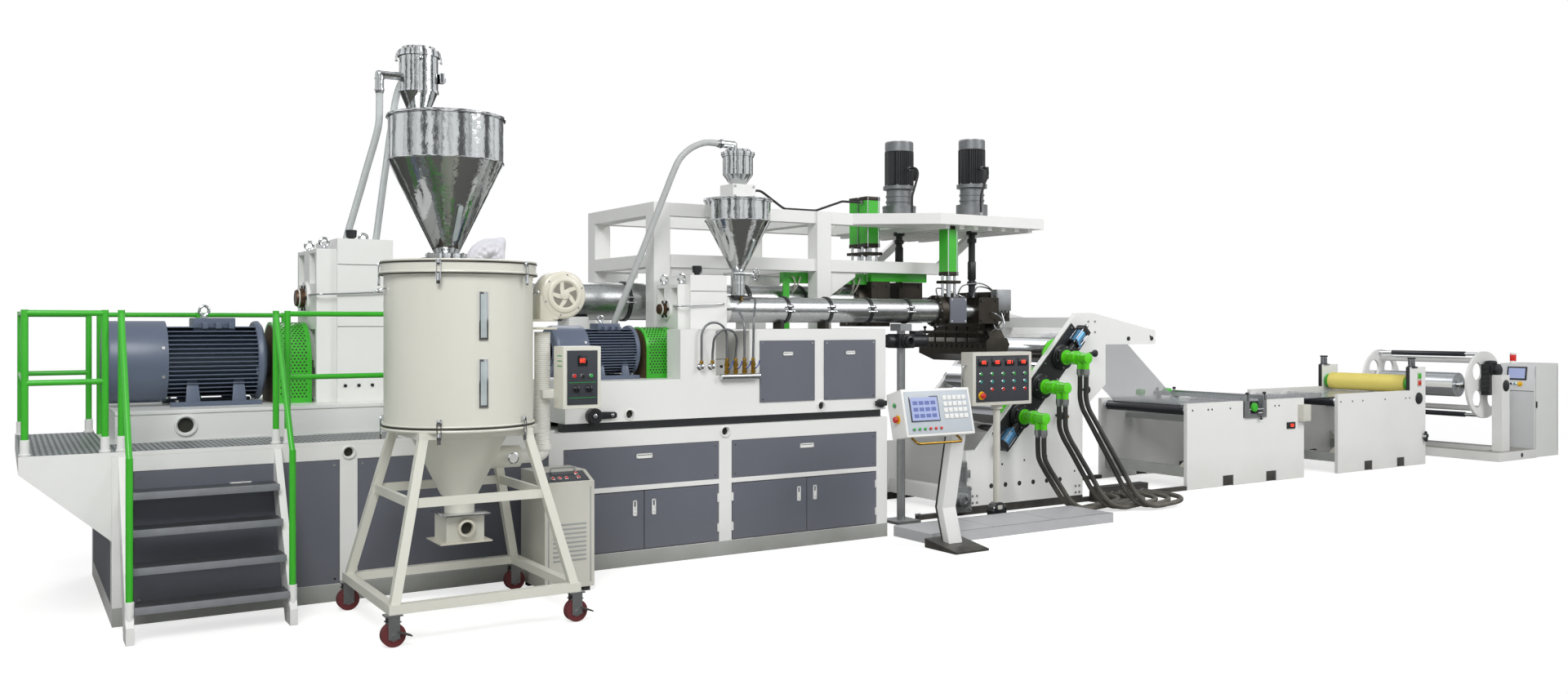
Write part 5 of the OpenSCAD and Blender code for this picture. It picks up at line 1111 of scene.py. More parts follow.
block(bm, (4.26, -0.62, 1.795), (4.43, -0.545, 1.985), 0.004)
block(bm, (4.27, -0.624, 1.805), (4.42, -0.615, 1.975), 0.002)
for k in range(4):
    turned(bm, (4.285 + 0.04 * k, -0.585, 1.78), UP, stud(0.011, 0.016, 0.008), 6)
piece("terminal_box", bm, zinc)
# steel heater tails and thermocouple tubes between the blocks and the terminal box
bm = bmesh.new()
tails = [((4.00, -0.60, 1.915), (4.03, -0.62, 2.00), (4.16, -0.62, 1.99), (4.262, -0.60, 1.93)),
         ((3.80, -0.62, 1.915), (3.83, -0.66, 2.01), (4.05, -0.66, 2.03), (4.262, -0.60, 1.955)),
         ((4.15, -0.675, 1.78), (4.17, -0.72, 1.76), (4.25, -0.70, 1.72), (4.30, -0.585, 1.78)),
         ((4.20, -0.64, 1.69), (4.22, -0.66, 1.63), (4.33, -0.64, 1.66), (4.345, -0.585, 1.78)),
         ((4.33, -0.42, 1.55), (4.32, -0.47, 1.60), (4.36, -0.56, 1.68), (4.385, -0.585, 1.78)),
         ((3.70, -0.475, 1.915), (3.72, -0.44, 1.99), (3.88, -0.42, 1.97), (4.02, -0.45, 1.915))]
for tail in tails:
    pipe(bm, smooth_route(tail, 8), 0.006, 8)
for x, y, z in ((3.80, -0.62, 1.91), (4.00, -0.60, 1.91), (3.70, -0.475, 1.91), (4.02, -0.45, 1.91)):
    turned(bm, (x, y, z), UP, stud(0.012, 0.014, 0.008), 6)
piece("heater_tails", bm, zinc)
bm = bmesh.new()
for y in (-0.478, 0.452):
    plate(bm, [(-0.145, -0.145), (-0.145, -0.03), (-0.11, -0.004), (0.11, -0.004), (0.145, -0.06),
               (0.055, -0.215), (0.03, -0.215)], (4.405, y, 1.55), RIGHT, UP, 0.022, 0.003)
block(bm, (4.20, -0.44, 1.585), (4.262, 0.40, 1.615), 0.004)
for k in range(6):
    y = -0.40 + 0.15 * k
    turned(bm, (4.23, y, 1.50), UP, [(0, 0.009), (0.135, 0.009), (0.137, 0.016), (0.155, 0.016),
                                     (0.157, 0.010)], 12)
piece("die_ends", bm, dark_steel)

# Calender
# White side plates on a black carriage; hollow chromed rolls turn in black bearing housings on a 45 degree
# way, pressed by blue nip cylinders, and take their water through lime green rotary unions.

roll_x, roll_z, pitch = 4.808, 1.105, 0.26304
# ground and polished hard chrome, close to a perfect mirror
chrome_roll = surface("hard chromed roll", "#d7d9db", "#cdd0d2", 0.07, 1.0, patch_mm=300, grain_mm=1.5,
                      grain=0.01, spread=0.03)
# glossy enamel on the unions, coloured satin metal on the tubes, pale grainy cast aluminium
lime = surface("lime green enamel", "#63dc22", "#56cb1c", 0.3, grain=0.03, coat=0.3, soft_edge_mm=2)
blue_tube = surface("blue anodised tube", "#6aa5d0", "#5993bf", 0.3, 0.4, patch_mm=40, grain_mm=1, grain=0.04)
aluminium = surface("cast aluminium", "#b4b7b8", "#9fa2a3", 0.36, 0.95, patch_mm=30, grain=0.12)


def along_way(c):
    """Distance of a point from the middle roll along the 45 degree roll line."""
    return (c.x - roll_x + c.z - roll_z) * math.sqrt(0.5)


dress_faces("calender_frame", [white_enamel, chrome_roll],
            lambda c, n: int(abs(c.y) < 0.53 and abs(c.z - 1.535) < 0.05 and c.x > 5.9))
for name in ("roll_top", "roll_middle", "roll_bottom"):
    dress_faces(name, [chrome_roll, dark_steel], lambda c, n: int(abs(c.y) > 0.531))
dress_faces("roll_bearings", [black_paint, blue_tube],
            lambda c, n: int(0.56 < abs(along_way(c)) < 0.69 and c.y < -0.6045))
port_z = [roll_z + k * pitch - 0.15 for k in (-1, 0, 1)]
dress_faces("rotary_unions", [lime, zinc],
            lambda c, n: int(c.y < -0.80 and min(abs(c.z - z) for z in port_z) < 0.002))
way = Vector((math.sqrt(0.5), 0, math.sqrt(0.5)))
across = Vector((math.sqrt(0.5), 0, -math.sqrt(0.5)))
green_fit = bmesh.new()
black_fit = bmesh.new()
silver_fit = bmesh.new()
bolts = []
for k in (-1, 0, 1):
    middle = Vector((roll_x + k * pitch, 0, roll_z + k * pitch))
    turned(green_fit, middle + Vector((0, -0.5335, 0)), FRONT,
           [(0, 0.09), (0, 0.174), (0.003, 0.174), (0.003, 0.09)], 56)
    turned(black_fit, middle + Vector((0, -0.604, 0)), FRONT,
           [(0, 0.113), (0.004, 0.118), (0.02, 0.118), (0.024, 0.112)], 48)
    turned(black_fit, middle + Vector((0, -0.65, 0)), FRONT,
           [(0, 0.085), (0.002, 0.092), (0.018, 0.092), (0.02, 0.07)], 40)
    bolts += ring_of_bolts(middle + FRONT * 0.652, FRONT, 0.095, turns(6, 0.3))
    for y, r in ((-0.70, 0.056), (-0.735, 0.056), (-0.765, 0.063), (-0.80, 0.063), (-0.86, 0.050),
                 (-0.935, 0.049)):
        turned(green_fit, middle + Vector((0, y, 0)), FRONT, band(r - 0.008, r, 0.012, 0.002), 36)
    for y in (-0.84, -0.915):
        turned(silver_fit, middle + Vector((0, y, -0.152)), UP,
               [(0, 0.024), (0.002, 0.0305), (0.05, 0.0305), (0.052, 0.026)], 8)
for s in (-1, 1):
    seat = Vector((roll_x, -0.642, roll_z)) + way * s * (pitch / math.sqrt(0.5) + 0.11)
    for a in (-1, 1):
        for b in (-1, 1):
            corner = across * (0.042 * a) + Vector((0, 0.042 * b, 0))
            pipe(silver_fit, [seat + corner + way * s * 0.05, seat + corner + way * s * 0.258], 0.005, 8)
    turned(silver_fit, seat + way * s * 0.255, way * s,
           [(0, 0.012), (0.03, 0.012), (0.034, 0.02), (0.05, 0.02), (0.054, 0.012)], 16)
    for along in (0.062, 0.206):
        turned(black_fit, seat + way * s * along, way * s, band(0.046, 0.0485, 0.014, 0.002), 32)
    for a in (-1, 1):
        for along, aside in ((0.66, 0.1), (0.19, 0.105)):
            bolts.append((Vector((roll_x, -0.604, roll_z)) + way * s * along + across * aside * a, FRONT))
piece("union_rings", green_fit, lime)
piece("bearing_covers", black_fit, black_paint)
piece("union_ferrules", silver_fit, zinc)
heads("bearing_bolts", bolts, 0.010, 0.014, zinc)

# side plate fittings: bored holes drawn as dark discs of painted shade, knobs, a brass drain and plate bolts
plate_y = -0.59
bm = bmesh.new()
for k in range(6):
    turned(bm, (4.22 + 0.17 * k, plate_y + 0.001, 0.235), FRONT, stud(0.022, 0.002, 0.001, 0.0002), 24)
for x, z in ((5.35, 1.54), (6.30, 1.555), (5.26, 0.30), (4.35, 0.42), (4.62, 0.44), (4.90, 0.46),
             (5.2, 0.52)):
    turned(bm, (x, plate_y + 0.001, z), FRONT, stud(0.010, 0.002, 0.001, 0.0002), 16)
piece("plate_holes", bm, shade_in)
bm = bmesh.new()
for x, z in ((5.46, 1.40), (5.36, 1.06), (5.02, 0.83)):
    turned(bm, (x, plate_y, z), FRONT, [(0, 0.012), (0.05, 0.012), (0.052, 0.030), (0.058, 0.034),
                                        (0.074, 0.034), (0.078, 0.028)], 28)
for x in (6.318, 5.988):
    turned(bm, (x, plate_y, 1.535), FRONT, stud(0.020, 0.008, 0.016), 20)
piece("plate_knobs", bm, black_paint)
bm = bmesh.new()
turned(bm, (5.10, plate_y, 0.82), FRONT, [(0, 0.020), (0.02, 0.020), (0.022, 0.014), (0.05, 0.014),
                                          (0.052, 0.018), (0.07, 0.018)], 6)
piece("plate_drain", bm, brass)
bolts = on_front((5.44, 5.53), plate_y, (1.60, 1.70))
bolts += on_front((4.0, 4.05, 5.27, 5.32), plate_y, (0.10, 0.16))
heads("plate_bolts", bolts, 0.011, 0.012, zinc)

dress_faces("carriage", [black_paint, aluminium], lambda c, n: int(c.x < 3.93 and c.z > 0.0405))
fin_stack("carriage_fins", (3.85, -0.60, 0.365), 0.06, 0.13, 9, aluminium, (0, math.pi / 2, 0))
bm = bmesh.new()
turned(bm, (3.85, -0.60, 0.435), UP, [(0, 0.055), (0.002, 0.061), (0.034, 0.061), (0.042, 0.052),
                                      (0.044, 0.03)], 36)
block(bm, (3.895, -0.635, 0.33), (3.94, -0.565, 0.40), 0.005)
turned(bm, (3.81, -0.70, 0.15), FRONT, [(0, 0.05), (0.006, 0.062), (0.012, 0.062), (0.016, 0.045),
                                        (0.016, 0.028), (0.004, 0.026)], 32)
for x in (3.705, 3.915):
    for z in (0.06, 0.24):
        block(bm, (x - 0.012, -0.668, z - 0.012), (x + 0.012, -0.655, z + 0.012), 0.003)
piece("carriage_drive", bm, aluminium)
bm = bmesh.new()
for k in range(6):
    turned(bm, (5.545 + 0.104 * k, -0.684, 0.07), FRONT, [(-0.002, 0.034), (0.004, 0.034), (0.006, 0.027)], 8)
block(bm, (5.44, -0.70, 0.0), (6.17, -0.585, 0.012), 0.002)
for x in (3.39, 3.42):
    turned(bm, (x, -0.565, 0.04), UP, stud(0.014, 0.012, 0.009), 6)
piece("water_box_ports", bm, zinc)

# Control box, operator panel and step
# Folded sheet steel: a heater control box on a post with a castor, and a slanted operator panel on a
# leaning column bolted to a wedge foot; a low step plate lies between them along the melt end.

# textured semi-gloss enamel, matt printed foil, glossy smoked acrylic and dull moulded rubber
pale_grey = surface("pale grey enamel", "#d5d3ca", "#cccac0", 0.38, patch_mm=200, grain_mm=2.5, grain=0.06,
                    soft_edge_mm=2)
panel_foil = surface("dark panel foil", "#34373d", "#3c3f45", 0.45, grain_mm=1.2, grain=0.06)
smoked = surface("smoked display window", "#16181b", "#1e2124", 0.1, patch_mm=30, grain=0.0, coat=0.8)
rubber = surface("black rubber", "#1c1c1d", "#282827", 0.6, patch_mm=25, grain_mm=1, grain=0.12)
# moulded caps and lenses: an even bright colour under a clear gloss
red_cap, yellow_cap, green_cap, teal_cap = [
    surface(name + " moulded plastic", code, code, 0.3, patch_mm=15, grain_mm=0.6, grain=0.03, coat=0.4)
    for name, code in (("red", "#cf2a20"), ("yellow", "#eebb22"), ("green", "#35a24a"), ("teal", "#2d8f88"))]


def tuned(material, settings):
    """Changes inputs of a finish's main shader."""
    shader = next(n for n in material.node_tree.nodes if n.type == "BSDF_PRINCIPLED")
    for key, value in settings.items():
        shader.inputs[key].default_value = value
    return material


def glowing(name, colour, strength):
    """A lit display: a smooth pane whose colour gives a little light of its own."""
    material = surface(name, colour, colour, 0.2, patch_mm=20, grain=0.0)
    return tuned(material, {"Emission Color": linear(colour), "Emission Strength": strength})


red_digits = glowing("red lit digits", "#ff4630", 1.6)
lit_screen = glowing("lit screen", "#96a0c4", 0.35)
SEGMENTS = {"a": (0, 2, 1, 2), "b": (1, 1, 1, 2), "c": (1, 0, 1, 1), "d": (0, 0, 1, 0), "e": (0, 0, 0, 1),
            "f": (0, 1, 0, 2), "g": (0, 1, 1, 1)}
LIT = {"0": "abcdef", "1": "bc", "2": "abged", "5": "afgcd", "8": "abcdefg", "9": "abcdfg"}


def digits(bm, text, place, along, up, size):
    """Seven-segment figures lying on a face."""
    place, along, up = Vector(place), Vector(along).normalized() * size, Vector(up).normalized() * size
    for i, figure in enumerate(text):
        for part in LIT[figure]:
            a, b, c, d = SEGMENTS[part]
            ends = [place + along * (s + 1.7 * i) + up * t for s, t in ((a, b), (c, d))]
            pipe(bm, ends, 0.16 * size, 6)


def push_button(rim, cap, place, way, r, stand=0.012):
    """A panel button: a plated collar and a cap with a rounded edge."""
    turned(rim, place, way, [(-0.004, r * 1.3), (0.004, r * 1.3), (0.006, r * 1.15), (0.006, r)], 24)
    turned(cap, place, way, [(0, r), (stand * 0.8, r), (stand, r * 0.8), (stand * 1.05, r * 0.4)], 24)


def stop_button(base, cap, place, way, r):
    """An emergency stop: a flat round plate and a mushroom head."""
    turned(base, place, way, [(-0.003, r), (0.003, r), (0.005, r * 0.95), (0.005, r * 0.4)], 32)
    turned(cap, place, way, [(0, r * 0.4), (0.016, r * 0.4), (0.018, r * 0.7), (0.026, r * 0.72),
                             (0.034, r * 0.55), (0.036, r * 0.2)], 32)


box_x, box_y, box_front = 3.96, -0.945, -1.02
case, plates, windows, chrome, figures = [bmesh.new() for k in range(5)]
block(case, (box_x - 0.335, box_front, 0.99), (box_x + 0.335, -0.87, 1.44), 0.008)
turned(case, (box_x, box_y, 0.10), UP, [(0, 0.05), (0.03, 0.05), (0.035, 0.03), (0.85, 0.03), (0.855, 0.05),
                                        (0.89, 0.05)])
block(plates, (box_x - 0.30, box_front - 0.003, 1.02), (box_x + 0.30, box_front + 0.002, 1.41), 0.0015)
for k in range(4):
    x = box_x - 0.225 + 0.15 * k
    block(windows, (x - 0.052, box_front - 0.009, 1.322), (x + 0.052, box_front, 1.388), 0.003)
    digits(figures, ("185", "190", "201", "198")[k],
           (x - 0.028, box_front - 0.0095, 1.342), RIGHT, UP, 0.0125)
for x, way in ((box_x - 0.335, -1), (box_x + 0.335, 1)):
    grip = smooth_route([(x, box_y, 1.10), (x + way * 0.03, box_y, 1.105), (x + way * 0.045, box_y, 1.13),
                         (x + way * 0.045, box_y, 1.30), (x + way * 0.03, box_y, 1.325), (x, box_y, 1.33)], 6)
    pipe(chrome, grip, 0.007, 12)
caps = [bmesh.new() for k in range(3)]
for row, z in enumerate((1.255, 1.19, 1.125)):
    for k in range(5):
        if row < 2 or k > 0:
            push_button(chrome, caps[row], (box_x - 0.25 + 0.125 * k, box_front - 0.003, z), FRONT, 0.013)
yellow, stops = bmesh.new(), bmesh.new()
stop_button(yellow, stops, (box_x - 0.24, box_front - 0.003, 1.075), FRONT, 0.036)
turned(windows, (box_x, box_y - 0.045, 0.08), BACK,
       [(0, 0.03), (0.004, 0.06), (0, 0.072), (0.008, 0.08), (0.082, 0.08), (0.09, 0.072), (0.086, 0.06),
        (0.09, 0.03)], 40)
piece("control_case", case, pale_grey, replaces=["control_box"])
piece("control_face", plates, panel_foil)
piece("control_figures", figures, red_digits)
spots = on_front((box_x - 0.285, box_x + 0.285), box_front - 0.003, (1.035, 1.395))
heads("control_screws", spots, 0.006, 0.005, polished_chrome, 16)

# operator panel: its face leans back, so places on it are (along, up) from its lower left corner
face_at, face_up = Vector((2.225, -1.91, 0.87)), Vector((0, 0.08, 0.34)).normalized()
face_out = RIGHT.cross(face_up)


def rect(a0, b0, a1, b1):
    """Outline of a rectangle between two corners."""
    return [(a0, b0), (a1, b0), (a1, b1), (a0, b1)]


def on_face(a, b, proud=0.0):
    """A place on the leaning face of the operator panel."""
    return face_at + RIGHT * a + face_up * b + face_out * proud


def face_plate(bm, a0, b0, a1, b1, proud, edge=0.002):
    """A raised plate on the leaning face."""
    plate(bm, rect(0, 0, a1 - a0, b1 - b0), on_face(a0, b0, proud), RIGHT, face_up, proud + 0.004, edge)


shell, lit = bmesh.new(), bmesh.new()
plate(shell, [(-1.91, 0.87), (-1.74, 0.84), (-1.66, 1.16), (-1.83, 1.21)],
      (2.865, 0, 0), BACK, UP, 0.64, 0.008)
plate(shell, [(-1.78, 0.03), (-1.70, 0.04), (-1.62, 0.30), (-1.74, 0.885), (-1.82, 0.885), (-1.70, 0.30)],
      (2.855, 0, 0), BACK, UP, 0.13, 0.004)
foot = bmesh.new()
plate(foot, [(-1.96, 0), (-1.60, 0), (-1.60, 0.07), (-1.96, 0.018)], (2.955, 0, 0), BACK, UP, 0.32, 0.006)
for x in (2.724, 2.850):
    plate(foot, [(-1.792, 0.03), (-1.70, 0.03), (-1.615, 0.30), (-1.735, 0.885), (-1.75, 0.885),
                 (-1.635, 0.30), (-1.71, 0.05)], (x + 0.008, 0, 0), BACK, UP, 0.008, 0)
face = bmesh.new()
face_plate(face, 0.02, 0.02, 0.62, 0.33, 0.003)
face_plate(windows, 0.057, 0.107, 0.323, 0.293, 0.008)
face_plate(lit, 0.065, 0.115, 0.315, 0.285, 0.0095, 0)
blocks = bmesh.new()
for row in range(3):
    for k in range(4):
        face_plate(blocks, 0.085 + 0.055 * k, 0.135 + 0.047 * row, 0.128 + 0.055 * k, 0.163 + 0.047 * row,
                   0.0102, 0)
keys = bmesh.new()
for row in range(4):
    for k in range(5):
        face_plate(keys, 0.37 + 0.046 * k, 0.12 + 0.046 * row, 0.406 + 0.046 * k, 0.154 + 0.046 * row,
                   0.009, 0.003)
for k in range(6):
    push_button(chrome, caps[0 if k < 3 else 2], on_face(0.07 + 0.05 * k, 0.055, 0.003), face_out, 0.011)
stop_button(yellow, stops, (2.225, -1.80, 0.99), LEFT, 0.032)
push_button(chrome, caps[0], (2.225, -1.765, 1.09), LEFT, 0.015)
hand = bmesh.new()
pipe(hand, smooth_route([(2.30, -1.86, 0.865), (2.30, -1.905, 0.84), (2.31, -1.93, 0.825),
                         (2.36, -1.935, 0.822), (2.66, -1.935, 0.822), (2.71, -1.93, 0.825),
                         (2.72, -1.905, 0.84), (2.72, -1.86, 0.865)], 6), 0.009, 12)
piece("panel_shell", shell, white_enamel, replaces=["operator_panel"])
piece("panel_foot", foot, black_paint)
# printed foil, pale and satin
panel_pale = surface("pale panel foil", "#c3cad1", "#b9c1c8", 0.4, grain_mm=1.2)
piece("panel_face", face, panel_pale)
piece("panel_keys", keys, white_enamel)
piece("panel_screen", lit, lit_screen)
piece("screen_blocks", blocks, glowing("screen blocks", "#5d6aa0", 0.25))
piece("panel_hand_tube", hand, brass)
piece("button_collars", chrome, polished_chrome)
piece("display_windows", windows, smoked)
piece("stop_plates", yellow, yellow_cap)
piece("stop_heads", stops, red_cap)
for name, cap, colour in zip(("first", "second", "third"), caps, (green_cap, teal_cap, red_cap)):
    piece(name + "_buttons", cap, colour)
heads("panel_screws", [(on_face(a, b, 0.003), face_out) for a in (0.03, 0.61) for b in (0.03, 0.32)]
      + [((x, -1.64, 0.066), UP) for x in (2.66, 2.93)], 0.006, 0.006, polished_chrome, 16)
# enamel scuffed by shoes, uneven in tone
step_grey = surface("worn grey step enamel", "#c4c4c7", "#b6b6b9", 0.42, patch_mm=240, grain_mm=3,
                    grain=0.08, soft_edge_mm=3)
dress(step_grey, "step_plate")
bm = bmesh.new()
for y in (-1.558, -1.088):
    block(bm, (2.75, y, 0.074), (4.71, y + 0.008, 0.084), 0.003)
for x in (3.40, 4.06):
    block(bm, (x - 0.002, -1.55, 0.078), (x + 0.002, -1.09, 0.0812), 0.001)
piece("step_edges", bm, zinc)

# Hoses and lines
# Rubber water hoses from the rolls' unions to the water box, wire-wound conveying hoses from the receivers
# down to their foot pipes, braided cooling hoses and black motor cables, each held in a nut or gland.

# rubber that picks up floor dust where it lies
black_hose = surface("black water hose", "#242423", "#33312d", 0.5, patch_mm=90, grain_mm=1.5, grain=0.12,
                     dust=0.9)
# satin plastic hose, and braid of fine bright wire whose dark gaps are painted shade, laid as small random
# patches
grey_hose = surface("grey suction hose", "#c3c6c5", "#b4b7b6", 0.4, patch_mm=50)
braid = surface("stainless braid", "#97999b", "#6a6c6e", 0.34, 0.85, patch_mm=3, grain_mm=1.4, grain=0.5)
hose_wall = surface("clear hose wall", "#eef2f1", "#dfe5e4", 0.22, grain_mm=3)
# light passes through the soft wall, bent less than by glass
clear_hose = tuned(hose_wall, {"Transmission Weight": 0.45, "IOR": 1.3})
# routes in mm, the same as the solids' own
WATER = [
    [(4545, -840, 691), (4545, -840, 586), (4552, -845, 482), (4589, -872, 388), (4631, -904, 297),
     (4674, -936, 207), (4725, -966, 120), (4806, -989, 59), (4907, -999, 34), (5012, -1000, 39),
     (5116, -1000, 45), (5221, -1000, 51), (5326, -998, 57), (5418, -970, 63), (5492, -908, 67),
     (5534, -822, 70), (5545, -745, 70), (5545, -690, 70)],
    [(4545, -915, 691), (4545, -915, 590), (4552, -919, 489), (4589, -941, 398), (4635, -968, 312),
     (4681, -996, 227), (4729, -1023, 142), (4801, -1044, 75), (4894, -1057, 38), (4995, -1060, 35),
     (5096, -1060, 40), (5197, -1060, 46), (5298, -1060, 51), (5399, -1059, 57), (5496, -1034, 62),
     (5577, -975, 66), (5630, -890, 69), (5649, -791, 70), (5649, -690, 70)],
    [(4808, -840, 955), (4808, -840, 851), (4810, -842, 748), (4833, -868, 650), (4866, -905, 559),
     (4899, -942, 468), (4932, -978, 376), (4965, -1015, 285), (4999, -1052, 194), (5054, -1085, 113),
     (5138, -1109, 58), (5238, -1119, 37), (5342, -1120, 43), (5446, -1120, 50), (5549, -1112, 56),
     (5642, -1069, 63), (5712, -994, 67), (5749, -897, 70), (5753, -794, 70), (5753, -690, 70)],
    [(4808, -915, 955), (4808, -915, 849), (4811, -918, 744), (4839, -943, 646), (4878, -978, 554),
     (4916, -1013, 462), (4955, -1048, 370), (4993, -1083, 278), (5032, -1118, 186), (5091, -1149, 106),
     (5179, -1171, 53), (5282, -1180, 35), (5388, -1180, 41), (5493, -1180, 48), (5599, -1180, 54),
     (5700, -1156, 60), (5785, -1094, 66), (5840, -1005, 69), (5857, -901, 70), (5857, -796, 70),
     (5857, -690, 70)],
    [(5071, -840, 1218), (5071, -840, 1114), (5071, -840, 1009), (5084, -859, 908), (5110, -898, 815),
     (5137, -938, 723), (5164, -978, 630), (5191, -1018, 538), (5218, -1058, 445), (5244, -1098, 353),
     (5271, -1138, 260), (5304, -1177, 170), (5369, -1210, 96), (5460, -1232, 51), (5563, -1240, 40),
     (5667, -1240, 48), (5769, -1229, 56), (5861, -1181, 63), (5928, -1102, 68), (5959, -1003, 70),
     (5961, -899, 70), (5961, -794, 70), (5961, -690, 70)],
    [(5071, -915, 1218), (5071, -915, 1113), (5071, -915, 1007), (5087, -934, 905), (5118, -972, 812),
     (5150, -1011, 719), (5182, -1049, 627), (5214, -1088, 534), (5246, -1127, 441), (5278, -1165, 348),
     (5310, -1204, 255), (5347, -1242, 164), (5414, -1274, 91), (5507, -1294, 47), (5612, -1300, 39),
     (5717, -1300, 46), (5822, -1299, 53), (5922, -1269, 60), (6003, -1203, 66), (6053, -1111, 69),
     (6065, -1006, 70), (6065, -901, 70), (6065, -795, 70), (6065, -690, 70)]]
CONVEY = [
    [(-970, 0, 3326), (-970, 0, 3206), (-973, 8, 3087), (-987, 53, 2978), (-1005, 107, 2873),
     (-1023, 162, 2768), (-1040, 216, 2662), (-1058, 271, 2557), (-1076, 325, 2452), (-1094, 380, 2347),
     (-1108, 423, 2237), (-1110, 430, 2118), (-1110, 430, 1998), (-1110, 430, 1878), (-1110, 430, 1759),
     (-1110, 430, 1639), (-1110, 430, 1519), (-1110, 430, 1399), (-1110, 430, 1280), (-1110, 430, 1160)],
    [(-695, 225, 3506), (-695, 290, 3506), (-696, 382, 3494), (-702, 468, 3454), (-712, 528, 3379),
     (-724, 551, 3286), (-737, 548, 3190), (-753, 541, 3099), (-770, 535, 2978), (-787, 530, 2857),
     (-805, 524, 2737), (-822, 518, 2616), (-839, 513, 2495), (-856, 507, 2374), (-873, 502, 2253),
     (-891, 496, 2133), (-908, 490, 2012), (-925, 485, 1891), (-942, 479, 1770), (-945, 478, 1648),
     (-945, 478, 1526), (-945, 478, 1404), (-945, 478, 1282), (-945, 478, 1160)],
    [(1448, -580, 3065), (1324, -580, 3065), (1209, -571, 3019), (1120, -554, 2936), (1070, -533, 2826),
     (1031, -510, 2710), (992, -487, 2595), (954, -464, 2480), (915, -441, 2364), (876, -418, 2249),
     (837, -395, 2134), (799, -373, 2018), (760, -350, 1903), (721, -327, 1788), (683, -304, 1673),
     (644, -281, 1557), (611, -262, 1440), (608, -260, 1316), (608, -260, 1193), (608, -260, 1069),
     (608, -260, 945)]]
BRAID = [
    [(1250, -1030, 1404), (1250, -1030, 1446), (1250, -1030, 1487), (1250, -1030, 1529),
     (1250, -1030, 1570), (1247, -1030, 1612), (1229, -1030, 1649), (1198, -1030, 1676),
     (1159, -1030, 1689), (1117, -1030, 1687), (1080, -1030, 1669), (1053, -1030, 1637),
     (1041, -1030, 1598), (1040, -1030, 1556), (1040, -1030, 1515), (1040, -1030, 1473),
     (1040, -1030, 1432), (1040, -1030, 1390)],
    [(1325, -1030, 1404), (1325, -1030, 1447), (1325, -1036, 1490), (1325, -1044, 1532),
     (1320, -1053, 1574), (1299, -1060, 1611), (1263, -1065, 1634), (1221, -1066, 1640),
     (1179, -1064, 1628), (1147, -1058, 1600), (1131, -1050, 1561), (1130, -1042, 1519),
     (1130, -1033, 1476), (1130, -1030, 1433), (1130, -1030, 1390)],
    [(1400, -1030, 1404), (1400, -1030, 1447), (1400, -1030, 1490), (1400, -1030, 1533),
     (1400, -1030, 1576), (1400, -1030, 1619), (1400, -1027, 1662), (1403, -1009, 1701), (1408, -978, 1730),
     (1413, -944, 1756), (1418, -909, 1780), (1420, -867, 1790), (1420, -824, 1790), (1420, -781, 1790),
     (1420, -738, 1790), (1420, -695, 1790)],
    [(1475, -1030, 1404), (1475, -1030, 1447), (1476, -1030, 1489), (1477, -1030, 1532),
     (1478, -1030, 1574), (1478, -1030, 1617), (1479, -1030, 1659), (1483, -1025, 1701),
     (1496, -1007, 1738), (1516, -980, 1766), (1536, -951, 1792), (1556, -923, 1819), (1576, -894, 1845),
     (1593, -861, 1867), (1600, -820, 1877), (1600, -778, 1877), (1600, -735, 1877), (1600, -693, 1877),
     (1600, -650, 1877)]]
CABLE = [
    [(1900, -255, 2620), (1900, -255, 2665), (1906, -255, 2709), (1932, -255, 2745), (1972, -255, 2764),
     (2016, -255, 2762), (2056, -255, 2742), (2094, -255, 2719), (2132, -255, 2696), (2171, -255, 2673),
     (2209, -255, 2650), (2250, -255, 2632), (2295, -254, 2631), (2340, -253, 2631), (2384, -253, 2631),
     (2429, -252, 2631), (2474, -251, 2631), (2519, -251, 2631), (2563, -247, 2633), (2603, -231, 2643),
     (2643, -214, 2655), (2683, -196, 2666), (2722, -179, 2677), (2762, -162, 2689), (2802, -144, 2700),
     (2841, -127, 2711), (2881, -110, 2722), (2921, -92, 2734), (2961, -77, 2744), (3006, -75, 2745),
     (3051, -75, 2745), (3095, -75, 2745), (3140, -75, 2745), (3185, -75, 2745)],
    [(3645, -121, 3070), (3645, -167, 3070), (3644, -213, 3068), (3639, -256, 3052), (3628, -288, 3020),
     (3613, -304, 2980), (3598, -305, 2936), (3583, -305, 2893), (3567, -305, 2849), (3553, -305, 2805),
     (3550, -305, 2759), (3550, -305, 2713), (3550, -305, 2666), (3550, -305, 2620)],
    [(4115, -561, 3060), (4115, -598, 3060), (4113, -636, 3053), (4106, -668, 3032), (4094, -686, 2999),
     (4080, -690, 2960), (4060, -690, 2926), (4043, -690, 2884), (4026, -690, 2843), (4010, -690, 2800),
     (4008, -690, 2755), (4008, -690, 2710), (4008, -690, 2665), (4008, -690, 2620)]]


def evenly(points, step):
    """The same curve with its points a set distance apart."""
    lengths = [0.0]
    for a, b in zip(points, points[1:]):
        lengths.append(lengths[-1] + (b - a).length)
    count = max(2, round(lengths[-1] / step))
    route, i = [], 0
    for k in range(count + 1):
        want = lengths[-1] * k / count
        while i < len(points) - 2 and lengths[i + 1] < want:
            i += 1
        route.append(points[i].lerp(points[i + 1], (want - lengths[i]) / (lengths[i + 1] - lengths[i])))
    return route


def hose(name, points, r, material, node, step, rib=0.0):
    """One flexible line through its points in mm; a ribbed one is thinner at every other point."""
    path = evenly(smooth_route([Vector(p) / 1000 for p in points], 8), step)
    ribs = [r - rib * (k % 2) for k in range(len(path))] if rib else None
    bm = bmesh.new()
    pipe(bm, path, r, 16, ribs)
    obj = piece(name, bm, material, replaces=[node], angle=60)
    return path


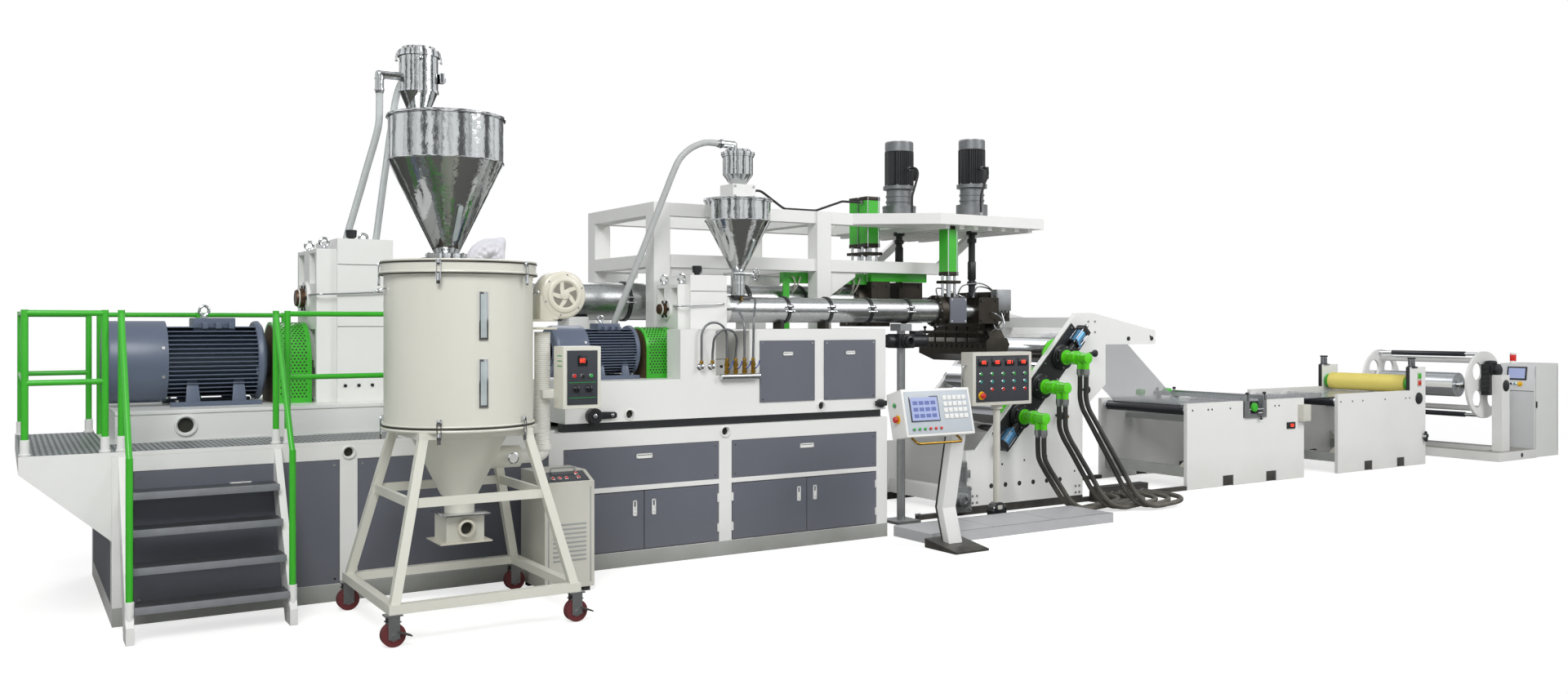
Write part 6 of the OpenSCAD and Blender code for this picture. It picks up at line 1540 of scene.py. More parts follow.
def end_nut(bm, path, r, size, long, sides):
    """A nut or clamp over each end of a line."""
    for tip, inner in ((path[0], path[1]), (path[-1], path[-2])):
        way = (inner - tip).normalized()
        turned(bm, tip, way, [(0.002, r), (0.002, r * size), (long, r * size),
                              (long + 0.003, r * (size - 0.08)), (long + 0.003, r)], sides)


nuts, clamps, collars = bmesh.new(), bmesh.new(), bmesh.new()
for k, points in enumerate(WATER):
    path = hose("water_hose_%d" % (k + 1), points, 0.022, black_hose, "water_hoses",
                0.02)
    end_nut(clamps, path, 0.022, 1.13, 0.016, 24)
for k, points in enumerate(CONVEY):
    wall = clear_hose if k < 2 else grey_hose
    path = hose("conveying_hose_%d" % (k + 1), points, 0.026, wall, "conveying_hoses",
                0.007, 0.0022)
    end_nut(clamps, path, 0.026, 1.12, 0.02, 24)
    turned(collars, path[-1], UP, [(0, 0.045), (0.008, 0.045), (0.011, 0.036), (0.07, 0.036),
                                   (0.073, 0.03)], 32)
for k, points in enumerate(BRAID):
    path = hose("braided_hose_%d" % (k + 1), points, 0.009, braid, "service_lines",
                0.004, 0.0007)
    end_nut(nuts, path, 0.009, 1.55, 0.022, 6)
for k, points in enumerate(CABLE):
    path = hose("motor_cable_%d" % (k + 1), points, 0.010, rubber, "service_lines",
                0.012)
    end_nut(clamps, path, 0.010, 1.6, 0.03, 6)
piece("hose_nuts", nuts, brass)
piece("hose_clamps", clamps, zinc)
piece("foot_collars", collars, zinc)

# Web, trim table and puller
# The clear sheet runs over black rubber rollers carried in two white side plates, past a slitter with
# clamped blade holders, into a nip whose yellow rubber roll is pressed down by two air cylinders.

# extruded sheet: half see-through and glossy, with long slow waves
film = surface("clear plastic sheet", "#eef0f3", "#e4e7eb", 0.12, patch_mm=500, grain_mm=80, grain=0.04,
               spread=0.04)
tuned(film, {"Alpha": 0.5})
# ground rubber with a dark satin face, and warm matt polyurethane
roller_rubber = surface("smooth black roller rubber", "#25272c", "#2e3036", 0.28, patch_mm=120,
                        grain_mm=1.5, grain=0.03)
yellow_rubber = surface("yellow polyurethane", "#f0df78", "#e6d46a", 0.5, patch_mm=160, grain=0.12)
dress(film, "plastic_web")
dress(roller_rubber, "trim_rollers")
dress(aluminium, "slitter")
dress_faces("trim_frame", [white_enamel, plinth_grey], lambda c, n: int(abs(c.y) < 0.549))
dress_faces("puller_frame", [white_enamel, plinth_grey, roller_rubber, polished_chrome],
            lambda c, n: 3 if c.z > 1.161 else 2 if abs(c.y) < 0.54 and c.z > 0.5 else int(abs(c.y) < 0.549))
dress_faces("puller_roll", [yellow_rubber, polished_chrome], lambda c, n: int(abs(c.y) > 0.491))
table_front = -0.59
black_fit, silver_fit, green_fit, grey_fit, figures = [bmesh.new() for k in range(5)]
spots = []
# black pocket plates, roller ends and plate screws on both tables
for x0, long, holes in ((6.845, 1.92, (6.93, 7.17, 7.23, 7.52, 8.26, 8.33)),
                        (9.385, 1.75, (9.44, 9.66, 9.86, 10.30, 10.72, 10.80))):
    for part in (0.29, 0.66):
        for y in (table_front + 0.006, 0.556):
            block(black_fit, (x0 + part * long + 0.002, y, 0.004),
                  (x0 + (part + 0.09) * long - 0.002, y + 0.028, 0.108), 0.006)
    spots += on_front(holes, table_front, [0.80])
    for x in (x0 + 0.06, x0 + long - 0.16):
        for way in (-1, 1):
            plate(grey_fit, [(0, 0), (0.10, 0), (0.10, 0.012), (0.012, 0.10), (0, 0.10)],
                  (x + 0.10, way * 0.548, 0.22), (0, -way, 0), UP, -0.10 * way, 0.002)
heads("table_screws", spots, 0.010, 0.004, black_paint, 16)
for x in (6.925, 7.485, 8.295, 8.685, 9.465, 10.085):
    for y, way in ((-0.549, 1), (0.549, -1)):
        turned(silver_fit, (x, y, 0.798), BACK * way,
               [(0, 0.03), (0, 0.0506), (0.035, 0.0506), (0.036, 0.0498), (0.036, 0.03)], 32)
# slitter: cross rods, blade holders with clamp knobs, and the blade wheel in the near notch
for x in (7.778, 8.062):
    for y in (table_front - 0.012, 0.58):
        pipe(silver_fit, [(x, y, 0.87), (x, y, 0.945)], 0.012, 16)
        turned(black_fit, (x, y, 0.935), UP, [(0, 0.018), (0.012, 0.02), (0.022, 0.016), (0.024, 0.006)], 24)
pipe(silver_fit, [(7.80, table_front - 0.012, 0.775), (8.04, table_front - 0.012, 0.775)], 0.011, 16)
turned(green_fit, (7.885, table_front - 0.034, 0.80), BACK,
       [(0, 0.02), (0.002, 0.045), (0.02, 0.048), (0.03, 0.04), (0.03, 0.01)], 32)
block(black_fit, (7.87, table_front - 0.028, 0.735), (7.96, table_front + 0.02, 0.775), 0.008)
block(silver_fit, (7.935, table_front - 0.035, 0.715), (8.01, table_front + 0.01, 0.745), 0.006)
turned(black_fit, (7.985, table_front - 0.03, 0.705), -UP,
       [(0, 0.006), (0.02, 0.006), (0.024, 0.016), (0.036, 0.017), (0.04, 0.01)], 20)
for x in (7.49, 7.93):
    pipe(silver_fit, [(x, 0.57, 0.86), (x, 0.57, 0.885)], 0.012, 16)
    turned(green_fit, (x, 0.57, 0.88), UP, [(0, 0.02), (0.006, 0.05), (0.05, 0.052), (0.064, 0.044),
                                            (0.068, 0.015)], 32)
# counter with lit figures and a grey box, both near the right end of the front plate
block(black_fit, (8.46, table_front - 0.012, 0.545), (8.60, table_front + 0.004, 0.615), 0.004)
digits(figures, "150", (8.505, table_front - 0.0125, 0.566), RIGHT, UP, 0.014)
block(grey_fit, (8.66, table_front - 0.07, 0.62), (8.79, table_front + 0.002, 0.80), 0.005)
# puller: black slide guides, cylinder caps, green collars, hand knob, two push buttons, air filter
for y in (-0.585, 0.555):
    block(black_fit, (10.787, y - 0.004, 0.88), (10.83, y + 0.034, 1.165), 0.004)
    for z, tall in ((1.16, 0.016), (1.258, 0.016)):
        turned(black_fit, (10.875, y + 0.015, z), UP,
               [(0, 0.03), (0, 0.046), (tall - 0.004, 0.046), (tall, 0.042)], 32)
    block(silver_fit, (10.83, y - 0.012, 1.148), (10.96, y + 0.03, 1.168), 0.004)
turned(black_fit, (10.99, table_front - 0.016, 0.79), BACK,
       [(0, 0.05), (0.004, 0.066), (0.014, 0.07), (0.018, 0.05)], 40)
block(grey_fit, (10.955, table_front - 0.004, 0.93), (11.045, table_front + 0.002, 1.10), 0.002)
block(green_fit, (10.972, table_front - 0.014, 1.025), (11.028, table_front, 1.085), 0.004)
stops = bmesh.new()
block(stops, (10.972, table_front - 0.014, 0.945), (11.028, table_front, 1.0), 0.004)
turned(black_fit, (11.09, table_front - 0.03, 0.27), UP,
       [(0, 0.01), (0.01, 0.022), (0.06, 0.024), (0.065, 0.03), (0.09, 0.03), (0.10, 0.016), (0.12, 0.016),
        (0.125, 0.008)], 24)
block(silver_fit, (11.06, table_front - 0.05, 0.325), (11.12, table_front + 0.002, 0.352), 0.004)
collar = bmesh.new()
for y, way in ((-0.544, 1), (0.544, -1)):
    turned(collar, (10.925, y, 0.96), BACK * way,
           [(0, 0.032), (0, 0.08), (0.004, 0.085), (0.052, 0.085), (0.054, 0.08)], 40)
piece("nip_collars", collar, green_enamel, "puller_roll")
piece("table_fittings", black_fit, black_paint)
piece("table_steel", silver_fit, polished_chrome)
piece("table_knobs", green_fit, green_enamel)
piece("table_boxes", grey_fit, pale_grey)
piece("table_figures", figures, red_digits)
piece("puller_stop", stops, red_cap)

# Winder
# A turret of two white spoked wheels on a shaft in floor posts, carrying core stations, black guide
# rollers and one wound roll of film; a black gear drive turns it, and a sheet steel console stands beside.

wind_x, wind_z = 12.355, 0.915
# many turns of clear film look silvery, with streaks along the roll
wound = surface("wound clear film", "#c4c8cb", "#b2b6ba", 0.2, 0.55, patch_mm=200, grain_mm=4,
                stretch=(1, 0.02, 1))
# satin enamel with painted shade: the front faces take a greyer copy of the side enamel; the foot's top is
# worn and rough
console_front_shade = surface("console enamel, painted shade on the front", "#dedfe0", "#d6d7d8", 0.4, patch_mm=260, grain_mm=2.5)
console_side = surface("console side enamel", "#e6e8e4", "#dfe1dc", 0.4, patch_mm=260, grain_mm=2.5)
beam_top = surface("worn top of the foot", "#8f8c87", "#a19e98", 0.5, patch_mm=80, grain_mm=3, grain=0.1)


def turret_part(c, n):
    """The finish of a turret face: film, chrome or white by where it lies."""
    if math.hypot(c.x - wind_x, c.z - wind_z) > 0.41 or abs(n.y) > 0.5 and abs(c.y) > 0.56:
        return 0
    away = math.hypot(c.x - wind_x + 0.262, c.z - wind_z)
    if 0.10 < away < 0.16 and abs(c.y) < 0.53 and abs(c.x - wind_x + 0.06) < 0.36:
        return 1
    if abs(c.z - wind_z) < 0.06 and abs(c.y) < 0.71:
        return 2
    if abs(abs(c.z - wind_z) - 0.38) < 0.03 and abs(c.x - wind_x + 0.06) < 0.03:
        return 2
    return 0


dress_faces("winder_turret", [white_enamel, wound, polished_chrome], turret_part)
dress_faces("winder_frame", [white_enamel, black_paint, beam_top],
            lambda c, n: 1 if -0.7811 < c.y < -0.679 and c.z > 0.7 else 2 if n.z > 0.9 and c.z < 0.12 else 0)
# painted shade: the faces turned to -x, the console's front, take the greyer copy of the enamel
dress_faces("winder_cabinet", [console_front_shade, console_side, white_enamel],
            lambda c, n: 2 if c.z > 1.171 else int(n.x > -0.5))
sleeves, ends, hubs = bmesh.new(), bmesh.new(), bmesh.new()
for s in (-1, 1):
    place = (wind_x - 0.06, -0.44, wind_z + s * 0.38)
    turned(sleeves, place, BACK, [(0, 0.022), (0, 0.029), (0.004, 0.031), (0.956, 0.031), (0.96, 0.029),
                                  (0.96, 0.022)], 32)
for x in (wind_x - 0.262, wind_x + 0.262):
    for y, way in ((-0.619, BACK), (0.699, FRONT)):
        turned(hubs, (x, y, wind_z), way, [(0, 0.06), (0.03, 0.06), (0.05, 0.045), (0.075, 0.044)], 32)
    turned(ends, (x, -0.545, wind_z), BACK, [(0, 0.03), (0, 0.046), (0.012, 0.048), (0.066, 0.048),
                                             (0.07, 0.04)], 32)
turned(hubs, (wind_x, -0.651, wind_z), FRONT, [(0, 0.10), (0.006, 0.10), (0.008, 0.075), (0.018, 0.072),
                                               (0.018, 0.055)], 40)
piece("turret_sleeves", sleeves, roller_rubber, "winder_turret")
piece("turret_cores", ends, polished_chrome, "winder_turret")
piece("turret_hubs", hubs, black_paint, "winder_turret")
heads("turret_bolts", ring_of_bolts((wind_x, -0.655, wind_z), FRONT, 0.085, turns(6)),
      0.008, 0.010, zinc, 6, "winder_turret")
# gear drive: a ribbed rounded cover, motor cap and eye on the front of its flange
bm = bmesh.new()
block(bm, (12.225, -0.80, 1.05), (12.445, -0.775, 1.165), 0.02)
for k in range(6):
    z = 0.83 + 0.058 * k
    block(bm, (12.19, -0.775, z), (12.21, -0.685, z + 0.022), 0.004)
turned(bm, (12.335, -0.73, 1.172), UP, [(0, 0.07), (0.03, 0.07), (0.045, 0.055), (0.048, 0.02)], 32)
turned(bm, (12.335, -0.799, 1.10), FRONT, [(0, 0.075), (0.035, 0.075), (0.045, 0.062), (0.047, 0.03)], 32)
for y, way in ((-0.901, FRONT), (0.89, BACK)):
    turned(bm, (wind_x, y, wind_z), way, [(0, 0.07), (0.008, 0.07), (0.012, 0.06), (0.012, 0.02)], 40)
turned(bm, (12.60, -0.972, 0.055), BACK, [(0, 0.026), (0.004, 0.03), (0.01, 0.03)], 24)
piece("winder_drive", bm, black_paint)
# console: screen, buttons, door seams, handle and beacon; its upper face leans back
console_at, console_up = Vector((12.955, -0.50, 0.83)), Vector((0.06, 0, 0.34)).normalized()
console_out = FRONT.cross(console_up)


def on_console(a, b, proud=0.0):
    """A place on the leaning face of the console."""
    return console_at + FRONT * a + console_up * b + console_out * proud


frames, lit, chrome = bmesh.new(), bmesh.new(), bmesh.new()
for bm, low, high, proud in ((frames, (0.095, 0.135), (0.335, 0.305), 0.006),
                             (lit, (0.115, 0.155), (0.315, 0.285), 0.0075)):
    plate(bm, rect(0, 0, high[0] - low[0], high[1] - low[1]), on_console(*low, proud), FRONT, console_up,
          proud + 0.003, 0.002 if bm is frames else 0)
caps = [bmesh.new() for k in range(2)]
for k, a in enumerate((0.11, 0.155, 0.20)):
    push_button(chrome, caps[0] if k < 2 else caps[1], on_console(a, 0.085), console_out, 0.013)
yellow, stops = bmesh.new(), bmesh.new()
stop_button(yellow, stops, on_console(0.262, 0.085), console_out, 0.032)
block(frames, (12.951, -0.935, 0.826), (12.957, -0.505, 0.831), 0.001)
for x in (12.985, 13.53):
    block(frames, (x, -0.9415, 0.06), (x + 0.003, -0.938, 1.14), 0.001)
block(frames, (12.995, -0.952, 0.62), (13.015, -0.938, 0.70), 0.003)
block(frames, (12.957, -0.938, 0.0), (13.553, -0.502, 0.05), 0.002)
piece("console_frames", frames, black_paint)
piece("console_screen", lit, lit_screen)
piece("console_collars", chrome, polished_chrome)
piece("console_knobs", caps[0], black_paint)
piece("console_start", caps[1], teal_cap)
piece("console_stop_plate", yellow, yellow_cap)
piece("console_stop", stops, yellow_cap)
lens = bmesh.new()
turned(lens, (13.105, -0.61, 1.20), UP, [(0, 0.036), (0.07, 0.0375), (0.085, 0.034), (0.097, 0.022),
                                         (0.1005, 0.008)], 32)
piece("console_beacon", lens, glowing("red beacon lens", "#c3211c", 0.25))

# Dryer, blower and filter bag
# A beige enamelled drum with a clamped lid on an angle-iron stand, warmed by a snail blower through a
# ribbed duct; a control box hangs on the duct, and a white cloth filter bag sits over the lid's vent.

# stove enamel: even and semi-gloss on the drum, glossier on castings, plain on the duct
beige = surface("beige baked enamel", "#e0dfd4", "#d9d8cd", 0.36, patch_mm=420, grain_mm=3, grain=0.04,
                coat=0.2, soft_edge_mm=3)
cream = surface("cream cast enamel", "#e3dfd0", "#dad6c6", 0.32, patch_mm=120, grain_mm=3, coat=0.3,
                soft_edge_mm=3)
duct_white = surface("white duct sheet", "#e6e5df", "#dcdbd4", 0.4, patch_mm=90)
vane_shade = surface("shaded blower inlet", "#8f8a80", "#7d786e", 0.55, patch_mm=30)
dry_x, dry_y, drum_r = -0.982, -1.81, 0.417
dress(beige, "dryer_body", "dryer_stand")


def round_drum(turn, r, z):
    """A place round the drum, by angle, distance from its axis and height."""
    return Vector((dry_x + r * math.cos(turn), dry_y + r * math.sin(turn), z))


hoops, chrome = bmesh.new(), bmesh.new()
for r, z, thick in ((0.434, 2.034, 0.006), (0.436, 1.970, 0.008), (0.421, 1.118, 0.006),
                    (0.424, 1.094, 0.009)):
    hoop(hoops, (dry_x, dry_y, z), UP, r, thick, 8, 96)
piece("drum_hoops", hoops, beige)
hoops = bmesh.new()
for r, z in ((0.4375, 2.024), (0.4405, 1.9605), (0.4255, 1.107)):
    hoop(hoops, (dry_x, dry_y, z), UP, r, 0.0035, 8, 96)
piece("drum_clamp_wires", hoops, dark_steel)
for turn in [math.radians(a) for a in (-122, -52, 18, 88, 158)]:
    side = Vector((-math.sin(turn), math.cos(turn), 0))
    for z, r in ((1.955, 0.436), (1.080, 0.424)):
        # toggle latch: keeper above, loop of wire, lever plate below
        for low, high, wide, stand in ((0.052, 0.082, 0.016, 0.010), (-0.055, 0.004, 0.011, 0.016)):
            plate(chrome, [(-wide, low), (wide, low), (wide * 0.8, high), (-wide * 0.8, high)],
                  round_drum(turn, r + stand, z), side, UP, 0.012, 0.003)
        loop = [round_drum(turn, r + 0.012, z) + side * s + UP * h
                for s, h in ((-0.011, -0.03), (-0.011, 0.06), (-0.006, 0.07), (0.006, 0.07), (0.011, 0.06),
                             (0.011, -0.03))]
        pipe(chrome, smooth_route(loop, 4), 0.003, 8)
panes = bmesh.new()
for low, high in ((1.593, 1.860), (1.222, 1.489)):
    plate(chrome, rect(-0.026, low, 0.026, high), (dry_x, dry_y - drum_r - 0.008, 0), RIGHT, UP, 0.016, 0.004)
    plate(panes, rect(-0.017, low + 0.014, 0.017, high - 0.014),
          (dry_x, dry_y - drum_r - 0.0095, 0), RIGHT, UP, 0.004, 0.001)
piece("drum_panes", panes, glass)
for turn in [math.radians(a) for a in (176, -4)]:
    side = Vector((-math.sin(turn), math.cos(turn), 0)) * 0.05
    half = ((0, 1.88, 1), (0.03, 1.875, 1), (0.045, 1.86, 0.8))
    grip = [round_drum(turn, drum_r + out, z) - side * part for out, z, part in half]
    grip += [round_drum(turn, drum_r + out, z) + side * part for out, z, part in half[::-1]]
    pipe(chrome, smooth_route(grip, 5), 0.005, 10)
# discharge port on the suction box, with its flange below and a dark disc of painted shade in its mouth
port, shade = bmesh.new(), bmesh.new()
turned(port, (dry_x, dry_y - 0.11, 0.52), FRONT, [(-0.002, 0.05), (0.030, 0.05), (0.032, 0.046),
                                                  (0.032, 0.036), (0.004, 0.034)], 36)
turned(shade, (dry_x, dry_y - 0.11, 0.52), FRONT, [(0.003, 0.0335), (0.006, 0.0335)], 36)
block(port, (dry_x - 0.15, dry_y - 0.14, 0.434), (dry_x + 0.15, dry_y + 0.14, 0.442), 0.002)
piece("suction_port", port, cream)
piece("suction_mouth", shade, shade_in)
# thermometer on the warm air inlet, and the slide gate under the cone
turned(chrome, (-0.70, dry_y - 0.075, 0.90), FRONT,
       [(-0.02, 0.008), (0.03, 0.008), (0.03, 0.032), (0.042, 0.034), (0.045, 0.028)], 28)
block(chrome, (dry_x - 0.13, dry_y - 0.16, 0.592), (dry_x + 0.13, dry_y + 0.12, 0.602), 0.002)
piece("drum_latches", chrome, polished_chrome)
dial = bmesh.new()
turned(dial, (-0.70, dry_y - 0.1185, 0.90), FRONT, [(0, 0.026), (0.002, 0.026)], 28)
piece("warm_air_dial", dial, white_enamel)

# snail blower with a five-vane inlet, pressed flanges and corrugated duct
fan_x, fan_z, fan_front, duct_x = -0.375, 1.856, -1.90, -0.477
inlet_x = fan_x + 0.004
bm = bmesh.new()
turned(bm, (fan_x, fan_front, fan_z), BACK,
       [(0, 0.05), (0, 0.126), (0.006, 0.138), (0.018, 0.145), (0.132, 0.145), (0.144, 0.138), (0.15, 0.126),
        (0.15, 0.05)], 64)
block(bm, (fan_x - 0.149, fan_front + 0.004, 1.706), (fan_x - 0.03, fan_front + 0.146, fan_z), 0.014)
turned(bm, (inlet_x, fan_front - 0.001, fan_z), FRONT,
       [(0, 0.108), (0.006, 0.106), (0.011, 0.098), (0.011, 0.084), (0.005, 0.080), (0.005, 0.01)], 56)
turned(bm, (inlet_x, fan_front - 0.006, fan_z), FRONT,
       [(0, 0.03), (0.007, 0.026), (0.010, 0.012), (0.011, 0.004)], 32)
for z in (1.696, 1.648):
    turned(bm, (duct_x, dry_y, z), UP, [(0, 0.07), (0, 0.088), (0.003, 0.09), (0.012, 0.09),
                                        (0.014, 0.086)], 40)
turned(bm, (fan_x, fan_front + 0.149, fan_z), BACK,
       [(0, 0.085), (0.10, 0.085), (0.12, 0.075), (0.125, 0.03)], 40)
piece("snail_blower", bm, cream)
vanes = bmesh.new()
for k in range(5):
    start = math.radians(100 + 72 * k)
    outer = [(0.076, start - 1.02 + 0.24 * j) for j in range(5)]
    edge = [(0.030, start)] + outer[::-1] + [(0.050, start - 0.72), (0.032, start - 0.30)]
    outline = [(inlet_x + r * math.cos(a), fan_z + r * math.sin(a)) for r, a in edge]
    plate(vanes, outline, (0, fan_front - 0.0068, 0), RIGHT, UP, 0.003, 0)
piece("blower_inlet", vanes, vane_shade)
heads("blower_screws", ring_of_bolts((fan_x, fan_front, fan_z), FRONT, 0.122, turns(6, math.radians(20))),
      0.005, 0.004, zinc, 12)
bm = bmesh.new()
ribs = [(0.006 * k, 0.0462 + 0.0022 * (k % 2)) for k in range(113)]
turned(bm, (duct_x, dry_y, 0.962), UP, [(0, 0.04)] + ribs + [(0.672, 0.04)], 40)
turned(bm, (duct_x, dry_y, 0.93), UP, [(0, 0.04), (0, 0.055), (0.03, 0.055), (0.03, 0.04)], 40)
pipe(bm, smooth_route([(duct_x, dry_y, 0.965), (duct_x, dry_y, 0.935), (-0.485, dry_y, 0.915),
                       (-0.505, dry_y, 0.903), (-0.53, dry_y, 0.90), (-0.64, dry_y, 0.90)], 5), 0.046, 32)
for low, high in (((-0.595, -1.84, 1.03), (-0.505, -1.78, 1.088)),
                  ((-0.507, -1.90, 1.24), (-0.337, -1.83, 1.29))):
    block(bm, low, high, 0.006)
piece("ribbed_duct", bm, duct_white, replaces=["dryer_blower"])

# control box on the duct: dark face with a counter, lamps, push buttons and two selectors
dry_face = -2.054
bm, face, lines = bmesh.new(), bmesh.new(), bmesh.new()
block(bm, (-0.442, dry_face + 0.004, 1.18), (-0.202, -1.90, 1.55), 0.008)
block(face, (-0.418, dry_face, 1.205), (-0.226, dry_face + 0.006, 1.525), 0.002)
piece("dryer_box", bm, beige, replaces=["dryer_control"])
piece("dryer_face", face, panel_foil)
chrome, windows, figures = bmesh.new(), bmesh.new(), bmesh.new()
block(windows, (-0.352, dry_face - 0.006, 1.435), (-0.292, dry_face + 0.002, 1.495), 0.002)
digits(figures, "80", (-0.340, dry_face - 0.0065, 1.455), RIGHT, UP, 0.011)
caps = [bmesh.new() for k in range(3)]
for k, x in enumerate((-0.375, -0.322, -0.269)):
    push_button(chrome, caps[k], (x, dry_face, 1.375), FRONT, 0.011)
for x in (-0.362, -0.282):
    turned(windows, (x, dry_face, 1.30), FRONT,
           [(0, 0.022), (0.006, 0.022), (0.008, 0.014), (0.022, 0.013), (0.024, 0.008)], 28)
    block(windows, (x - 0.004, dry_face - 0.028, 1.282), (x + 0.004, dry_face - 0.016, 1.318), 0.002)
for z in (1.335, 1.245):
    block(lines, (-0.408, dry_face - 0.0015, z), (-0.236, dry_face + 0.001, z + 0.003), 0)
for k in range(3):
    block(lines, (-0.4425, -2.03, 1.43 + 0.03 * k), (-0.4415, -1.96, 1.437 + 0.03 * k), 0)
piece("dryer_collars", chrome, polished_chrome)
piece("dryer_windows", windows, smoked)
piece("dryer_figures", figures, red_digits)
piece("dryer_lines", lines, green_cap)
for name, cap, colour in zip(("red", "dark", "green"), caps, (red_cap, black_paint, green_cap)):
    piece("dryer_%s_button" % name, cap, colour)

# the bag: a sewn sleeve of white cloth that stands up from its neck and folds over to one side
# crossed threads 1.2 mm apart, drawn coarser than real ones to show; matt with a soft sheen
cloth, tree = new_material("woven white filter cloth")
place = add(tree, "ShaderNodeTexCoord").outputs["Object"]
threads = [add(tree, "ShaderNodeTexWave", {"Vector": place, "Scale": 260.0, "Distortion": 1.5, "Detail": 1.0},
               bands_direction=way).outputs[1] for way in ("X", "Z")]
weave = add(tree, "ShaderNodeMath", {0: threads[0], 1: threads[1]}, operation="MULTIPLY")
# painted shade: bluish grey patches at random over the cloth stand for the shade in its folds
fold_shade_patches = add(tree, "ShaderNodeTexNoise", {"Vector": place, "Scale": 18.0, "Detail": 5.0})
tint = add(tree, "ShaderNodeMix", {0: fold_shade_patches, 6: linear("#e3e2e8"), 7: linear("#d0cfd8")},
           data_type="RGBA").outputs[2]
bump = add(tree, "ShaderNodeBump", {"Height": weave, "Strength": 0.35, "Distance": 0.0006})
shader = add(tree, "ShaderNodeBsdfPrincipled", {"Base Color": tint, "Roughness": 0.85, "Sheen Weight": 0.4,
                                                "Normal": bump})
add(tree, "ShaderNodeOutputMaterial", {"Surface": shader})
bag_at = Vector((-0.782, -1.69, 2.036))
spine = smooth_route([(0.058, 0, 0.004), (0.062, 0.004, 0.045), (0.048, 0.006, 0.085),
                      (0.008, 0.004, 0.094), (-0.038, 0, 0.074), (-0.068, -0.002, 0.042),
                      (-0.080, -0.002, 0.016)], 6)
widths = [0.046, 0.050, 0.056, 0.058, 0.054, 0.046, 0.030]
sides = 40
bm = bmesh.new()
rows = []
for i, point in enumerate(spine):
    t = i / (len(spine) - 1)
    k = min(int(t * 6), 5)
    wide = widths[k] + (widths[k + 1] - widths[k]) * (t * 6 - k)
    ahead = (spine[min(i + 1, len(spine) - 1)] - spine[max(i - 1, 0)]).normalized()
    across = BACK
    up = ahead.cross(across).normalized()
    row = []
    for j in range(sides):
        a = 2 * math.pi * j / sides
        # long soft pleats that run with the sleeve and tighten on the inside of its bend
        inside = 0.5 - 0.5 * math.cos(a)
        pleat = 0.0038 * math.sin(7 * a + 5 * t) + 0.0055 * inside * math.sin(46 * t + 2 * math.sin(2 * a))
        out = across * math.sin(a) * 1.25 + up * -math.cos(a)
        spot = bag_at + point + out * (wide + pleat)
        # the sewn corner of the closed end's seam stands up as a tip
        tip = max(0.0, 1 - (spot - bag_at - Vector((0.092, 0.0, 0.118))).length / 0.075)
        spot += Vector((0.030, 0, 0.050)) * tip ** 1.5
        spot.z = max(spot.z, 2.0385 + 0.002 * math.sin(9 * a) ** 2)
        row.append(bm.verts.new(spot))
    rows.append(row)
skin(bm, rows)
bag = piece("cloth_bag", bm, cloth, replaces=["filter_bag"], angle=180)
bag.modifiers.new("smooth cloth", "SUBSURF").levels = 1
bm = bmesh.new()
turned(bm, (-0.726, -1.69, 2.034), UP, [(0, 0.055), (0.008, 0.056), (0.010, 0.050)], 40)
piece("bag_neck", bm, zinc)

# Loader and castors
# The suction loader is a sheet steel cabinet with louvres on four feet; the dryer's stand rolls on four
# castors with red polyurethane wheels in pressed forks, two of them with brake pedals.

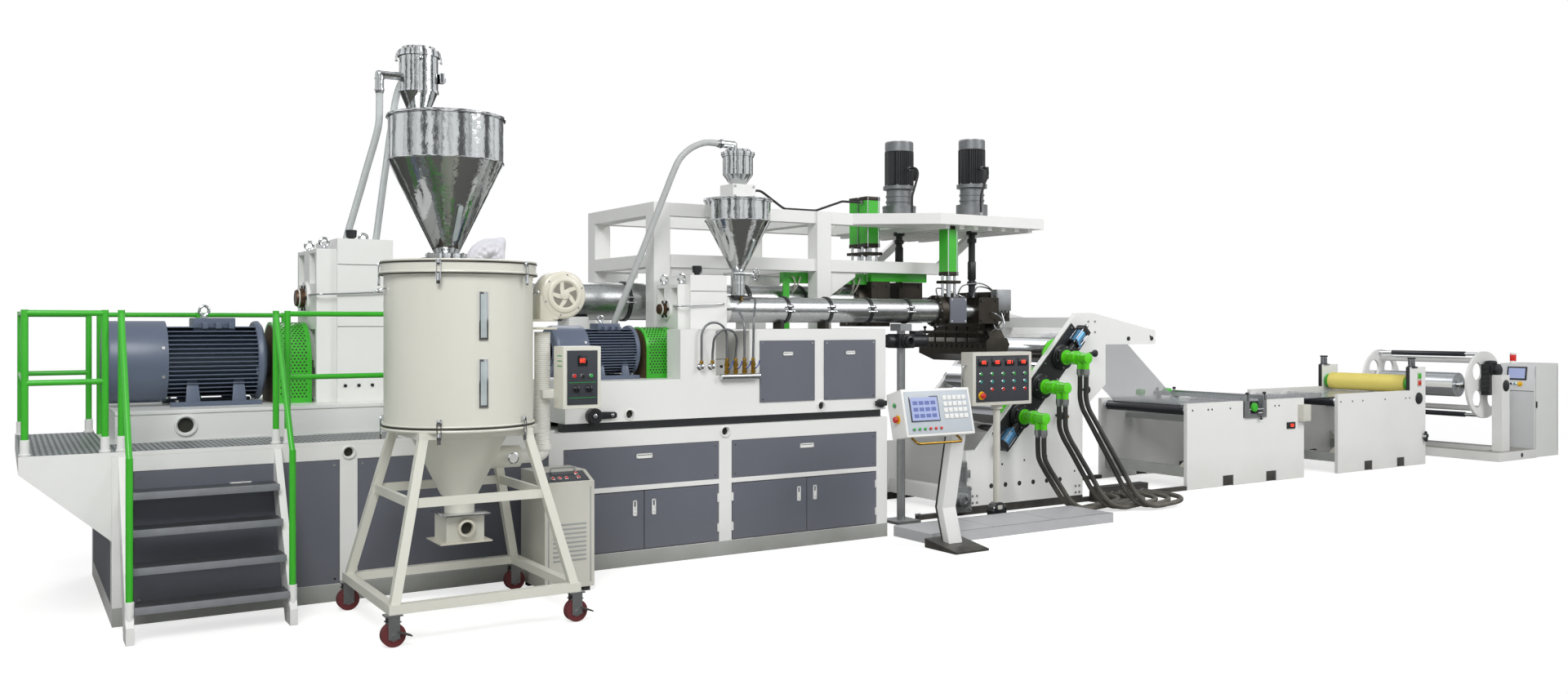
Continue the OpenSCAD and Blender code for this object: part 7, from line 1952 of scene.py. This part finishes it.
# cast polyurethane: dark red, satin and a little scuffed
wheel_red = surface("dark red polyurethane", "#6f3033", "#61292c", 0.42, patch_mm=40, grain_mm=1.5,
                    grain=0.08)
dress_faces("loader_unit", [pale_grey, black_paint], lambda c, n: int(c.z < 0.03))
dress(zinc, "casters")
dress(wheel_red, "caster_wheels")
bm = bmesh.new()
for k in range(9):
    block(bm, (-0.33, -1.623, 0.20 + 0.028 * k), (-0.11, -1.616, 0.212 + 0.028 * k), 0.003)
for x in (-0.36, -0.08):
    block(bm, (x - 0.004, -1.6215, 0.06), (x + 0.004, -1.617, 0.66), 0.001)
pipe(bm, smooth_route([(-0.30, -1.50, 0.748), (-0.30, -1.50, 0.765), (-0.28, -1.50, 0.772),
                       (-0.16, -1.50, 0.772), (-0.14, -1.50, 0.765), (-0.14, -1.50, 0.748)], 5), 0.006, 10)
piece("loader_louvres", bm, plinth_grey)
# dark switch panel on the slope of the loader's top
slope = Vector((0, 0.14, 0.06)).normalized()
slope_out = RIGHT.cross(slope)
face, caps = bmesh.new(), bmesh.new()
slope_at = Vector((-0.385, -1.62, 0.69)) + slope_out * 0.003
plate(face, rect(0.025, 0.015, 0.305, 0.138), slope_at, RIGHT, slope, 0.006, 0.002)
rims = bmesh.new()
for a, b in ((0.07, 0.05), (0.115, 0.05), (0.16, 0.05), (0.24, 0.05), (0.24, 0.10)):
    push_button(rims, caps, slope_at + RIGHT * a + slope * b, slope_out, 0.011)
piece("loader_panel", face, panel_foil)
piece("loader_collars", rims, polished_chrome)
piece("loader_buttons", caps, red_cap)
castor_x, castor_y = (-1.492, -0.472), (-2.30, -1.32)
bm, pedals = bmesh.new(), bmesh.new()
for x in castor_x:
    for y in castor_y:
        turned(bm, (x, y - 0.037, 0.062), BACK, [(0, 0.006), (0, 0.012), (0.005, 0.013), (0.069, 0.013),
                                                 (0.074, 0.012), (0.074, 0.006)], 6)
        turned(bm, (x, y - 0.0268, 0.062), BACK, [(0, 0.02), (0, 0.030), (0.0536, 0.030), (0.0536, 0.02)], 28)
        if y < -2:
            plate(pedals, [(0.02, 0.075), (0.085, 0.052), (0.088, 0.058), (0.024, 0.086)], (x, y - 0.02, 0),
                  RIGHT, UP, -0.04, 0.002)
piece("castor_axles", bm, zinc)
piece("castor_pedals", pedals, black_paint)
heads("castor_screws", [((x + i * 0.034, y + j * 0.026, 0.130), -UP) for x in castor_x for y in castor_y
                        for i in (-1, 1) for j in (-1, 1)], 0.005, 0.006, zinc, 6)

# Sizes
# The box of the dressed line, from every shown piece but the backdrop.
bpy.context.view_layer.update()
low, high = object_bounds()
